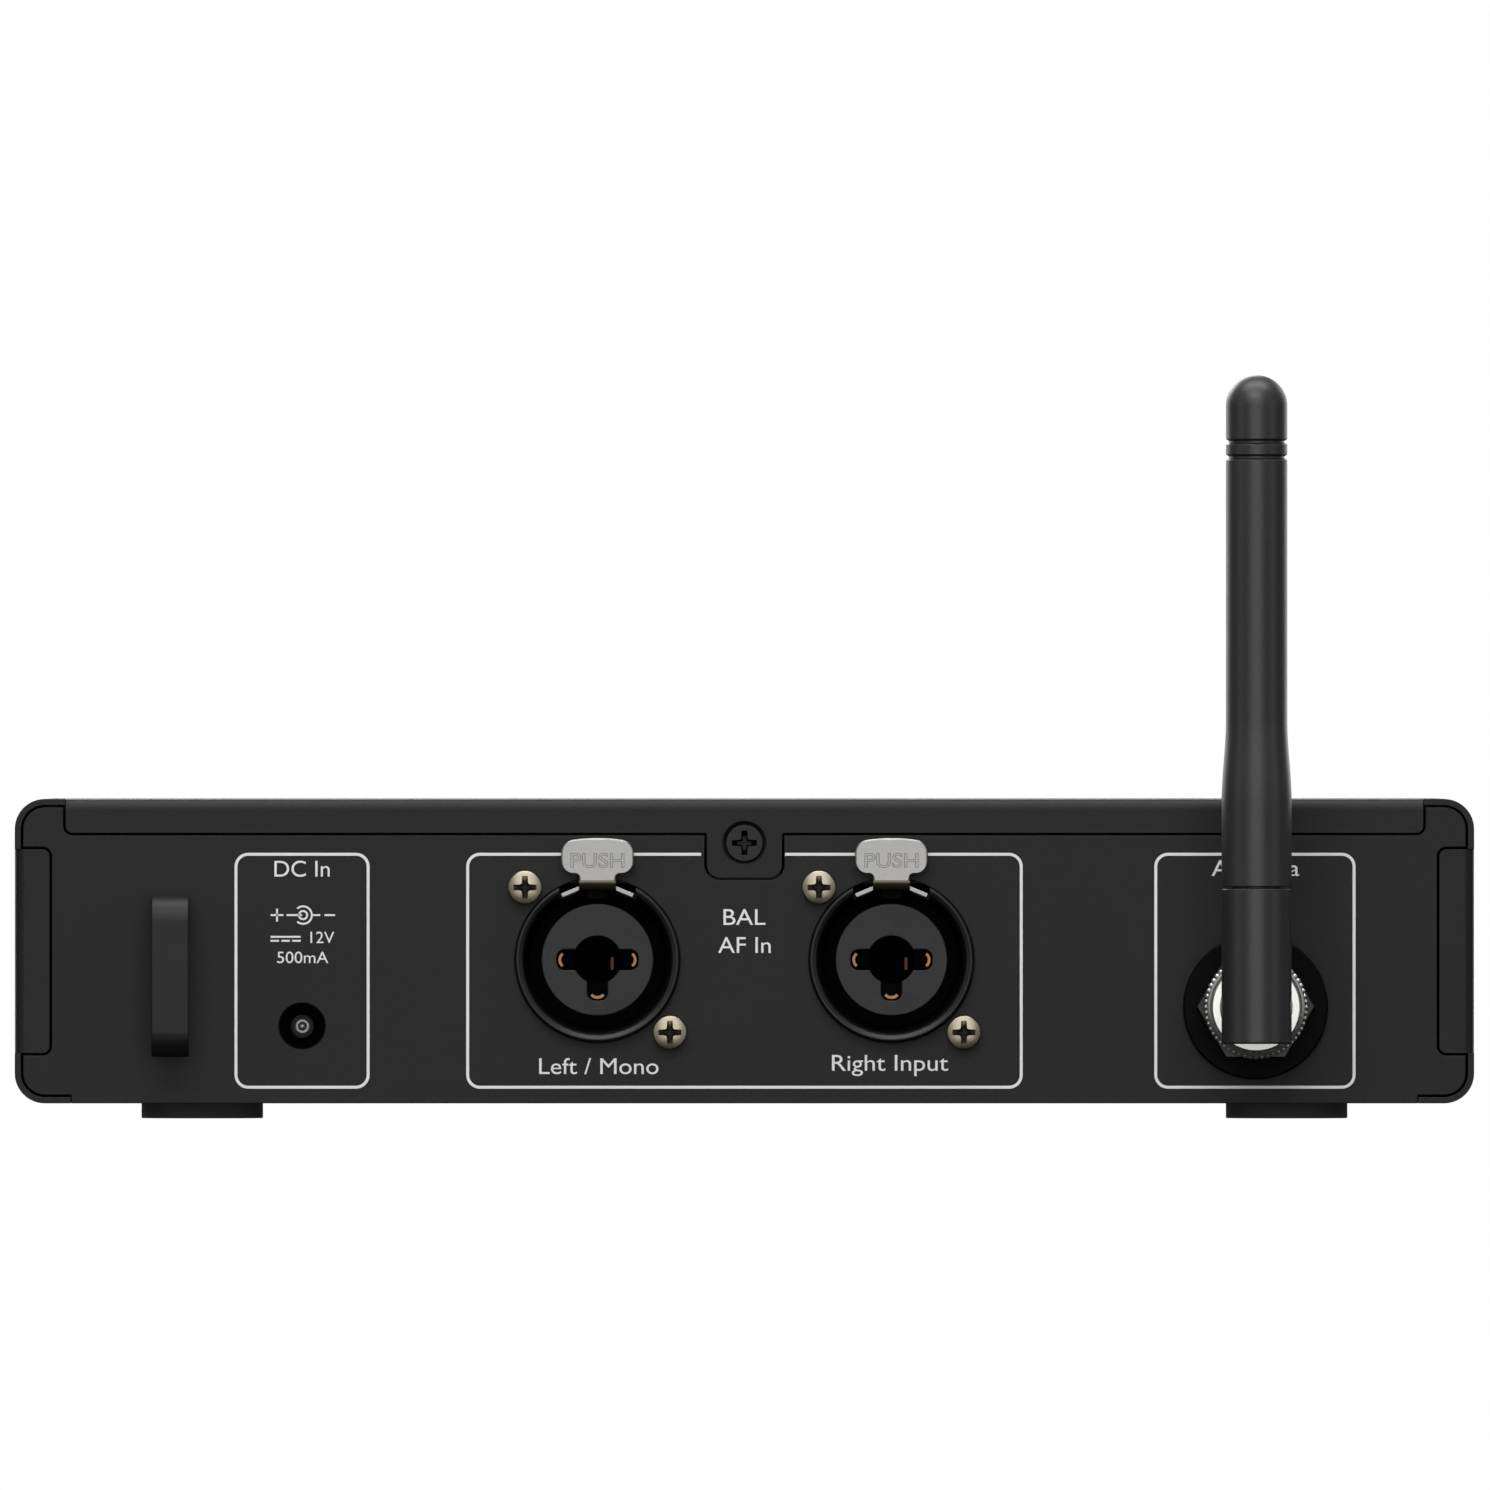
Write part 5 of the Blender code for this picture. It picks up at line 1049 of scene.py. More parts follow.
@dataclass
class Feet:
    """Four round rubber feet with a moulded rim and a dished sole."""

    names: tuple[str, ...] = ("foot_front_left", "foot_front_right", "foot_rear_left", "foot_rear_right")

    def build(self) -> None:
        """Makes one foot and copies it to its four places."""
        low, high = span(self.names[0])
        radius, height = (high.x - low.x) / 2, span("chassis_tray")[0].z - low.z
        profile = [(0, 0.35), (radius * 0.55, 0.35), (radius * 0.62, 0), (radius - 0.2, 0)]
        profile += arc((radius - 0.15, 0.15), 0.15, -80, 0, 3)
        profile += [(radius, height), (0, height)]
        foot = Solid().lathe(profile, Axis.Z, steps=96)
        places = [Vector((middle(n).x, middle(n).y, low.z)) for n in self.names]
        feet = copies(foot, places, FOOT_RUBBER)
        publish(Listing("rubber_feet", FOOT_RUBBER, "foot_rubber", nodes=self.names), feet)


@dataclass
class CrossScrew:
    """A cross-recess screw: pan-headed on the jacks and the board, countersunk in the cover's tab."""

    head_radius: float = 2.4
    head_height: float = 1.5
    seat: float = 0.0
    shank_radius: float = 1.25
    length: float = 8.0
    wing_width: float = 1.0
    wing_span: float = 3.8
    root: float = 0.34
    recess_depth: float = 1.9
    recess_edge: float = 0.06

    def cross(self) -> Outline:
        """Outline of the recess: four wings with filleted roots and softened ends."""
        w, s = self.wing_width / 2, self.wing_span / 2
        corners = []
        for quarter in range(4):
            turn = Matrix.Rotation(math.radians(90 * quarter), 2)
            for u, v, radius in ((s, -w * 0.86, 0.12), (s, w * 0.86, 0.12), (w, w, self.root)):
                point = turn @ Vector((u, v))
                corners.append((point.x, point.y, radius))
        return rounded(corners, steps=4)

    def cutter(self, top: float, axis: Axis) -> Solid:
        """The recess: four wings that taper towards a point."""
        return Solid().prism(self.cross(), top - self.recess_depth, top + 0.2, axis, taper=0.3)

    def pan_head(self, axis: Axis) -> bpy.types.Object:
        """A pan head with its shank, about the origin, with its seat at 0."""
        r, h = self.head_radius, self.head_height
        side = h * 0.66
        shank, end = self.shank_radius, -self.length
        profile = [(0, end), (shank, end), (shank, 0), (r - 0.12, 0)]
        profile += [(r, 0.12), (r, side), (r - 0.06, side + 0.12)]
        reach, rise = r - 0.18, h - side - 0.2
        curve = (reach * reach + rise * rise) / (2 * rise)
        rim = math.degrees(math.acos(reach / curve))
        profile += arc((0, h - curve), curve, rim, 90, 10)
        obj = Solid().lathe(profile, axis, steps=64).object("pan_head")
        self.cut(obj, self.cutter(h, axis))
        return obj

    def cut(self, obj: bpy.types.Object, recess: Solid) -> None:
        """Cuts the cross recess and breaks its edges."""
        helper = recess.object("recess")
        cut_away(obj, [helper])
        round_edges(obj, self.recess_edge, 2)
        baked(obj)
        bpy.data.objects.remove(helper)

    def build_group(self, listing: Listing, axis: Axis) -> None:
        """Publishes one piece with a screw for each node that it stands for."""
        places = []
        for node in listing.nodes:
            centre, high = middle(node), span(node)[1]
            if axis is Axis.Y:
                places.append(Vector((centre.x, high.y - self.head_height, centre.z)))
            else:
                places.append(Vector((centre.x, centre.y, high.z - self.head_height)))
        head = self.pan_head(axis)
        pattern = Solid()
        pattern.bm.from_mesh(head.data)
        bpy.data.objects.remove(head)
        publish(listing, copies(pattern, places, listing.finish))

    def build_cover_screw(self, centre: Pair) -> None:
        """Publishes the black countersunk screw, flush with the tab."""
        r, top = self.head_radius, self.seat
        profile = [(0, top - 7.0), (1.4, top - 7.0), (1.4, top - (r - 1.4)), (r - 0.12, top - 0.12)]
        profile += [(r - 0.16, top - 0.02), (r - 0.55, top), (0, top)]
        obj = Solid().lathe(profile, Axis.Y, (0, 0), 64).object("screw")
        self.cut(obj, self.cutter(top, Axis.Y))
        obj.data.transform(Matrix.Translation((centre[0], 0, centre[1])))
        publish(Listing("cover_tab_screw", BLACK_STEEL, "black_steel", nodes=("cover_screw",)), obj)


# ---------------------------------------------------------------- rear connectors
@dataclass
class ComboJack:
    """A combination jack: round nose and body, insert with three pin lobes, contacts and release lever."""

    name: str
    channel: str
    nose: float = 11.7
    rim_inner: float = 10.75
    bore: float = 9.6
    insert: float = 8.0
    phone_bore: float = 3.4
    lobe_half: float = 1.45
    lobe_reach: float = 5.8
    bore_depth: float = 16.0
    wall_depth: float = 17.0
    pocket_size: Pair = (11.0, 12.0)
    pocket_foot: float = 8.6
    pocket_depth: float = 8.5
    hinge_depth: float = 6.0
    hinge_drop: float = 1.5
    hinge_half: float = 5.4
    latch_sheet: float = 0.6
    latch_edge: float = 0.29
    neck_half: float = 2.65
    tab_half: float = 5.2
    crown: float = 0.55
    letter_height: float = 1.95

    def __post_init__(self) -> None:
        """Reads the jack's places from the frame."""
        centre = middle(f"{self.name}_insert")
        self.x, self.z = centre.x, centre.z
        self.low, self.high = span(f"{self.name}_housing")
        self.front = self.high.y
        self.insert_front = span(f"{self.name}_insert")[1].y
        self.panel = span("chassis_tray")[1].y

    def at(self, outline: Outline) -> Outline:
        """An outline drawn about the jack's axis, moved to its place."""
        return shifted(outline, self.x, self.z)

    def pocket(self) -> Solid:
        """The space that the release lever moves in."""
        centre = (self.x, self.z + self.pocket_foot + self.pocket_size[1] / 2)
        outline = rounded(rectangle(*self.pocket_size, 0.3, centre))
        return Solid().prism(outline, self.panel - self.pocket_depth, self.front + 2, Axis.Y)

    def build_housing(self) -> None:
        """The nose, the liner of its bore and the body behind the panel."""
        self.build_nose()
        self.build_liner()
        self.build_body()

    def housing(self, part: str, finish: Finish) -> Listing:
        """The listing of one of the housing's parts."""
        return Listing(f"{self.name}_{part}", finish, "connector_black", nodes=(f"{self.name}_housing",))

    def build_nose(self) -> None:
        """The moulded nose with its rounded rim."""
        f, end, wall = self.front, self.front - self.wall_depth, self.bore + 0.4
        profile = [(self.nose - 0.1, end), (self.nose - 0.1, self.panel - 1.8), (self.nose, self.panel - 1.6)]
        profile += arc((self.nose - 0.35, f - 0.35), 0.35, 0, 90, 5)
        profile += [(self.nose - 0.5, f - 0.02), (self.rim_inner + 0.25, f - 0.1)]
        profile += arc((self.rim_inner + 0.25, f - 0.45), 0.3, 100, 180, 4)
        profile += [(wall, f - 6.0), (wall, end)]
        nose = Solid().lathe(profile, Axis.Y, (self.x, self.z), 160)
        publish(self.housing("nose", NYLON), nose, (self.pocket(),))

    def build_liner(self) -> None:
        """The inside of the bore, painted near black as painted shade, closed behind the phone bore."""
        f, back, floor = self.front, self.low.y + 0.5, self.front - self.bore_depth
        wall, face, tube = self.bore + 0.4, self.rim_inner - 0.05, self.phone_bore + 0.9
        shoulder = f - self.wall_depth + 0.1
        profile = [(0, back), (tube, back), (tube, shoulder), (wall - 0.01, shoulder), (wall - 0.01, f - 6.0)]
        profile += [(face, f - 0.6), (face - 0.15, f - 0.7), (self.bore, f - 5.5), (self.bore, floor)]
        profile += [(self.phone_bore, floor), (self.phone_bore, back + 1.0), (0, back + 1.0)]
        liner = Solid().lathe(profile, Axis.Y, (self.x, self.z), 160)
        # The liner is painted near black: painted shade deep in the bore.
        publish(self.housing("bore", SHADED_BORE_NYLON), liner, (self.pocket(),))

    def build_body(self) -> None:
        """The square body behind the panel, with its screw holes."""
        width, height = self.high.x - self.low.x, self.high.z - self.low.z
        block = rounded(rectangle(width, height, 0.8, (self.x, (self.low.z + self.high.z) / 2)))
        hole = circle(self.nose - 0.05, (self.x, self.z), 96)
        screws = tuple(circle(1.5, (middle(n).x, middle(n).z), 24) for n in self.screw_nodes())
        body = Solid().plate(block, self.low.y, self.panel - 1.8, Axis.Y, (hole, *screws), 0.25)
        publish(self.housing("body", NYLON), body, (self.pocket(),))

    def screw_nodes(self) -> tuple[str, str]:
        """Names of the jack's two screws."""
        return (f"{self.name}_screw_upper", f"{self.name}_screw_lower")

    def keyhole(self) -> Outline:
        """The phone bore with a straight lobe to each side and one below."""
        r, h, reach = self.phone_bore, self.lobe_half, self.lobe_reach
        root = math.degrees(math.asin(h / r))
        inner = math.sqrt(r * r - h * h)
        right = [(inner, -h, 0.3), (reach, -h, 1.1), (reach, h, 1.1), (inner, h, 0.3)]
        left = [(-u, -v, radius) for u, v, radius in right]
        below = [(-h, -inner, 0.3), (-h, -reach, 1.1), (h, -reach, 1.1), (h, -inner, 0.3)]

        def curve(start: float, end: float) -> list[tuple]:
            return [(u, v, 0) for u, v in arc((0, 0), r, start, end, round((end - start) / 10))[1:-1]]

        corners = [*right, *curve(root, 180 - root), *left, *curve(180 + root, 270 - root)]
        corners += [*below, *curve(270 + root, 360 - root)]
        return rounded(corners, steps=6)

    def build_insert(self) -> None:
        """The insert with its keyhole, and the numerals of its pins."""
        back, face = self.front - self.bore_depth + GAP, self.insert_front
        outline, keyhole = self.at(circle(self.insert, steps=128)), self.at(self.keyhole())
        shape = Solid().plate(outline, back, face, Axis.Y, (keyhole,), 0.18, 3)
        nodes = (f"{self.name}_insert",)
        listing = Listing(f"{self.name}_core", INSERT_NYLON, "connector_black", nodes=nodes)
        publish(listing, shape)
        # The raised numerals take the darker housing nylon: painted shade, standing for the shadow in moulded
        # numerals.
        numerals = Solid()
        for words, u, v in (("1", -6.85, -0.75), ("2", 6.85, -0.75), ("3", -2.9, -5.6)):
            place = upright(self.x + u, face + 0.03, self.z + v)
            numerals.text(words, 1.5, place, 0.06)
        publish(Listing(f"{self.name}_numerals", NYLON, "connector_black"), numerals)

    def build_contacts(self) -> None:
        """The bronze spring in the end of each lobe, and the side spring of the phone bore."""
        blade = strip(arc((self.lobe_reach - 1.5, 0), 1.1, -55, 55, 12), 0.5)
        for number, degrees in ((1, 180), (2, 0), (3, 270)):
            node = f"{self.name}_contact_{number}"
            turn = Matrix.Rotation(math.radians(degrees), 2)
            outline = self.at([tuple(turn @ Vector(p)) for p in blade])
            low, high = span(node)
            spring = Solid().plate(outline, low.y, high.y, Axis.Y, edge=0.08)
            listing = Listing(f"{self.name}_spring_{number}", CONTACT_BRONZE, "contact_gold", nodes=(node,))
            publish(listing, spring)
        # The side spring is painted dim: painted shade deep in the bore.
        tip = self.at(rounded(rectangle(0.55, 2.0, 0.2, (-2.1, -0.55))))
        side = Solid().plate(tip, self.insert_front - 14, self.insert_front - 7.5, Axis.Y, edge=0.1)
        publish(Listing(f"{self.name}_phone_spring", SHADED_SPRING_COPPER, "contact_gold"), side)

    def latch_part(self, part: str, finish: Finish, is_node: bool = True) -> Listing:
        """The listing of one of the release lever's parts."""
        node = f"{self.name}_latch"
        return Listing(f"{node}_{part}", finish, "nickel", self.channel, (node,) if is_node else ())

    def build_latch(self) -> None:
        """The pressed release lever: stamped thumb tab, bent neck, winged saddle, pin and hook."""
        low, high = span(f"{self.name}_latch")
        axis_z = self.z + self.nose - self.hinge_drop
        self.build_tab(axis_z + 2.0, high)
        self.build_lever(axis_z, axis_z + 2.0, high.y)
        axis_y, end = self.panel - self.hinge_depth, self.hinge_half
        pin = [(0, self.x - end), (0.6, self.x - end), (0.6, self.x + end), (0, self.x + end)]
        hinge = Solid().lathe(pin, Axis.X, (axis_y, axis_z), 24)
        hook = rounded(rectangle(1.2, axis_z - low.z, 0.2, (self.panel - 3.2, (axis_z + low.z) / 2)))
        hinge.plate(hook, self.x - 1.5, self.x + 1.5, Axis.X, edge=0.1)
        # The hinge is painted near black: painted shadow of the jack.
        publish(self.latch_part("hinge", SHADOWED_STEEL), hinge)

    def build_tab(self, foot: float, high: Vector) -> None:
        """The crowned thumb tab and its stamped word.

        Args:
            foot: Height of the tab's foot.
            high: The lever's highest corner.
        """
        crowned = high.z - self.crown
        shares = (0.6, 0.45, 0.3, 0.15)
        top = [(self.tab_half * share, high.z - self.crown * share * share, 0) for share in shares]
        corners = [(self.neck_half, foot - 1.1, 0), (self.neck_half, foot, 0.55), (self.tab_half, foot, 1.75)]
        corners = mirrored([*corners, (self.tab_half, crowned, 1.9), *top])
        outline = shifted(rounded(corners, steps=10), self.x, 0)
        tab = Solid().plate(outline, high.y - self.latch_sheet, high.y, Axis.Y, edge=self.latch_edge, steps=3)
        publish(self.latch_part("tab", LATCH_NICKEL), tab)
        place = upright(self.x, high.y, self.z + 13.25)
        # A wider copy of the word in darker nickel lies under the letters: a painted shade outline round the
        # stamped letters.
        groove = Solid().text("PUSH", self.letter_height, place, 0.04, 0.06, 7.72)
        publish(self.latch_part("stamp_edge", SHADED_NICKEL, False), groove)
        letters = Solid().text("PUSH", self.letter_height, place, 0.08, -0.04, 7.52)
        publish(self.latch_part("stamp", LATCH_NICKEL, False), letters)

    def build_lever(self, axis_z: float, foot: float, front: float) -> None:
        """The neck that bends in under the tab, and the saddle over the nose.

        Args:
            axis_z: Height of the hinge.
            foot: Height of the tab's foot.
            front: The tab's outer face.
        """
        y = front - self.latch_sheet / 2
        path = [(y, foot - 0.9, 0), (y, axis_z, 0.95), (self.panel - 0.5, axis_z, 0)]
        bend = strip(rounded(path, steps=8, closed=False), self.latch_sheet)
        lever = Solid().plate(bend, self.x - self.neck_half, self.x + self.neck_half, Axis.X, edge=0.08)
        # The neck is painted darker and warmer: painted shade in its bend.
        publish(self.latch_part("neck", SHADED_LEVER_NICKEL), lever)
        bow = [(-5.1, -1.0), (-2.7, 0.0), (2.7, 0.0), (5.1, -1.0)]
        wings = strip(shifted(bow, self.x, axis_z), self.latch_sheet)
        back, end = self.panel - self.hinge_depth - 0.6, front - self.latch_sheet - 0.6
        publish(self.latch_part("saddle", LATCH_NICKEL), Solid().plate(wings, back, end, Axis.Y, edge=0.08))

    def build(self) -> None:
        """Builds every piece of the jack."""
        self.build_housing()
        self.build_insert()
        self.build_contacts()
        self.build_latch()


@dataclass
class PowerInlet:
    """The power socket behind its hole: a chamfered mouth, a sleeve and a bright pin."""

    bore: float = 3.15
    depth: float = 10.5
    sleeve: float = 1.8
    sleeve_bore: float = 0.95
    pin: float = 0.62

    def build(self) -> None:
        """Makes the socket's body and its contacts."""
        low, high = span("dc_jack")
        centre = middle("dc_pin")
        place = (centre.x, centre.z)
        block = ((low.x + high.x) / 2, (low.z + high.z) / 2)
        outline = rounded(rectangle(high.x - low.x, high.z - low.z, 0.5, block))
        floor = high.y - self.depth
        body = Solid().plate(outline, low.y, floor + 0.01, Axis.Y, edge=0.15)
        body.plate(outline, floor, high.y, Axis.Y, (circle(self.bore, place, 64),), 0.1)
        # The socket's body is painted near black: painted shade in its mouth.
        publish(Listing("power_socket", SHADED_BORE_NYLON, "connector_black", nodes=("dc_jack",)), body)
        base, tip = span("dc_pin")[0].y, span("dc_pin")[1].y
        profile = [(self.sleeve_bore, base), (self.sleeve, base), (self.sleeve, tip - 0.25)]
        profile += arc((self.sleeve - 0.25, tip - 0.25), 0.25, 0, 70, 4)
        profile += [(self.sleeve_bore, tip - 0.75)]
        sleeve = Solid().lathe(profile, Axis.Y, place, 48)
        # The sleeve is painted mid grey: painted shade deep in the socket's mouth.
        publish(Listing("power_sleeve", SHADED_NICKEL, "nickel", nodes=("dc_pin",)), sleeve)
        profile = [(0, base), (self.sleeve_bore, base)]
        profile += [(self.sleeve_bore, base + 1.5), (self.pin, base + 1.5)]
        profile += [(self.pin, tip - 1.3), *arc((0.0, tip - 1.35), self.pin, 0, 90, 6)]
        pin = Solid().lathe(profile, Axis.Y, place, 48)
        publish(Listing("power_pin", TURNED_NICKEL, "nickel", nodes=("dc_pin",)), pin)


@dataclass
class CableHook:
    """The moulded strip that keeps the power lead: rooted above, curled towards the panel below."""

    thickness: float = 1.8
    bend: float = 2.7
    root: float = 4.0
    edge: float = 0.22

    def build(self) -> None:
        """Makes the hook."""
        low, high = span("cable_hook")
        half = self.thickness / 2
        bar = high.y - half
        corners = [
            (low.y, high.z - half, 0),
            (bar, high.z - half, self.bend),
            (bar, low.z + half, self.bend),
            (high.y - 4.4, low.z + half, 0),
        ]
        outline = strip(rounded(corners, steps=14, closed=False), self.thickness)
        hook = Solid().plate(outline, low.x, high.x, Axis.X, edge=self.edge, steps=3)
        publish(Listing("lead_hook", HOOK_ABS, "front_moulding", nodes=("cable_hook",)), hook)


# ---------------------------------------------------------------- antenna
@dataclass
class AntennaPort:
    """The bayonet socket's washer and nut, and the knurled coupling that locks on it."""

    bead: float = 0.42
    beads: int = 56
    proud: float = 0.2
    nut_corner: float = 0.3

    def build(self) -> None:
        """Makes the washer, the nut and the coupling; the socket inside keeps its shape."""
        dress("bnc_socket", TURNED_NICKEL)
        low, high = span("bnc_washer")
        centre = middle("bnc_washer")
        self.place = (centre.x, centre.z)
        radius = (high.x - low.x) / 2
        profile = [(5.05, low.y), (radius - 0.1, low.y), (radius, low.y + 0.1), (radius, high.y - 0.25)]
        profile += [(radius - 0.25, high.y), (5.05, high.y)]
        washer = Solid().lathe(profile, Axis.Y, self.place, 128)
        publish(Listing("insulating_washer", WASHER_NYLON, "connector_black", nodes=("bnc_washer",)), washer)
        self.build_nut()
        self.build_coupling()

    def build_nut(self) -> None:
        """The hexagon nut, its corners turned down."""
        low, high = span("bnc_nut")
        across = (high.x - low.x) / 2
        hexagon = shifted(rounded([(u, v, 0.35) for u, v in circle(across, steps=6)], steps=3), *self.place)
        nut = Solid().plate(hexagon, low.y, high.y, Axis.Y, (circle(5.05, self.place, 48),), self.nut_corner)
        publish(Listing("hexagon_nut", NUT_NICKEL, "nickel", nodes=("bnc_nut",)), nut)

    def build_coupling(self) -> None:
        """The coupling: knurled grip, two turned rings and a dished end."""
        low, high = span("bnc_coupling")
        outer = (high.x - low.x) / 2 + self.proud
        y0, y1 = low.y, high.y
        grip = outer - self.bead * 0.8
        profile = [(5.8, y0), (grip - 0.25, y0), (grip, y0 + 0.25), (grip, y1 - 3.1), (6.98, y1 - 2.75)]
        profile += [(6.9, y1 - 2.35), (6.74, y1 - 2.2), (6.6, y1 - 2.3), (6.52, y1 - 2.55), (6.44, y1 - 2.3)]
        profile += [(6.32, y1 - 1.2), (6.22, y1 - 0.75), (6.12, y1 - 0.7)]
        profile += [(5.2, y1 - 0.6), (4.9, y1 - 0.2), (4.7, y1), (4.5, y1 - 0.12), (4.5, y1 - 1.9)]
        profile += [(5.8, y1 - 3.0)]
        body = Solid().lathe(profile, Axis.Y, self.place, 160)
        publish(Listing("coupling_body", TURNED_NICKEL, "nickel", "coupling", ("bnc_coupling",)), body)
        b, length = self.bead, (y1 - 3.0) - (y0 + 0.5)
        rod = [(0, 0), *arc((0, b), b, -60, 0, 3), (b, length - b)]
        rod += [*arc((0, length - b), b, 20, 70, 3), (0, length)]
        bead = Solid().lathe(rod, Axis.Z, steps=10)
        matrix = Matrix.Translation((self.place[0], y0 + 0.5, self.place[1])) @ ABOUT_Y
        knurl = ring(bead, self.beads, outer - b, TURNED_NICKEL, matrix)
        publish(Listing("coupling_knurl", TURNED_NICKEL, "nickel", "coupling", ("bnc_coupling",)), knurl)


@dataclass
class Antenna:
    """The hinged rod: plug body with its tongue, forked knuckle, and a sleeve that tapers to a dome."""

    foot_radius: float = 5.0
    rod_radius: float = 4.38
    tongue: float = 3.2
    tongue_radius: float = 3.6
    spigot: float = 3.5
    groove_width: float = 0.75
    groove_depth: float = 0.42
    grooves: tuple[float, ...] = (78.4, 80.6)
    taper: Pair = (29.1, 41.0)

    def __post_init__(self) -> None:
        """Reads the hinge's place from the frame."""
        hinge = middle("antenna_pivot")
        self.x, self.y, self.z = hinge.x, hinge.y, hinge.z

    def build_base(self) -> None:
        """The plug body inside the coupling and the tongue of the hinge."""
        front = span("antenna_base")[0].y
        end = self.y - self.foot_radius - 0.4
        profile = [(0, front), (3.2, front), (3.2, front + 7.1), (5.4, front + 7.1), (5.4, 71.8), (4.2, 71.8)]
        profile += [(4.2, end - 0.6), (4.8, end - 0.6), (4.9, end - 0.5)]
        profile += [(4.9, end - 0.1), (4.8, end), (0, end)]
        base = Solid().lathe(profile, Axis.Y, (self.x, self.z), 96)
        corners = [(end - 0.3, self.z - self.tongue_radius, 0), (self.y, self.z - self.tongue_radius, 0)]
        corners += [(u, v, 0) for u, v in arc((self.y, self.z), self.tongue_radius, -80, 80, 16)]
        corners += [(self.y, self.z + self.tongue_radius, 0), (end - 0.3, self.z + self.tongue_radius, 0)]
        hole = circle(1.4, (self.y, self.z), 32)
        half = self.tongue / 2
        base.plate(rounded(corners), self.x - half, self.x + half, Axis.X, (hole,), 0.12)
        listing = Listing("antenna_plug", ANTENNA_SKIN, "antenna_rubber", "antenna_stub", ("antenna_base",))
        publish(listing, base)
        pin = [(0, -4.5), (0.95, -4.5), (1.1, -4.35), (1.1, 4.35), (0.95, 4.5), (0, 4.5)]
        pin = [(r, along + self.x) for r, along in pin]
        listing = Listing("hinge_pin", TURNED_NICKEL, "nickel", "antenna_stub", ("antenna_pivot",))
        publish(listing, Solid().lathe(pin, Axis.X, (self.y, self.z), 32))

    def build_knuckle(self) -> None:
        """The fork that holds the tongue, with its flat foot and rounded heel."""
        low, high = span("antenna_knuckle")
        bottom, top, r, far = low.z, span("antenna_whip")[0].z - GAP, self.foot_radius, 4.0
        profile = [(0, bottom), (r - 0.3, bottom), *arc((r - 0.3, bottom + 0.3), 0.3, -75, 0, 4)]
        profile += [(r, top - 0.12), (r - 0.12, top), (self.spigot, top), (self.spigot, high.z), (0, high.z)]
        fork = Solid().lathe(profile, Axis.Z, (self.x, self.y), 128)
        heel = [
            (self.y - r, self.z + far, 0),
            (self.y - r - far, self.z + far, 0),
            (self.y - r - far, bottom - far, 0),
            (self.y + r + far, bottom - far, 0),
            (self.y + r + far, bottom, 0),
            (self.y - r, bottom, 5.0),
        ]
        rounding = Solid().prism(rounded(heel, steps=20), self.x - 9, self.x + 9, Axis.X)
        half, wall = self.tongue / 2 + GAP, self.tongue_radius + 0.2
        slot = [
            (self.y - r - far, bottom - far, 0),
            (self.y + wall, bottom - far, 0),
            (self.y + wall, self.z + wall, 0.8),
            (self.y - r - far, self.z + wall, 0),
        ]
        opening = Solid().prism(rounded(slot), self.x - half, self.x + half, Axis.X)
        hole = Solid().prism(circle(1.4, (self.y, self.z), 32), self.x - 9, self.x + 9, Axis.X)
        listing = Listing("antenna_fork", ANTENNA_SKIN, "antenna_rubber", "antenna_rod", ("antenna_knuckle",))
        publish(listing, fork, (rounding, opening, hole))

    def build_sleeve(self) -> None:
        """The rod's sleeve: eased taper, two grooves and a dome."""
        low, high = span("antenna_whip")
        r, thin = self.foot_radius, self.rod_radius
        bore = self.spigot + GAP
        profile = [(0, low.z + 6), (bore, low.z + 6), (bore, low.z), (r - 0.12, low.z), (r, low.z + 0.12)]
        start, end = (self.z + share for share in self.taper)
        steps = 24
        for i in range(steps + 1):
            share = i / steps
            eased = share * share * (3 - 2 * share)
            profile.append((r + (thin - r) * eased, start + (end - start) * share))
        for height in self.grooves:
            z = self.z + height
            half, depth = self.groove_width / 2, self.groove_depth
            profile += [(thin, z - half - 0.1), (thin - 0.05, z - half), (thin - depth, z - 0.12)]
            profile += [(thin - depth, z + 0.12), (thin - 0.05, z + half), (thin, z + half + 0.1)]
        profile += arc((0, high.z - thin), thin, 0, 90, 24)
        rod = Solid().lathe(profile, Axis.Z, (self.x, self.y), 128)
        listing = Listing("antenna_sleeve", ANTENNA_SKIN, "antenna_rubber", "antenna_rod", ("antenna_whip",))
        publish(listing, rod)

    def build(self) -> None:
        """Builds every piece of the antenna."""
        self.build_base()
        self.build_knuckle()
        self.build_sleeve()


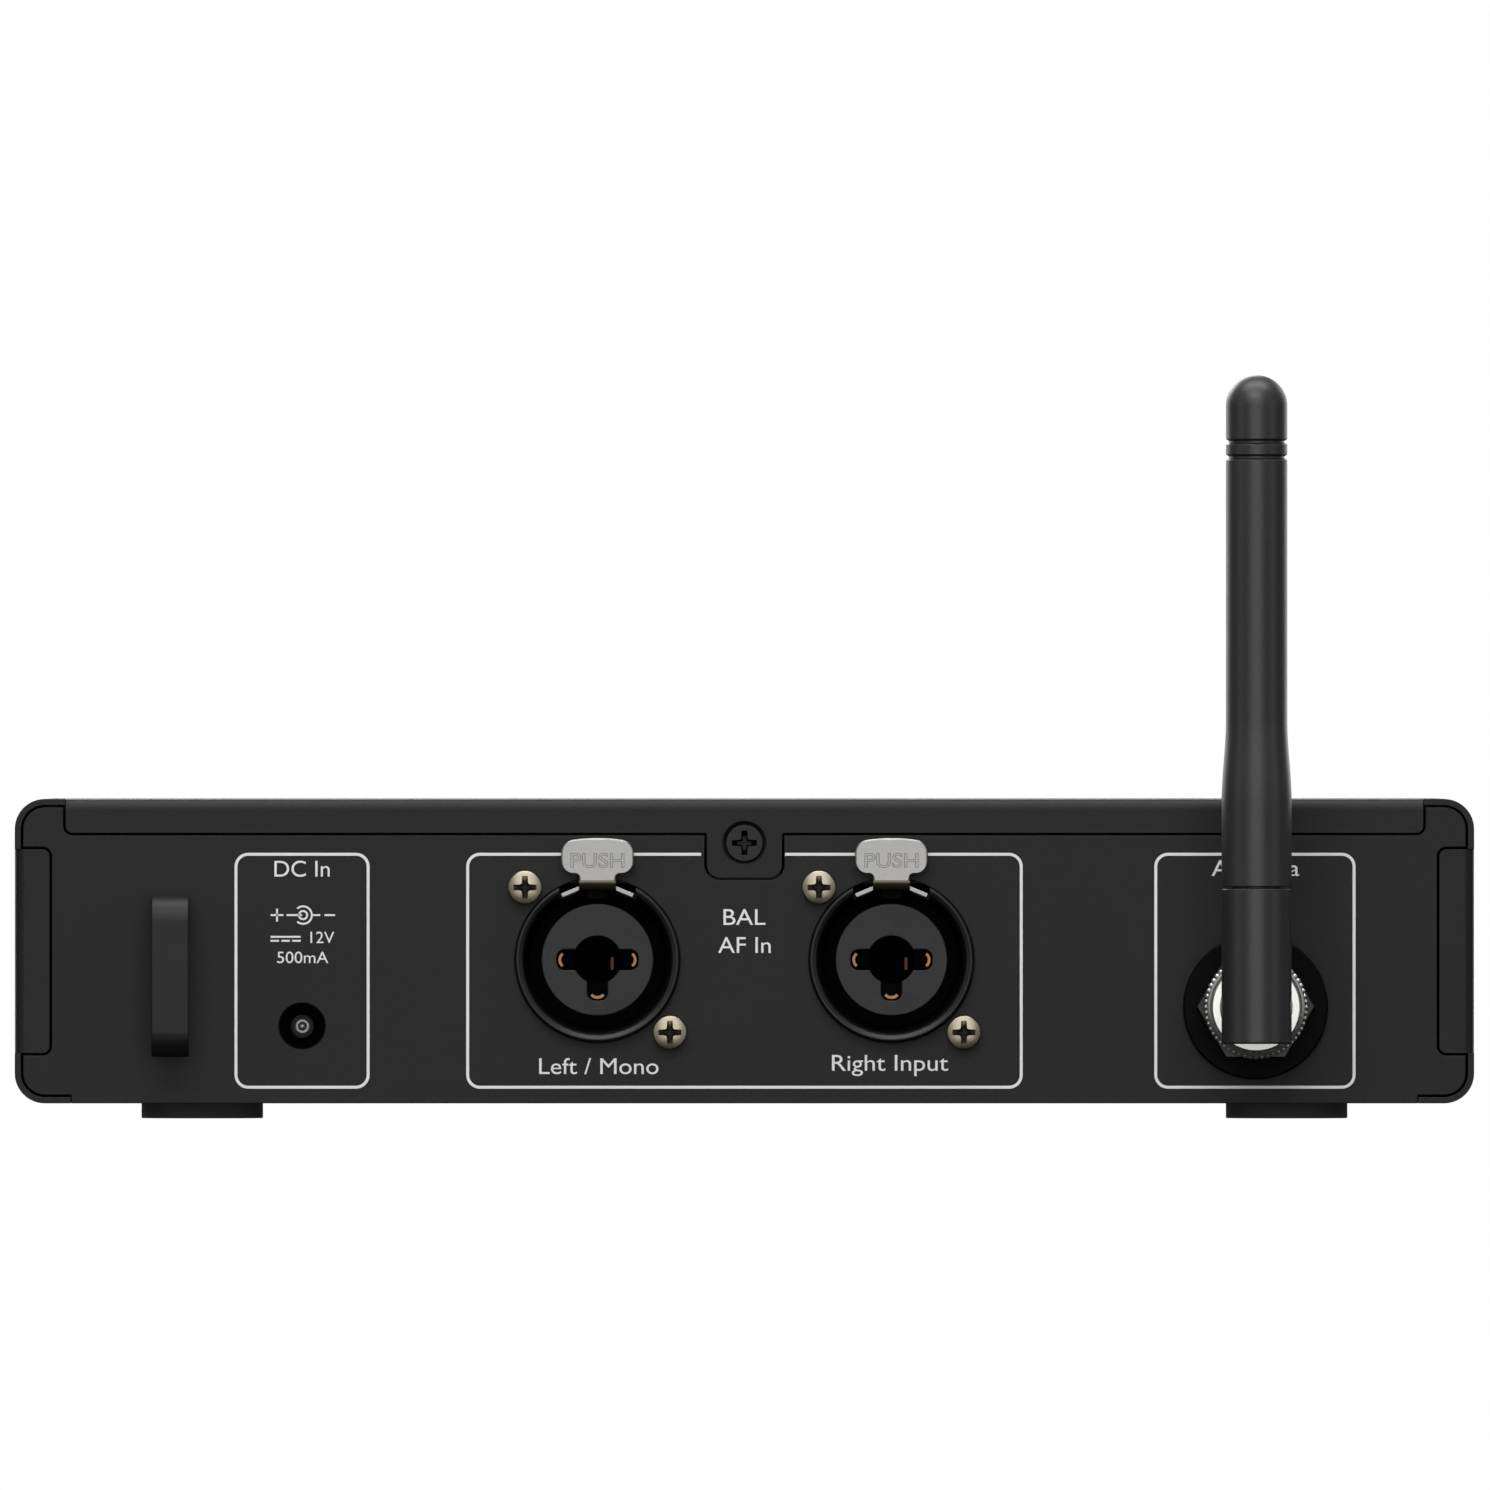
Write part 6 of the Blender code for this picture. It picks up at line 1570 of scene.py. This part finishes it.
# ---------------------------------------------------------------- print
@dataclass
class RearPrint:
    """The screen print of the rear panel: three frames and their functional legends."""

    line: float = 0.42
    corner: float = 1.95
    top: float = 38.0
    foot: float = 4.3
    title: float = 2.25
    small: float = 1.62

    def __post_init__(self) -> None:
        """Reads the panel's face and the connectors' places from the frame."""
        self.y = span("chassis_tray")[1].y
        self.left = middle("jack_left_insert").x
        self.inlet = middle("dc_pin").x
        self.antenna = middle("bnc_socket").x
        self.low = self.y + PRINT_LIFT

    def stroke(self, solid: Solid, path: Outline, width: float) -> None:
        """Adds a printed line along a path."""
        solid.prism(strip(path, width), self.low, self.low + PRINT_THICKNESS, Axis.Y)

    def frame(self, solid: Solid, left: float, right: float) -> None:
        """Adds a closed frame with rounded corners."""
        size = (left - right, self.top - self.foot)
        corners = rectangle(*size, self.corner, ((left + right) / 2, (self.top + self.foot) / 2))
        inner = rounded(corners, self.line)
        solid.plate(rounded(corners), self.low, self.low + PRINT_THICKNESS, Axis.Y, (inner,), 0.001, 0)

    def build_frames(self) -> None:
        """The frames round the power inlet, the inputs and the antenna socket."""
        print_frames = Solid()
        self.frame(print_frames, self.inlet + 9.65, self.inlet - 9.65)
        self.frame(print_frames, self.antenna + 14.45, self.antenna - 14.3)
        half, inset = 39.75, self.line / 2
        path = [
            (6.2, self.top - inset, 0),
            (half - inset, self.top - inset, self.corner - inset),
            (half - inset, self.foot + inset, self.corner - inset),
            (-half + inset, self.foot + inset, self.corner - inset),
            (-half + inset, self.top - inset, self.corner - inset),
            (-5.8, self.top - inset, 0),
        ]
        self.stroke(print_frames, rounded(path, closed=False), self.line)
        publish(Listing("print_frames", PRINT_INK, "panel_paint"), print_frames)

    def build_legends(self) -> None:
        """The functional legends, each with its width, capital height and place."""
        tall, small, inlet = self.title, self.small, self.inlet
        legends = Solid()
        for words, width, height, x, z in (
            ("DC In", 7.9, tall, inlet, 34.6),
            ("12V", 3.4, small, inlet - 2.9, 25.1),
            ("500mA", 7.3, small, inlet - 0.1, 22.25),
            ("BAL", 6.0, tall, 0.0, 27.7),
            ("AF In", 7.5, tall, 0.0, 23.7),
            ("Left / Mono", 17.05, tall, self.left - 0.2, 6.4),
            ("Right Input", 16.6, tall, -self.left + 0.2, 6.87),
            ("Antenna", 12.5, tall, self.antenna, 34.7),
        ):
            place = upright(x, self.low + PRINT_THICKNESS / 2, z)
            legends.text(words, height, place, width=width)
        publish(Listing("print_legends", PRINT_INK, "panel_paint"), legends)

    def build_symbols(self) -> None:
        """The polarity symbol and the direct-current symbol over the inlet."""
        symbols = Solid()
        x, z, width = self.inlet, 29.1, 0.27
        across = [((4.5, 0), (2.65, 0)), ((2.2, 0), (0.0, 0)), ((-1.5, 0), (-2.6, 0)), ((-3.2, 0), (-4.7, 0))]
        across.append(((3.58, -0.92), (3.58, 0.92)))
        for (u0, v0), (u1, v1) in across:
            self.stroke(symbols, [(x + u0, z + v0), (x + u1, z + v1)], width)
        centre = (x - 0.15, z)
        hole = (circle(0.45, centre, 48),)
        symbols.plate(circle(0.72, centre, 48), self.low, self.low + PRINT_THICKNESS, Axis.Y, hole, 0.001, 0)
        self.stroke(symbols, arc(centre, 1.25, 48, 312, 40), width)
        z = 26.0
        self.stroke(symbols, [(x + 4.5, z), (x + 0.2, z)], width)
        for u in (4.5, 2.95, 1.4):
            self.stroke(symbols, [(x + u, z - 0.57), (x + u - 1.2, z - 0.57)], width)
        publish(Listing("print_symbols", PRINT_INK, "panel_paint"), symbols)

    def build(self) -> None:
        """Builds the whole print."""
        self.build_frames()
        self.build_legends()
        self.build_symbols()


# ---------------------------------------------------------------- front
@dataclass
class FrontPanel:
    """The moulded front with its display, keys, knob and headphone socket."""

    wall: float = 3.0
    rim: float = 2.0
    corner: float = 4.3
    lens_corner: float = 1.5
    key_cap: Triple = (9.0, 6.0, 1.2)
    power_cap: Triple = (9.5, 9.5, 2.2)
    phones_hole: float = 5.8
    knob_hole: float = 4.8
    ribs: int = 40
    threads: int = 6
    keys: tuple[str, ...] = ("key_up", "key_down", "key_set", "key_escape", "key_sync")

    def __post_init__(self) -> None:
        """Reads the front's place from the frame."""
        self.low, self.high = span("front_panel")
        self.mid = (self.low.z + self.high.z) / 2
        self.size = (self.high.x - self.low.x, self.high.z - self.low.z)

    def around_cap(self, node: str, margin: float) -> Outline:
        """Outline of a key's cap, made larger by a margin."""
        cap = self.power_cap if node == "power_button" else self.key_cap
        centre = middle(node)
        return rounded(rectangle(*cap, (centre.x, centre.z)), -margin)

    def build_shell(self) -> None:
        """The front wall with its holes and the skirt behind it."""
        lens_low, lens_high = span("display_lens")
        centre = middle("display_lens")
        size = (lens_high.x - lens_low.x, lens_high.z - lens_low.z)
        lens = rectangle(*size, self.lens_corner, (centre.x, centre.z))
        phones, knob = middle("phones_nut"), middle("volume_knob")
        holes = [self.around_cap(node, GAP) for node in (*self.keys, "ir_window", "power_button")]
        holes.append(circle(self.phones_hole, (phones.x, phones.z), 64))
        holes.append(circle(self.knob_hole, (knob.x, knob.z), 64))
        holes.append(rounded(lens, -GAP))
        front = self.low.y
        outer = rectangle(*self.size, self.corner, (0, self.mid))
        outline = rounded(outer, steps=12)
        wall = Solid().plate(outline, front, front + self.wall, Axis.Y, tuple(holes), 0.35, 3)
        seat = rounded(lens, -GAP - 0.3)
        wall.plate(seat, front + 1.8, front + self.wall - 0.1, Axis.Y, (rounded(lens, 2.0),), 0.1)
        skirt = rounded(outer, 0.02, steps=12)
        wall.plate(skirt, front + 2.0, self.high.y, Axis.Y, (rounded(outer, self.rim, steps=12),), 0.15)
        publish(Listing("front_shell", FRONT_ABS, "front_moulding", nodes=("front_panel",)), wall)

    def build_display(self) -> None:
        """The tinted lens and the display module, with a plain level pattern behind it."""
        low, high = span("display_lens")
        centre = middle("display_lens")
        size = (high.x - low.x, high.z - low.z)
        outline = rounded(rectangle(*size, self.lens_corner, (centre.x, centre.z)))
        lens = Solid().plate(outline, low.y, high.y, Axis.Y, edge=0.2)
        publish(Listing("lens_window", LENS_ACRYLIC, "lens_tint", nodes=("display_lens",)), lens)
        dress("display_module", DISPLAY_GLASS)
        face = span("display_module")[0].y
        bars = Solid()
        for row, z in enumerate((self.mid + 4.0, self.mid - 4.0)):
            for i in range(18 - 4 * row):
                outline = rounded(rectangle(1.6, 3.2, 0.2, (low.x + 10 + 2.3 * i, z)), steps=2)
                bars.plate(outline, face - 0.12, face - 0.02, Axis.Y, edge=0.01, steps=0)
        publish(Listing("display_levels", PRINT_INK, "display"), bars)

    def build_caps(self) -> None:
        """The keys, the power button and the infrared window, each with its flange; the keys and the button
        also get a stem.
        """
        back = self.low.y + self.wall + GAP
        for node in (*self.keys, "power_button", "ir_window"):
            low, high = span(node)
            centre = middle(node)
            shape = Solid().plate(self.around_cap(node, 0.0), low.y, back + 0.2, Axis.Y, edge=0.35, steps=3)
            shape.plate(self.around_cap(node, 1.2), back, back + 1.0, Axis.Y, edge=0.1)
            if node == "ir_window":
                publish(Listing("infrared_window", LENS_ACRYLIC, "lens_tint", nodes=(node,)), shape)
                continue
            stem = [(0, back + 0.8), (1.5, back + 0.8), (1.5, high.y), (0, high.y)]
            shape.lathe(stem, Axis.Y, (centre.x, centre.z), 24)
            body = "power" if node == "power_button" else node.removeprefix("key_")
            publish(Listing(f"{node}_cap", KEY_ABS, "key_moulding", body, (node,)), shape)
            self.build_mark(node, body, Vector((centre.x, low.y, centre.z)))

    def build_mark(self, node: str, body: str, place: Vector) -> None:
        """The printed mark on a cap: an arrow, a dot, a bar, a link or a power ring."""
        x, y, z = place.x, place.y - PRINT_LIFT, place.z
        mark = Solid()

        def ink(outline: Outline) -> None:
            """Prints one closed shape."""
            mark.prism(outline, y - PRINT_THICKNESS, y, Axis.Y)

        if node in ("key_up", "key_down"):
            tip = 1.0 if node == "key_up" else -1.0
            ink([(x - 1.2, z - 0.6 * tip), (x + 1.2, z - 0.6 * tip), (x, z + 0.9 * tip)])
        elif node == "key_set":
            ink(circle(0.8, (x, z), 32))
        elif node == "key_escape":
            ink(rounded(rectangle(2.4, 0.6, 0.1, (x, z)), steps=2))
        elif node == "key_sync":
            for side, start in ((-0.85, 45), (0.85, 225)):
                ink(strip(arc((x + side, z), 0.75, start, start + 270, 24), 0.3))
            ink(rounded(rectangle(1.5, 0.3, 0.1, (x, z)), steps=2))
        else:
            ink(strip(arc((x, z), 1.9, 120, 420, 40), 0.4))
            ink(rounded(rectangle(0.4, 1.9, 0.1, (x, z + 1.6)), steps=2))
        publish(Listing(f"{node}_mark", PRINT_INK, "key_moulding", body), mark)

    def build_knob(self) -> None:
        """The volume knob with its fluted skirt and pointer line."""
        low, high = span("volume_knob")
        centre = middle("volume_knob")
        place = (centre.x, centre.z)
        r = (high.x - low.x) / 2
        front, back = low.y, high.y
        profile = [(0, front + 0.35), (r - 2.2, front + 0.3), (r - 1.6, front)]
        profile += arc((r - 1.2, front + 0.8), 0.8, 270, 360, 6)
        profile += [(r - 0.4, back - 1.4), (r, back - 1.2), (r, back - 0.2), (r - 0.2, back)]
        profile += [(3.3, back), (3.3, back - 9.3), (0, back - 9.3)]
        knob = Solid().lathe(profile, Axis.Y, place, 128)
        publish(Listing("volume_knob_body", KNOB_ABS, "knob_moulding", "volume", ("volume_knob",)), knob)
        length = (back - 1.3) - (front + 1.2)
        rib = Solid().lathe([(0, 0), (0.3, 0.3), (0.34, length - 0.4), (0, length)], Axis.Z, steps=8)
        matrix = Matrix.Translation((place[0], front + 1.2, place[1])) @ ABOUT_Y
        ribs = ring(rib, self.ribs, r - 0.42, KNOB_ABS, matrix)
        publish(Listing("volume_knob_ribs", KNOB_ABS, "knob_moulding", "volume", ("volume_knob",)), ribs)
        pointer = rounded(rectangle(0.7, 2.9, 0.2, (place[0], place[1] + r - 2.9)), steps=3)
        line = Solid().plate(pointer, front, front + 0.5, Axis.Y, edge=0.05)
        publish(Listing("volume_pointer", PRINT_INK, "knob_moulding", "volume"), line)

    def build_phones(self) -> None:
        """The headphone socket: body, threaded bush and notched ring nut."""
        low, high = span("phones_jack")
        centre = middle("phones_nut")
        place = (centre.x, centre.z)
        back = self.low.y + self.wall + GAP
        box = rounded(rectangle(high.x - low.x, high.z - low.z, 0.5, place))
        body = Solid().plate(box, back, high.y, Axis.Y, (circle(3.25, place, 48),), 0.2)
        profile = [(3.25, low.y + 0.4), (3.6, low.y), (5.2, low.y)]
        for i in range(self.threads):
            y = low.y + 0.25 + i * 0.5
            profile += [(5.5, y), (5.25, y + 0.25)]
        profile += [(5.5, low.y + 3.3), (5.5, back + 1.0), (3.25, back + 1.0)]
        body.lathe(profile, Axis.Y, place, 96)
        publish(Listing("headphone_socket", NYLON, "connector_black", nodes=("phones_jack",)), body)
        low, high = span("phones_nut")
        r = (high.x - low.x) / 2
        profile = [(5.8, low.y + 0.2), (6.0, low.y), (r - 0.5, low.y)]
        profile += [*arc((r - 0.5, low.y + 0.5), 0.5, 270, 360, 5), (r, high.y), (5.8, high.y)]
        nut = Solid().lathe(profile, Axis.Y, place, 96)
        notches = Solid()
        for angle in (45, 135, 225, 315):
            u, v = arc(place, r - 0.2, angle, angle, 1)[0]
            notches.prism(circle(0.7, (u, v), 24), low.y - 1, low.y + 1.2, Axis.Y)
        listing = Listing("headphone_ring_nut", TURNED_NICKEL, "nickel", nodes=("phones_nut",))
        publish(listing, nut, (notches,))

    def build(self) -> None:
        """Builds the whole front."""
        self.build_shell()
        self.build_display()
        self.build_caps()
        self.build_knob()
        self.build_phones()


# ---------------------------------------------------------------- inside
@dataclass
class Inside:
    """Boards, shield, cables and the small parts that the case hides."""

    conductors: int = 17

    def build_ribbon(self) -> None:
        """The flat cable: round conductors side by side."""
        low, high = span("ribbon_cable")
        pitch = (high.x - low.x) / self.conductors
        radius = 0.2
        front, bottom = low.y + radius, low.z + radius
        corners = [(high.y, bottom, 0), (front, bottom, 2.0), (front, high.z, 0)]
        path = [Vector((0, u, v)) for u, v in rounded(corners, steps=8, closed=False)]
        conductor = Solid().tube(path, radius, 8)
        places = [Vector((low.x + pitch * (i + 0.5), 0, 0)) for i in range(self.conductors)]
        cable = copies(conductor, places, RIBBON_PVC)
        publish(Listing("flat_cable", RIBBON_PVC, "ribbon", nodes=("ribbon_cable",)), cable)

    def build(self) -> None:
        """Dresses the nodes that keep their shape and builds the ribbon."""
        for node, finish in (
            ("main_board", BOARD_GREEN),
            ("front_board", BOARD_GREEN),
            ("rf_shield", SHIELD_TIN),
            ("volume_pot", SHIELD_TIN),
            ("volume_shaft", TURNED_NICKEL),
            ("antenna_pigtail", CABLE_PVC),
            ("capacitor", SLEEVE_FILM),
        ):
            dress(node, finish)
        self.build_ribbon()


# ---------------------------------------------------------------- studio
@dataclass
class Studio:
    """Camera level with the middle of the view, soft lights, a pale floor and a white surround."""

    lens: float = 1600.0
    sensor: float = 36.0
    view_width: float = 212.86
    view_height: float = 53.4
    view_side: float = -0.08

    def build(self) -> None:
        """Sets up everything that isn't the unit."""
        self.build_camera()
        self.build_floor()
        self.build_world()
        self.light("key", (0.2, 1.6, 1.6), 1.6, 0.8, 20.0)
        self.light("fill", (0.0, 2.6, 0.35), 2.0, 2.0, 22.0)
        self.light("top", (0.0, 0.1, 1.3), 1.4, 0.5, 12.0)
        self.light("side_left", (2.0, 1.1, 0.3), 0.7, 1.2, 3.0)
        self.light("side_right", (-2.0, 1.1, 0.3), 0.7, 1.2, 3.0)
        self.light("rim_left", (1.0, -1.5, 0.3), 1.0, 1.4, 9.0)
        self.light("rim_right", (-1.0, -1.5, 0.3), 1.0, 1.4, 9.0)
        self.light("far_side", (0.5, -1.8, 0.9), 1.4, 0.8, 16.0)
        bpy.context.scene.view_settings.view_transform = "Standard"

    def build_camera(self) -> None:
        """A long lens that looks square at the rear panel."""
        data = bpy.data.cameras.new("camera")
        data.lens, data.sensor_width = self.lens, self.sensor
        data.clip_end = 100.0
        camera = bpy.data.objects.new("camera", data)
        panel = span("chassis_tray")[1].y
        distance = self.view_width * self.lens / self.sensor
        camera.location = Vector((self.view_side, panel + distance, self.view_height)) * TO_METRES
        camera.rotation_euler = (math.pi / 2, 0, math.pi)
        bpy.context.scene.collection.objects.link(camera)
        bpy.context.scene.camera = camera

    def build_floor(self) -> None:
        """A wide, evenly lit white floor under the feet. It takes no part in lighting the unit."""
        bm = bmesh.new()
        bmesh.ops.create_grid(bm, x_segments=1, y_segments=1, size=12.0)
        mesh = bpy.data.meshes.new("floor")
        bm.to_mesh(mesh)
        bm.free()
        floor = bpy.data.objects.new("floor", mesh)
        bpy.context.scene.collection.objects.link(floor)
        finish = bpy.data.materials.new("white_sweep")
        finish.use_nodes = True
        shader = finish.node_tree.nodes["Principled BSDF"]
        shader.inputs["Base Color"].default_value = (0, 0, 0, 1)
        shader.inputs["Roughness"].default_value = 1.0
        shader.inputs["Specular IOR Level"].default_value = 0.0
        shader.inputs["Emission Color"].default_value = (1, 1, 1, 1)
        shader.inputs["Emission Strength"].default_value = 1.0
        mesh.materials.append(finish)
        floor.visible_diffuse = False
        floor.visible_glossy = False

    def build_world(self) -> None:
        """White to the camera, dimmer as light, and darker below than above."""
        world = bpy.data.worlds.new("surround")
        world.use_nodes = True
        tree = world.node_tree
        tree.nodes.clear()
        direction = add_node(tree, "ShaderNodeTexCoord").outputs["Generated"]
        height = add_node(tree, "ShaderNodeSeparateXYZ", {0: direction}).outputs["Z"]
        inputs = {"Value": height, "From Min": -0.4, "From Max": 0.9, "To Min": 0.04, "To Max": 0.5}
        sky = add_node(tree, "ShaderNodeMapRange", inputs).outputs["Result"]
        seen = add_node(tree, "ShaderNodeLightPath").outputs["Is Camera Ray"]
        dim = add_node(tree, "ShaderNodeBackground", {"Color": (1, 1, 1, 1), "Strength": sky}).outputs[0]
        white = add_node(tree, "ShaderNodeBackground", {"Color": (1, 1, 1, 1), "Strength": 1.0}).outputs[0]
        mixed = add_node(tree, "ShaderNodeMixShader", {0: seen, 1: dim, 2: white}).outputs[0]
        add_node(tree, "ShaderNodeOutputWorld", {"Surface": mixed})
        bpy.context.scene.world = world

    def light(self, name: str, place: Triple, width: float, height: float, power: float) -> None:
        """Adds a soft rectangular light that faces the unit and isn't seen itself.

        Args:
            name: The light's name.
            place: Where it stands, in metres.
            width: Its width, in metres.
            height: Its height, in metres.
            power: Its power, in watts.
        """
        data = bpy.data.lights.new(name, "AREA")
        data.shape, data.size, data.size_y, data.energy = "RECTANGLE", width, height, power
        lamp = bpy.data.objects.new(name, data)
        lamp.location = place
        lamp.rotation_euler = (Vector((0, 0, 0.03)) - Vector(place)).to_track_quat("-Z", "Y").to_euler()
        lamp.visible_camera = False
        bpy.context.scene.collection.objects.link(lamp)


def main() -> None:
    """Builds the studio, then every sub-assembly in order."""
    logging.basicConfig(level=logging.INFO, format="%(name)s: %(message)s")
    for name in STARTUP_OBJECTS:
        if name in bpy.data.objects:
            bpy.data.objects.remove(bpy.data.objects[name])
    Studio().build()
    cover = Cover()
    cover.build()
    Tray().build(cover)
    Feet().build()
    ComboJack("jack_left", "latch_left").build()
    ComboJack("jack_right", "latch_right").build()
    nodes = tuple(f"jack_{side}_screw_{end}" for side in ("left", "right") for end in ("upper", "lower"))
    CrossScrew().build_group(Listing("jack_screws", SCREW_NICKEL, "screw_steel", nodes=nodes), Axis.Y)
    board_screw = CrossScrew(head_radius=2.6, head_height=1.6, length=3.2)
    nodes = ("board_screw_left", "board_screw_right")
    board_screw.build_group(Listing("board_screws", SCREW_NICKEL, "screw_steel", nodes=nodes), Axis.Z)
    PowerInlet().build()
    CableHook().build()
    AntennaPort().build()
    Antenna().build()
    RearPrint().build()
    FrontPanel().build()
    Inside().build()


if __name__ == "__main__":
    main()
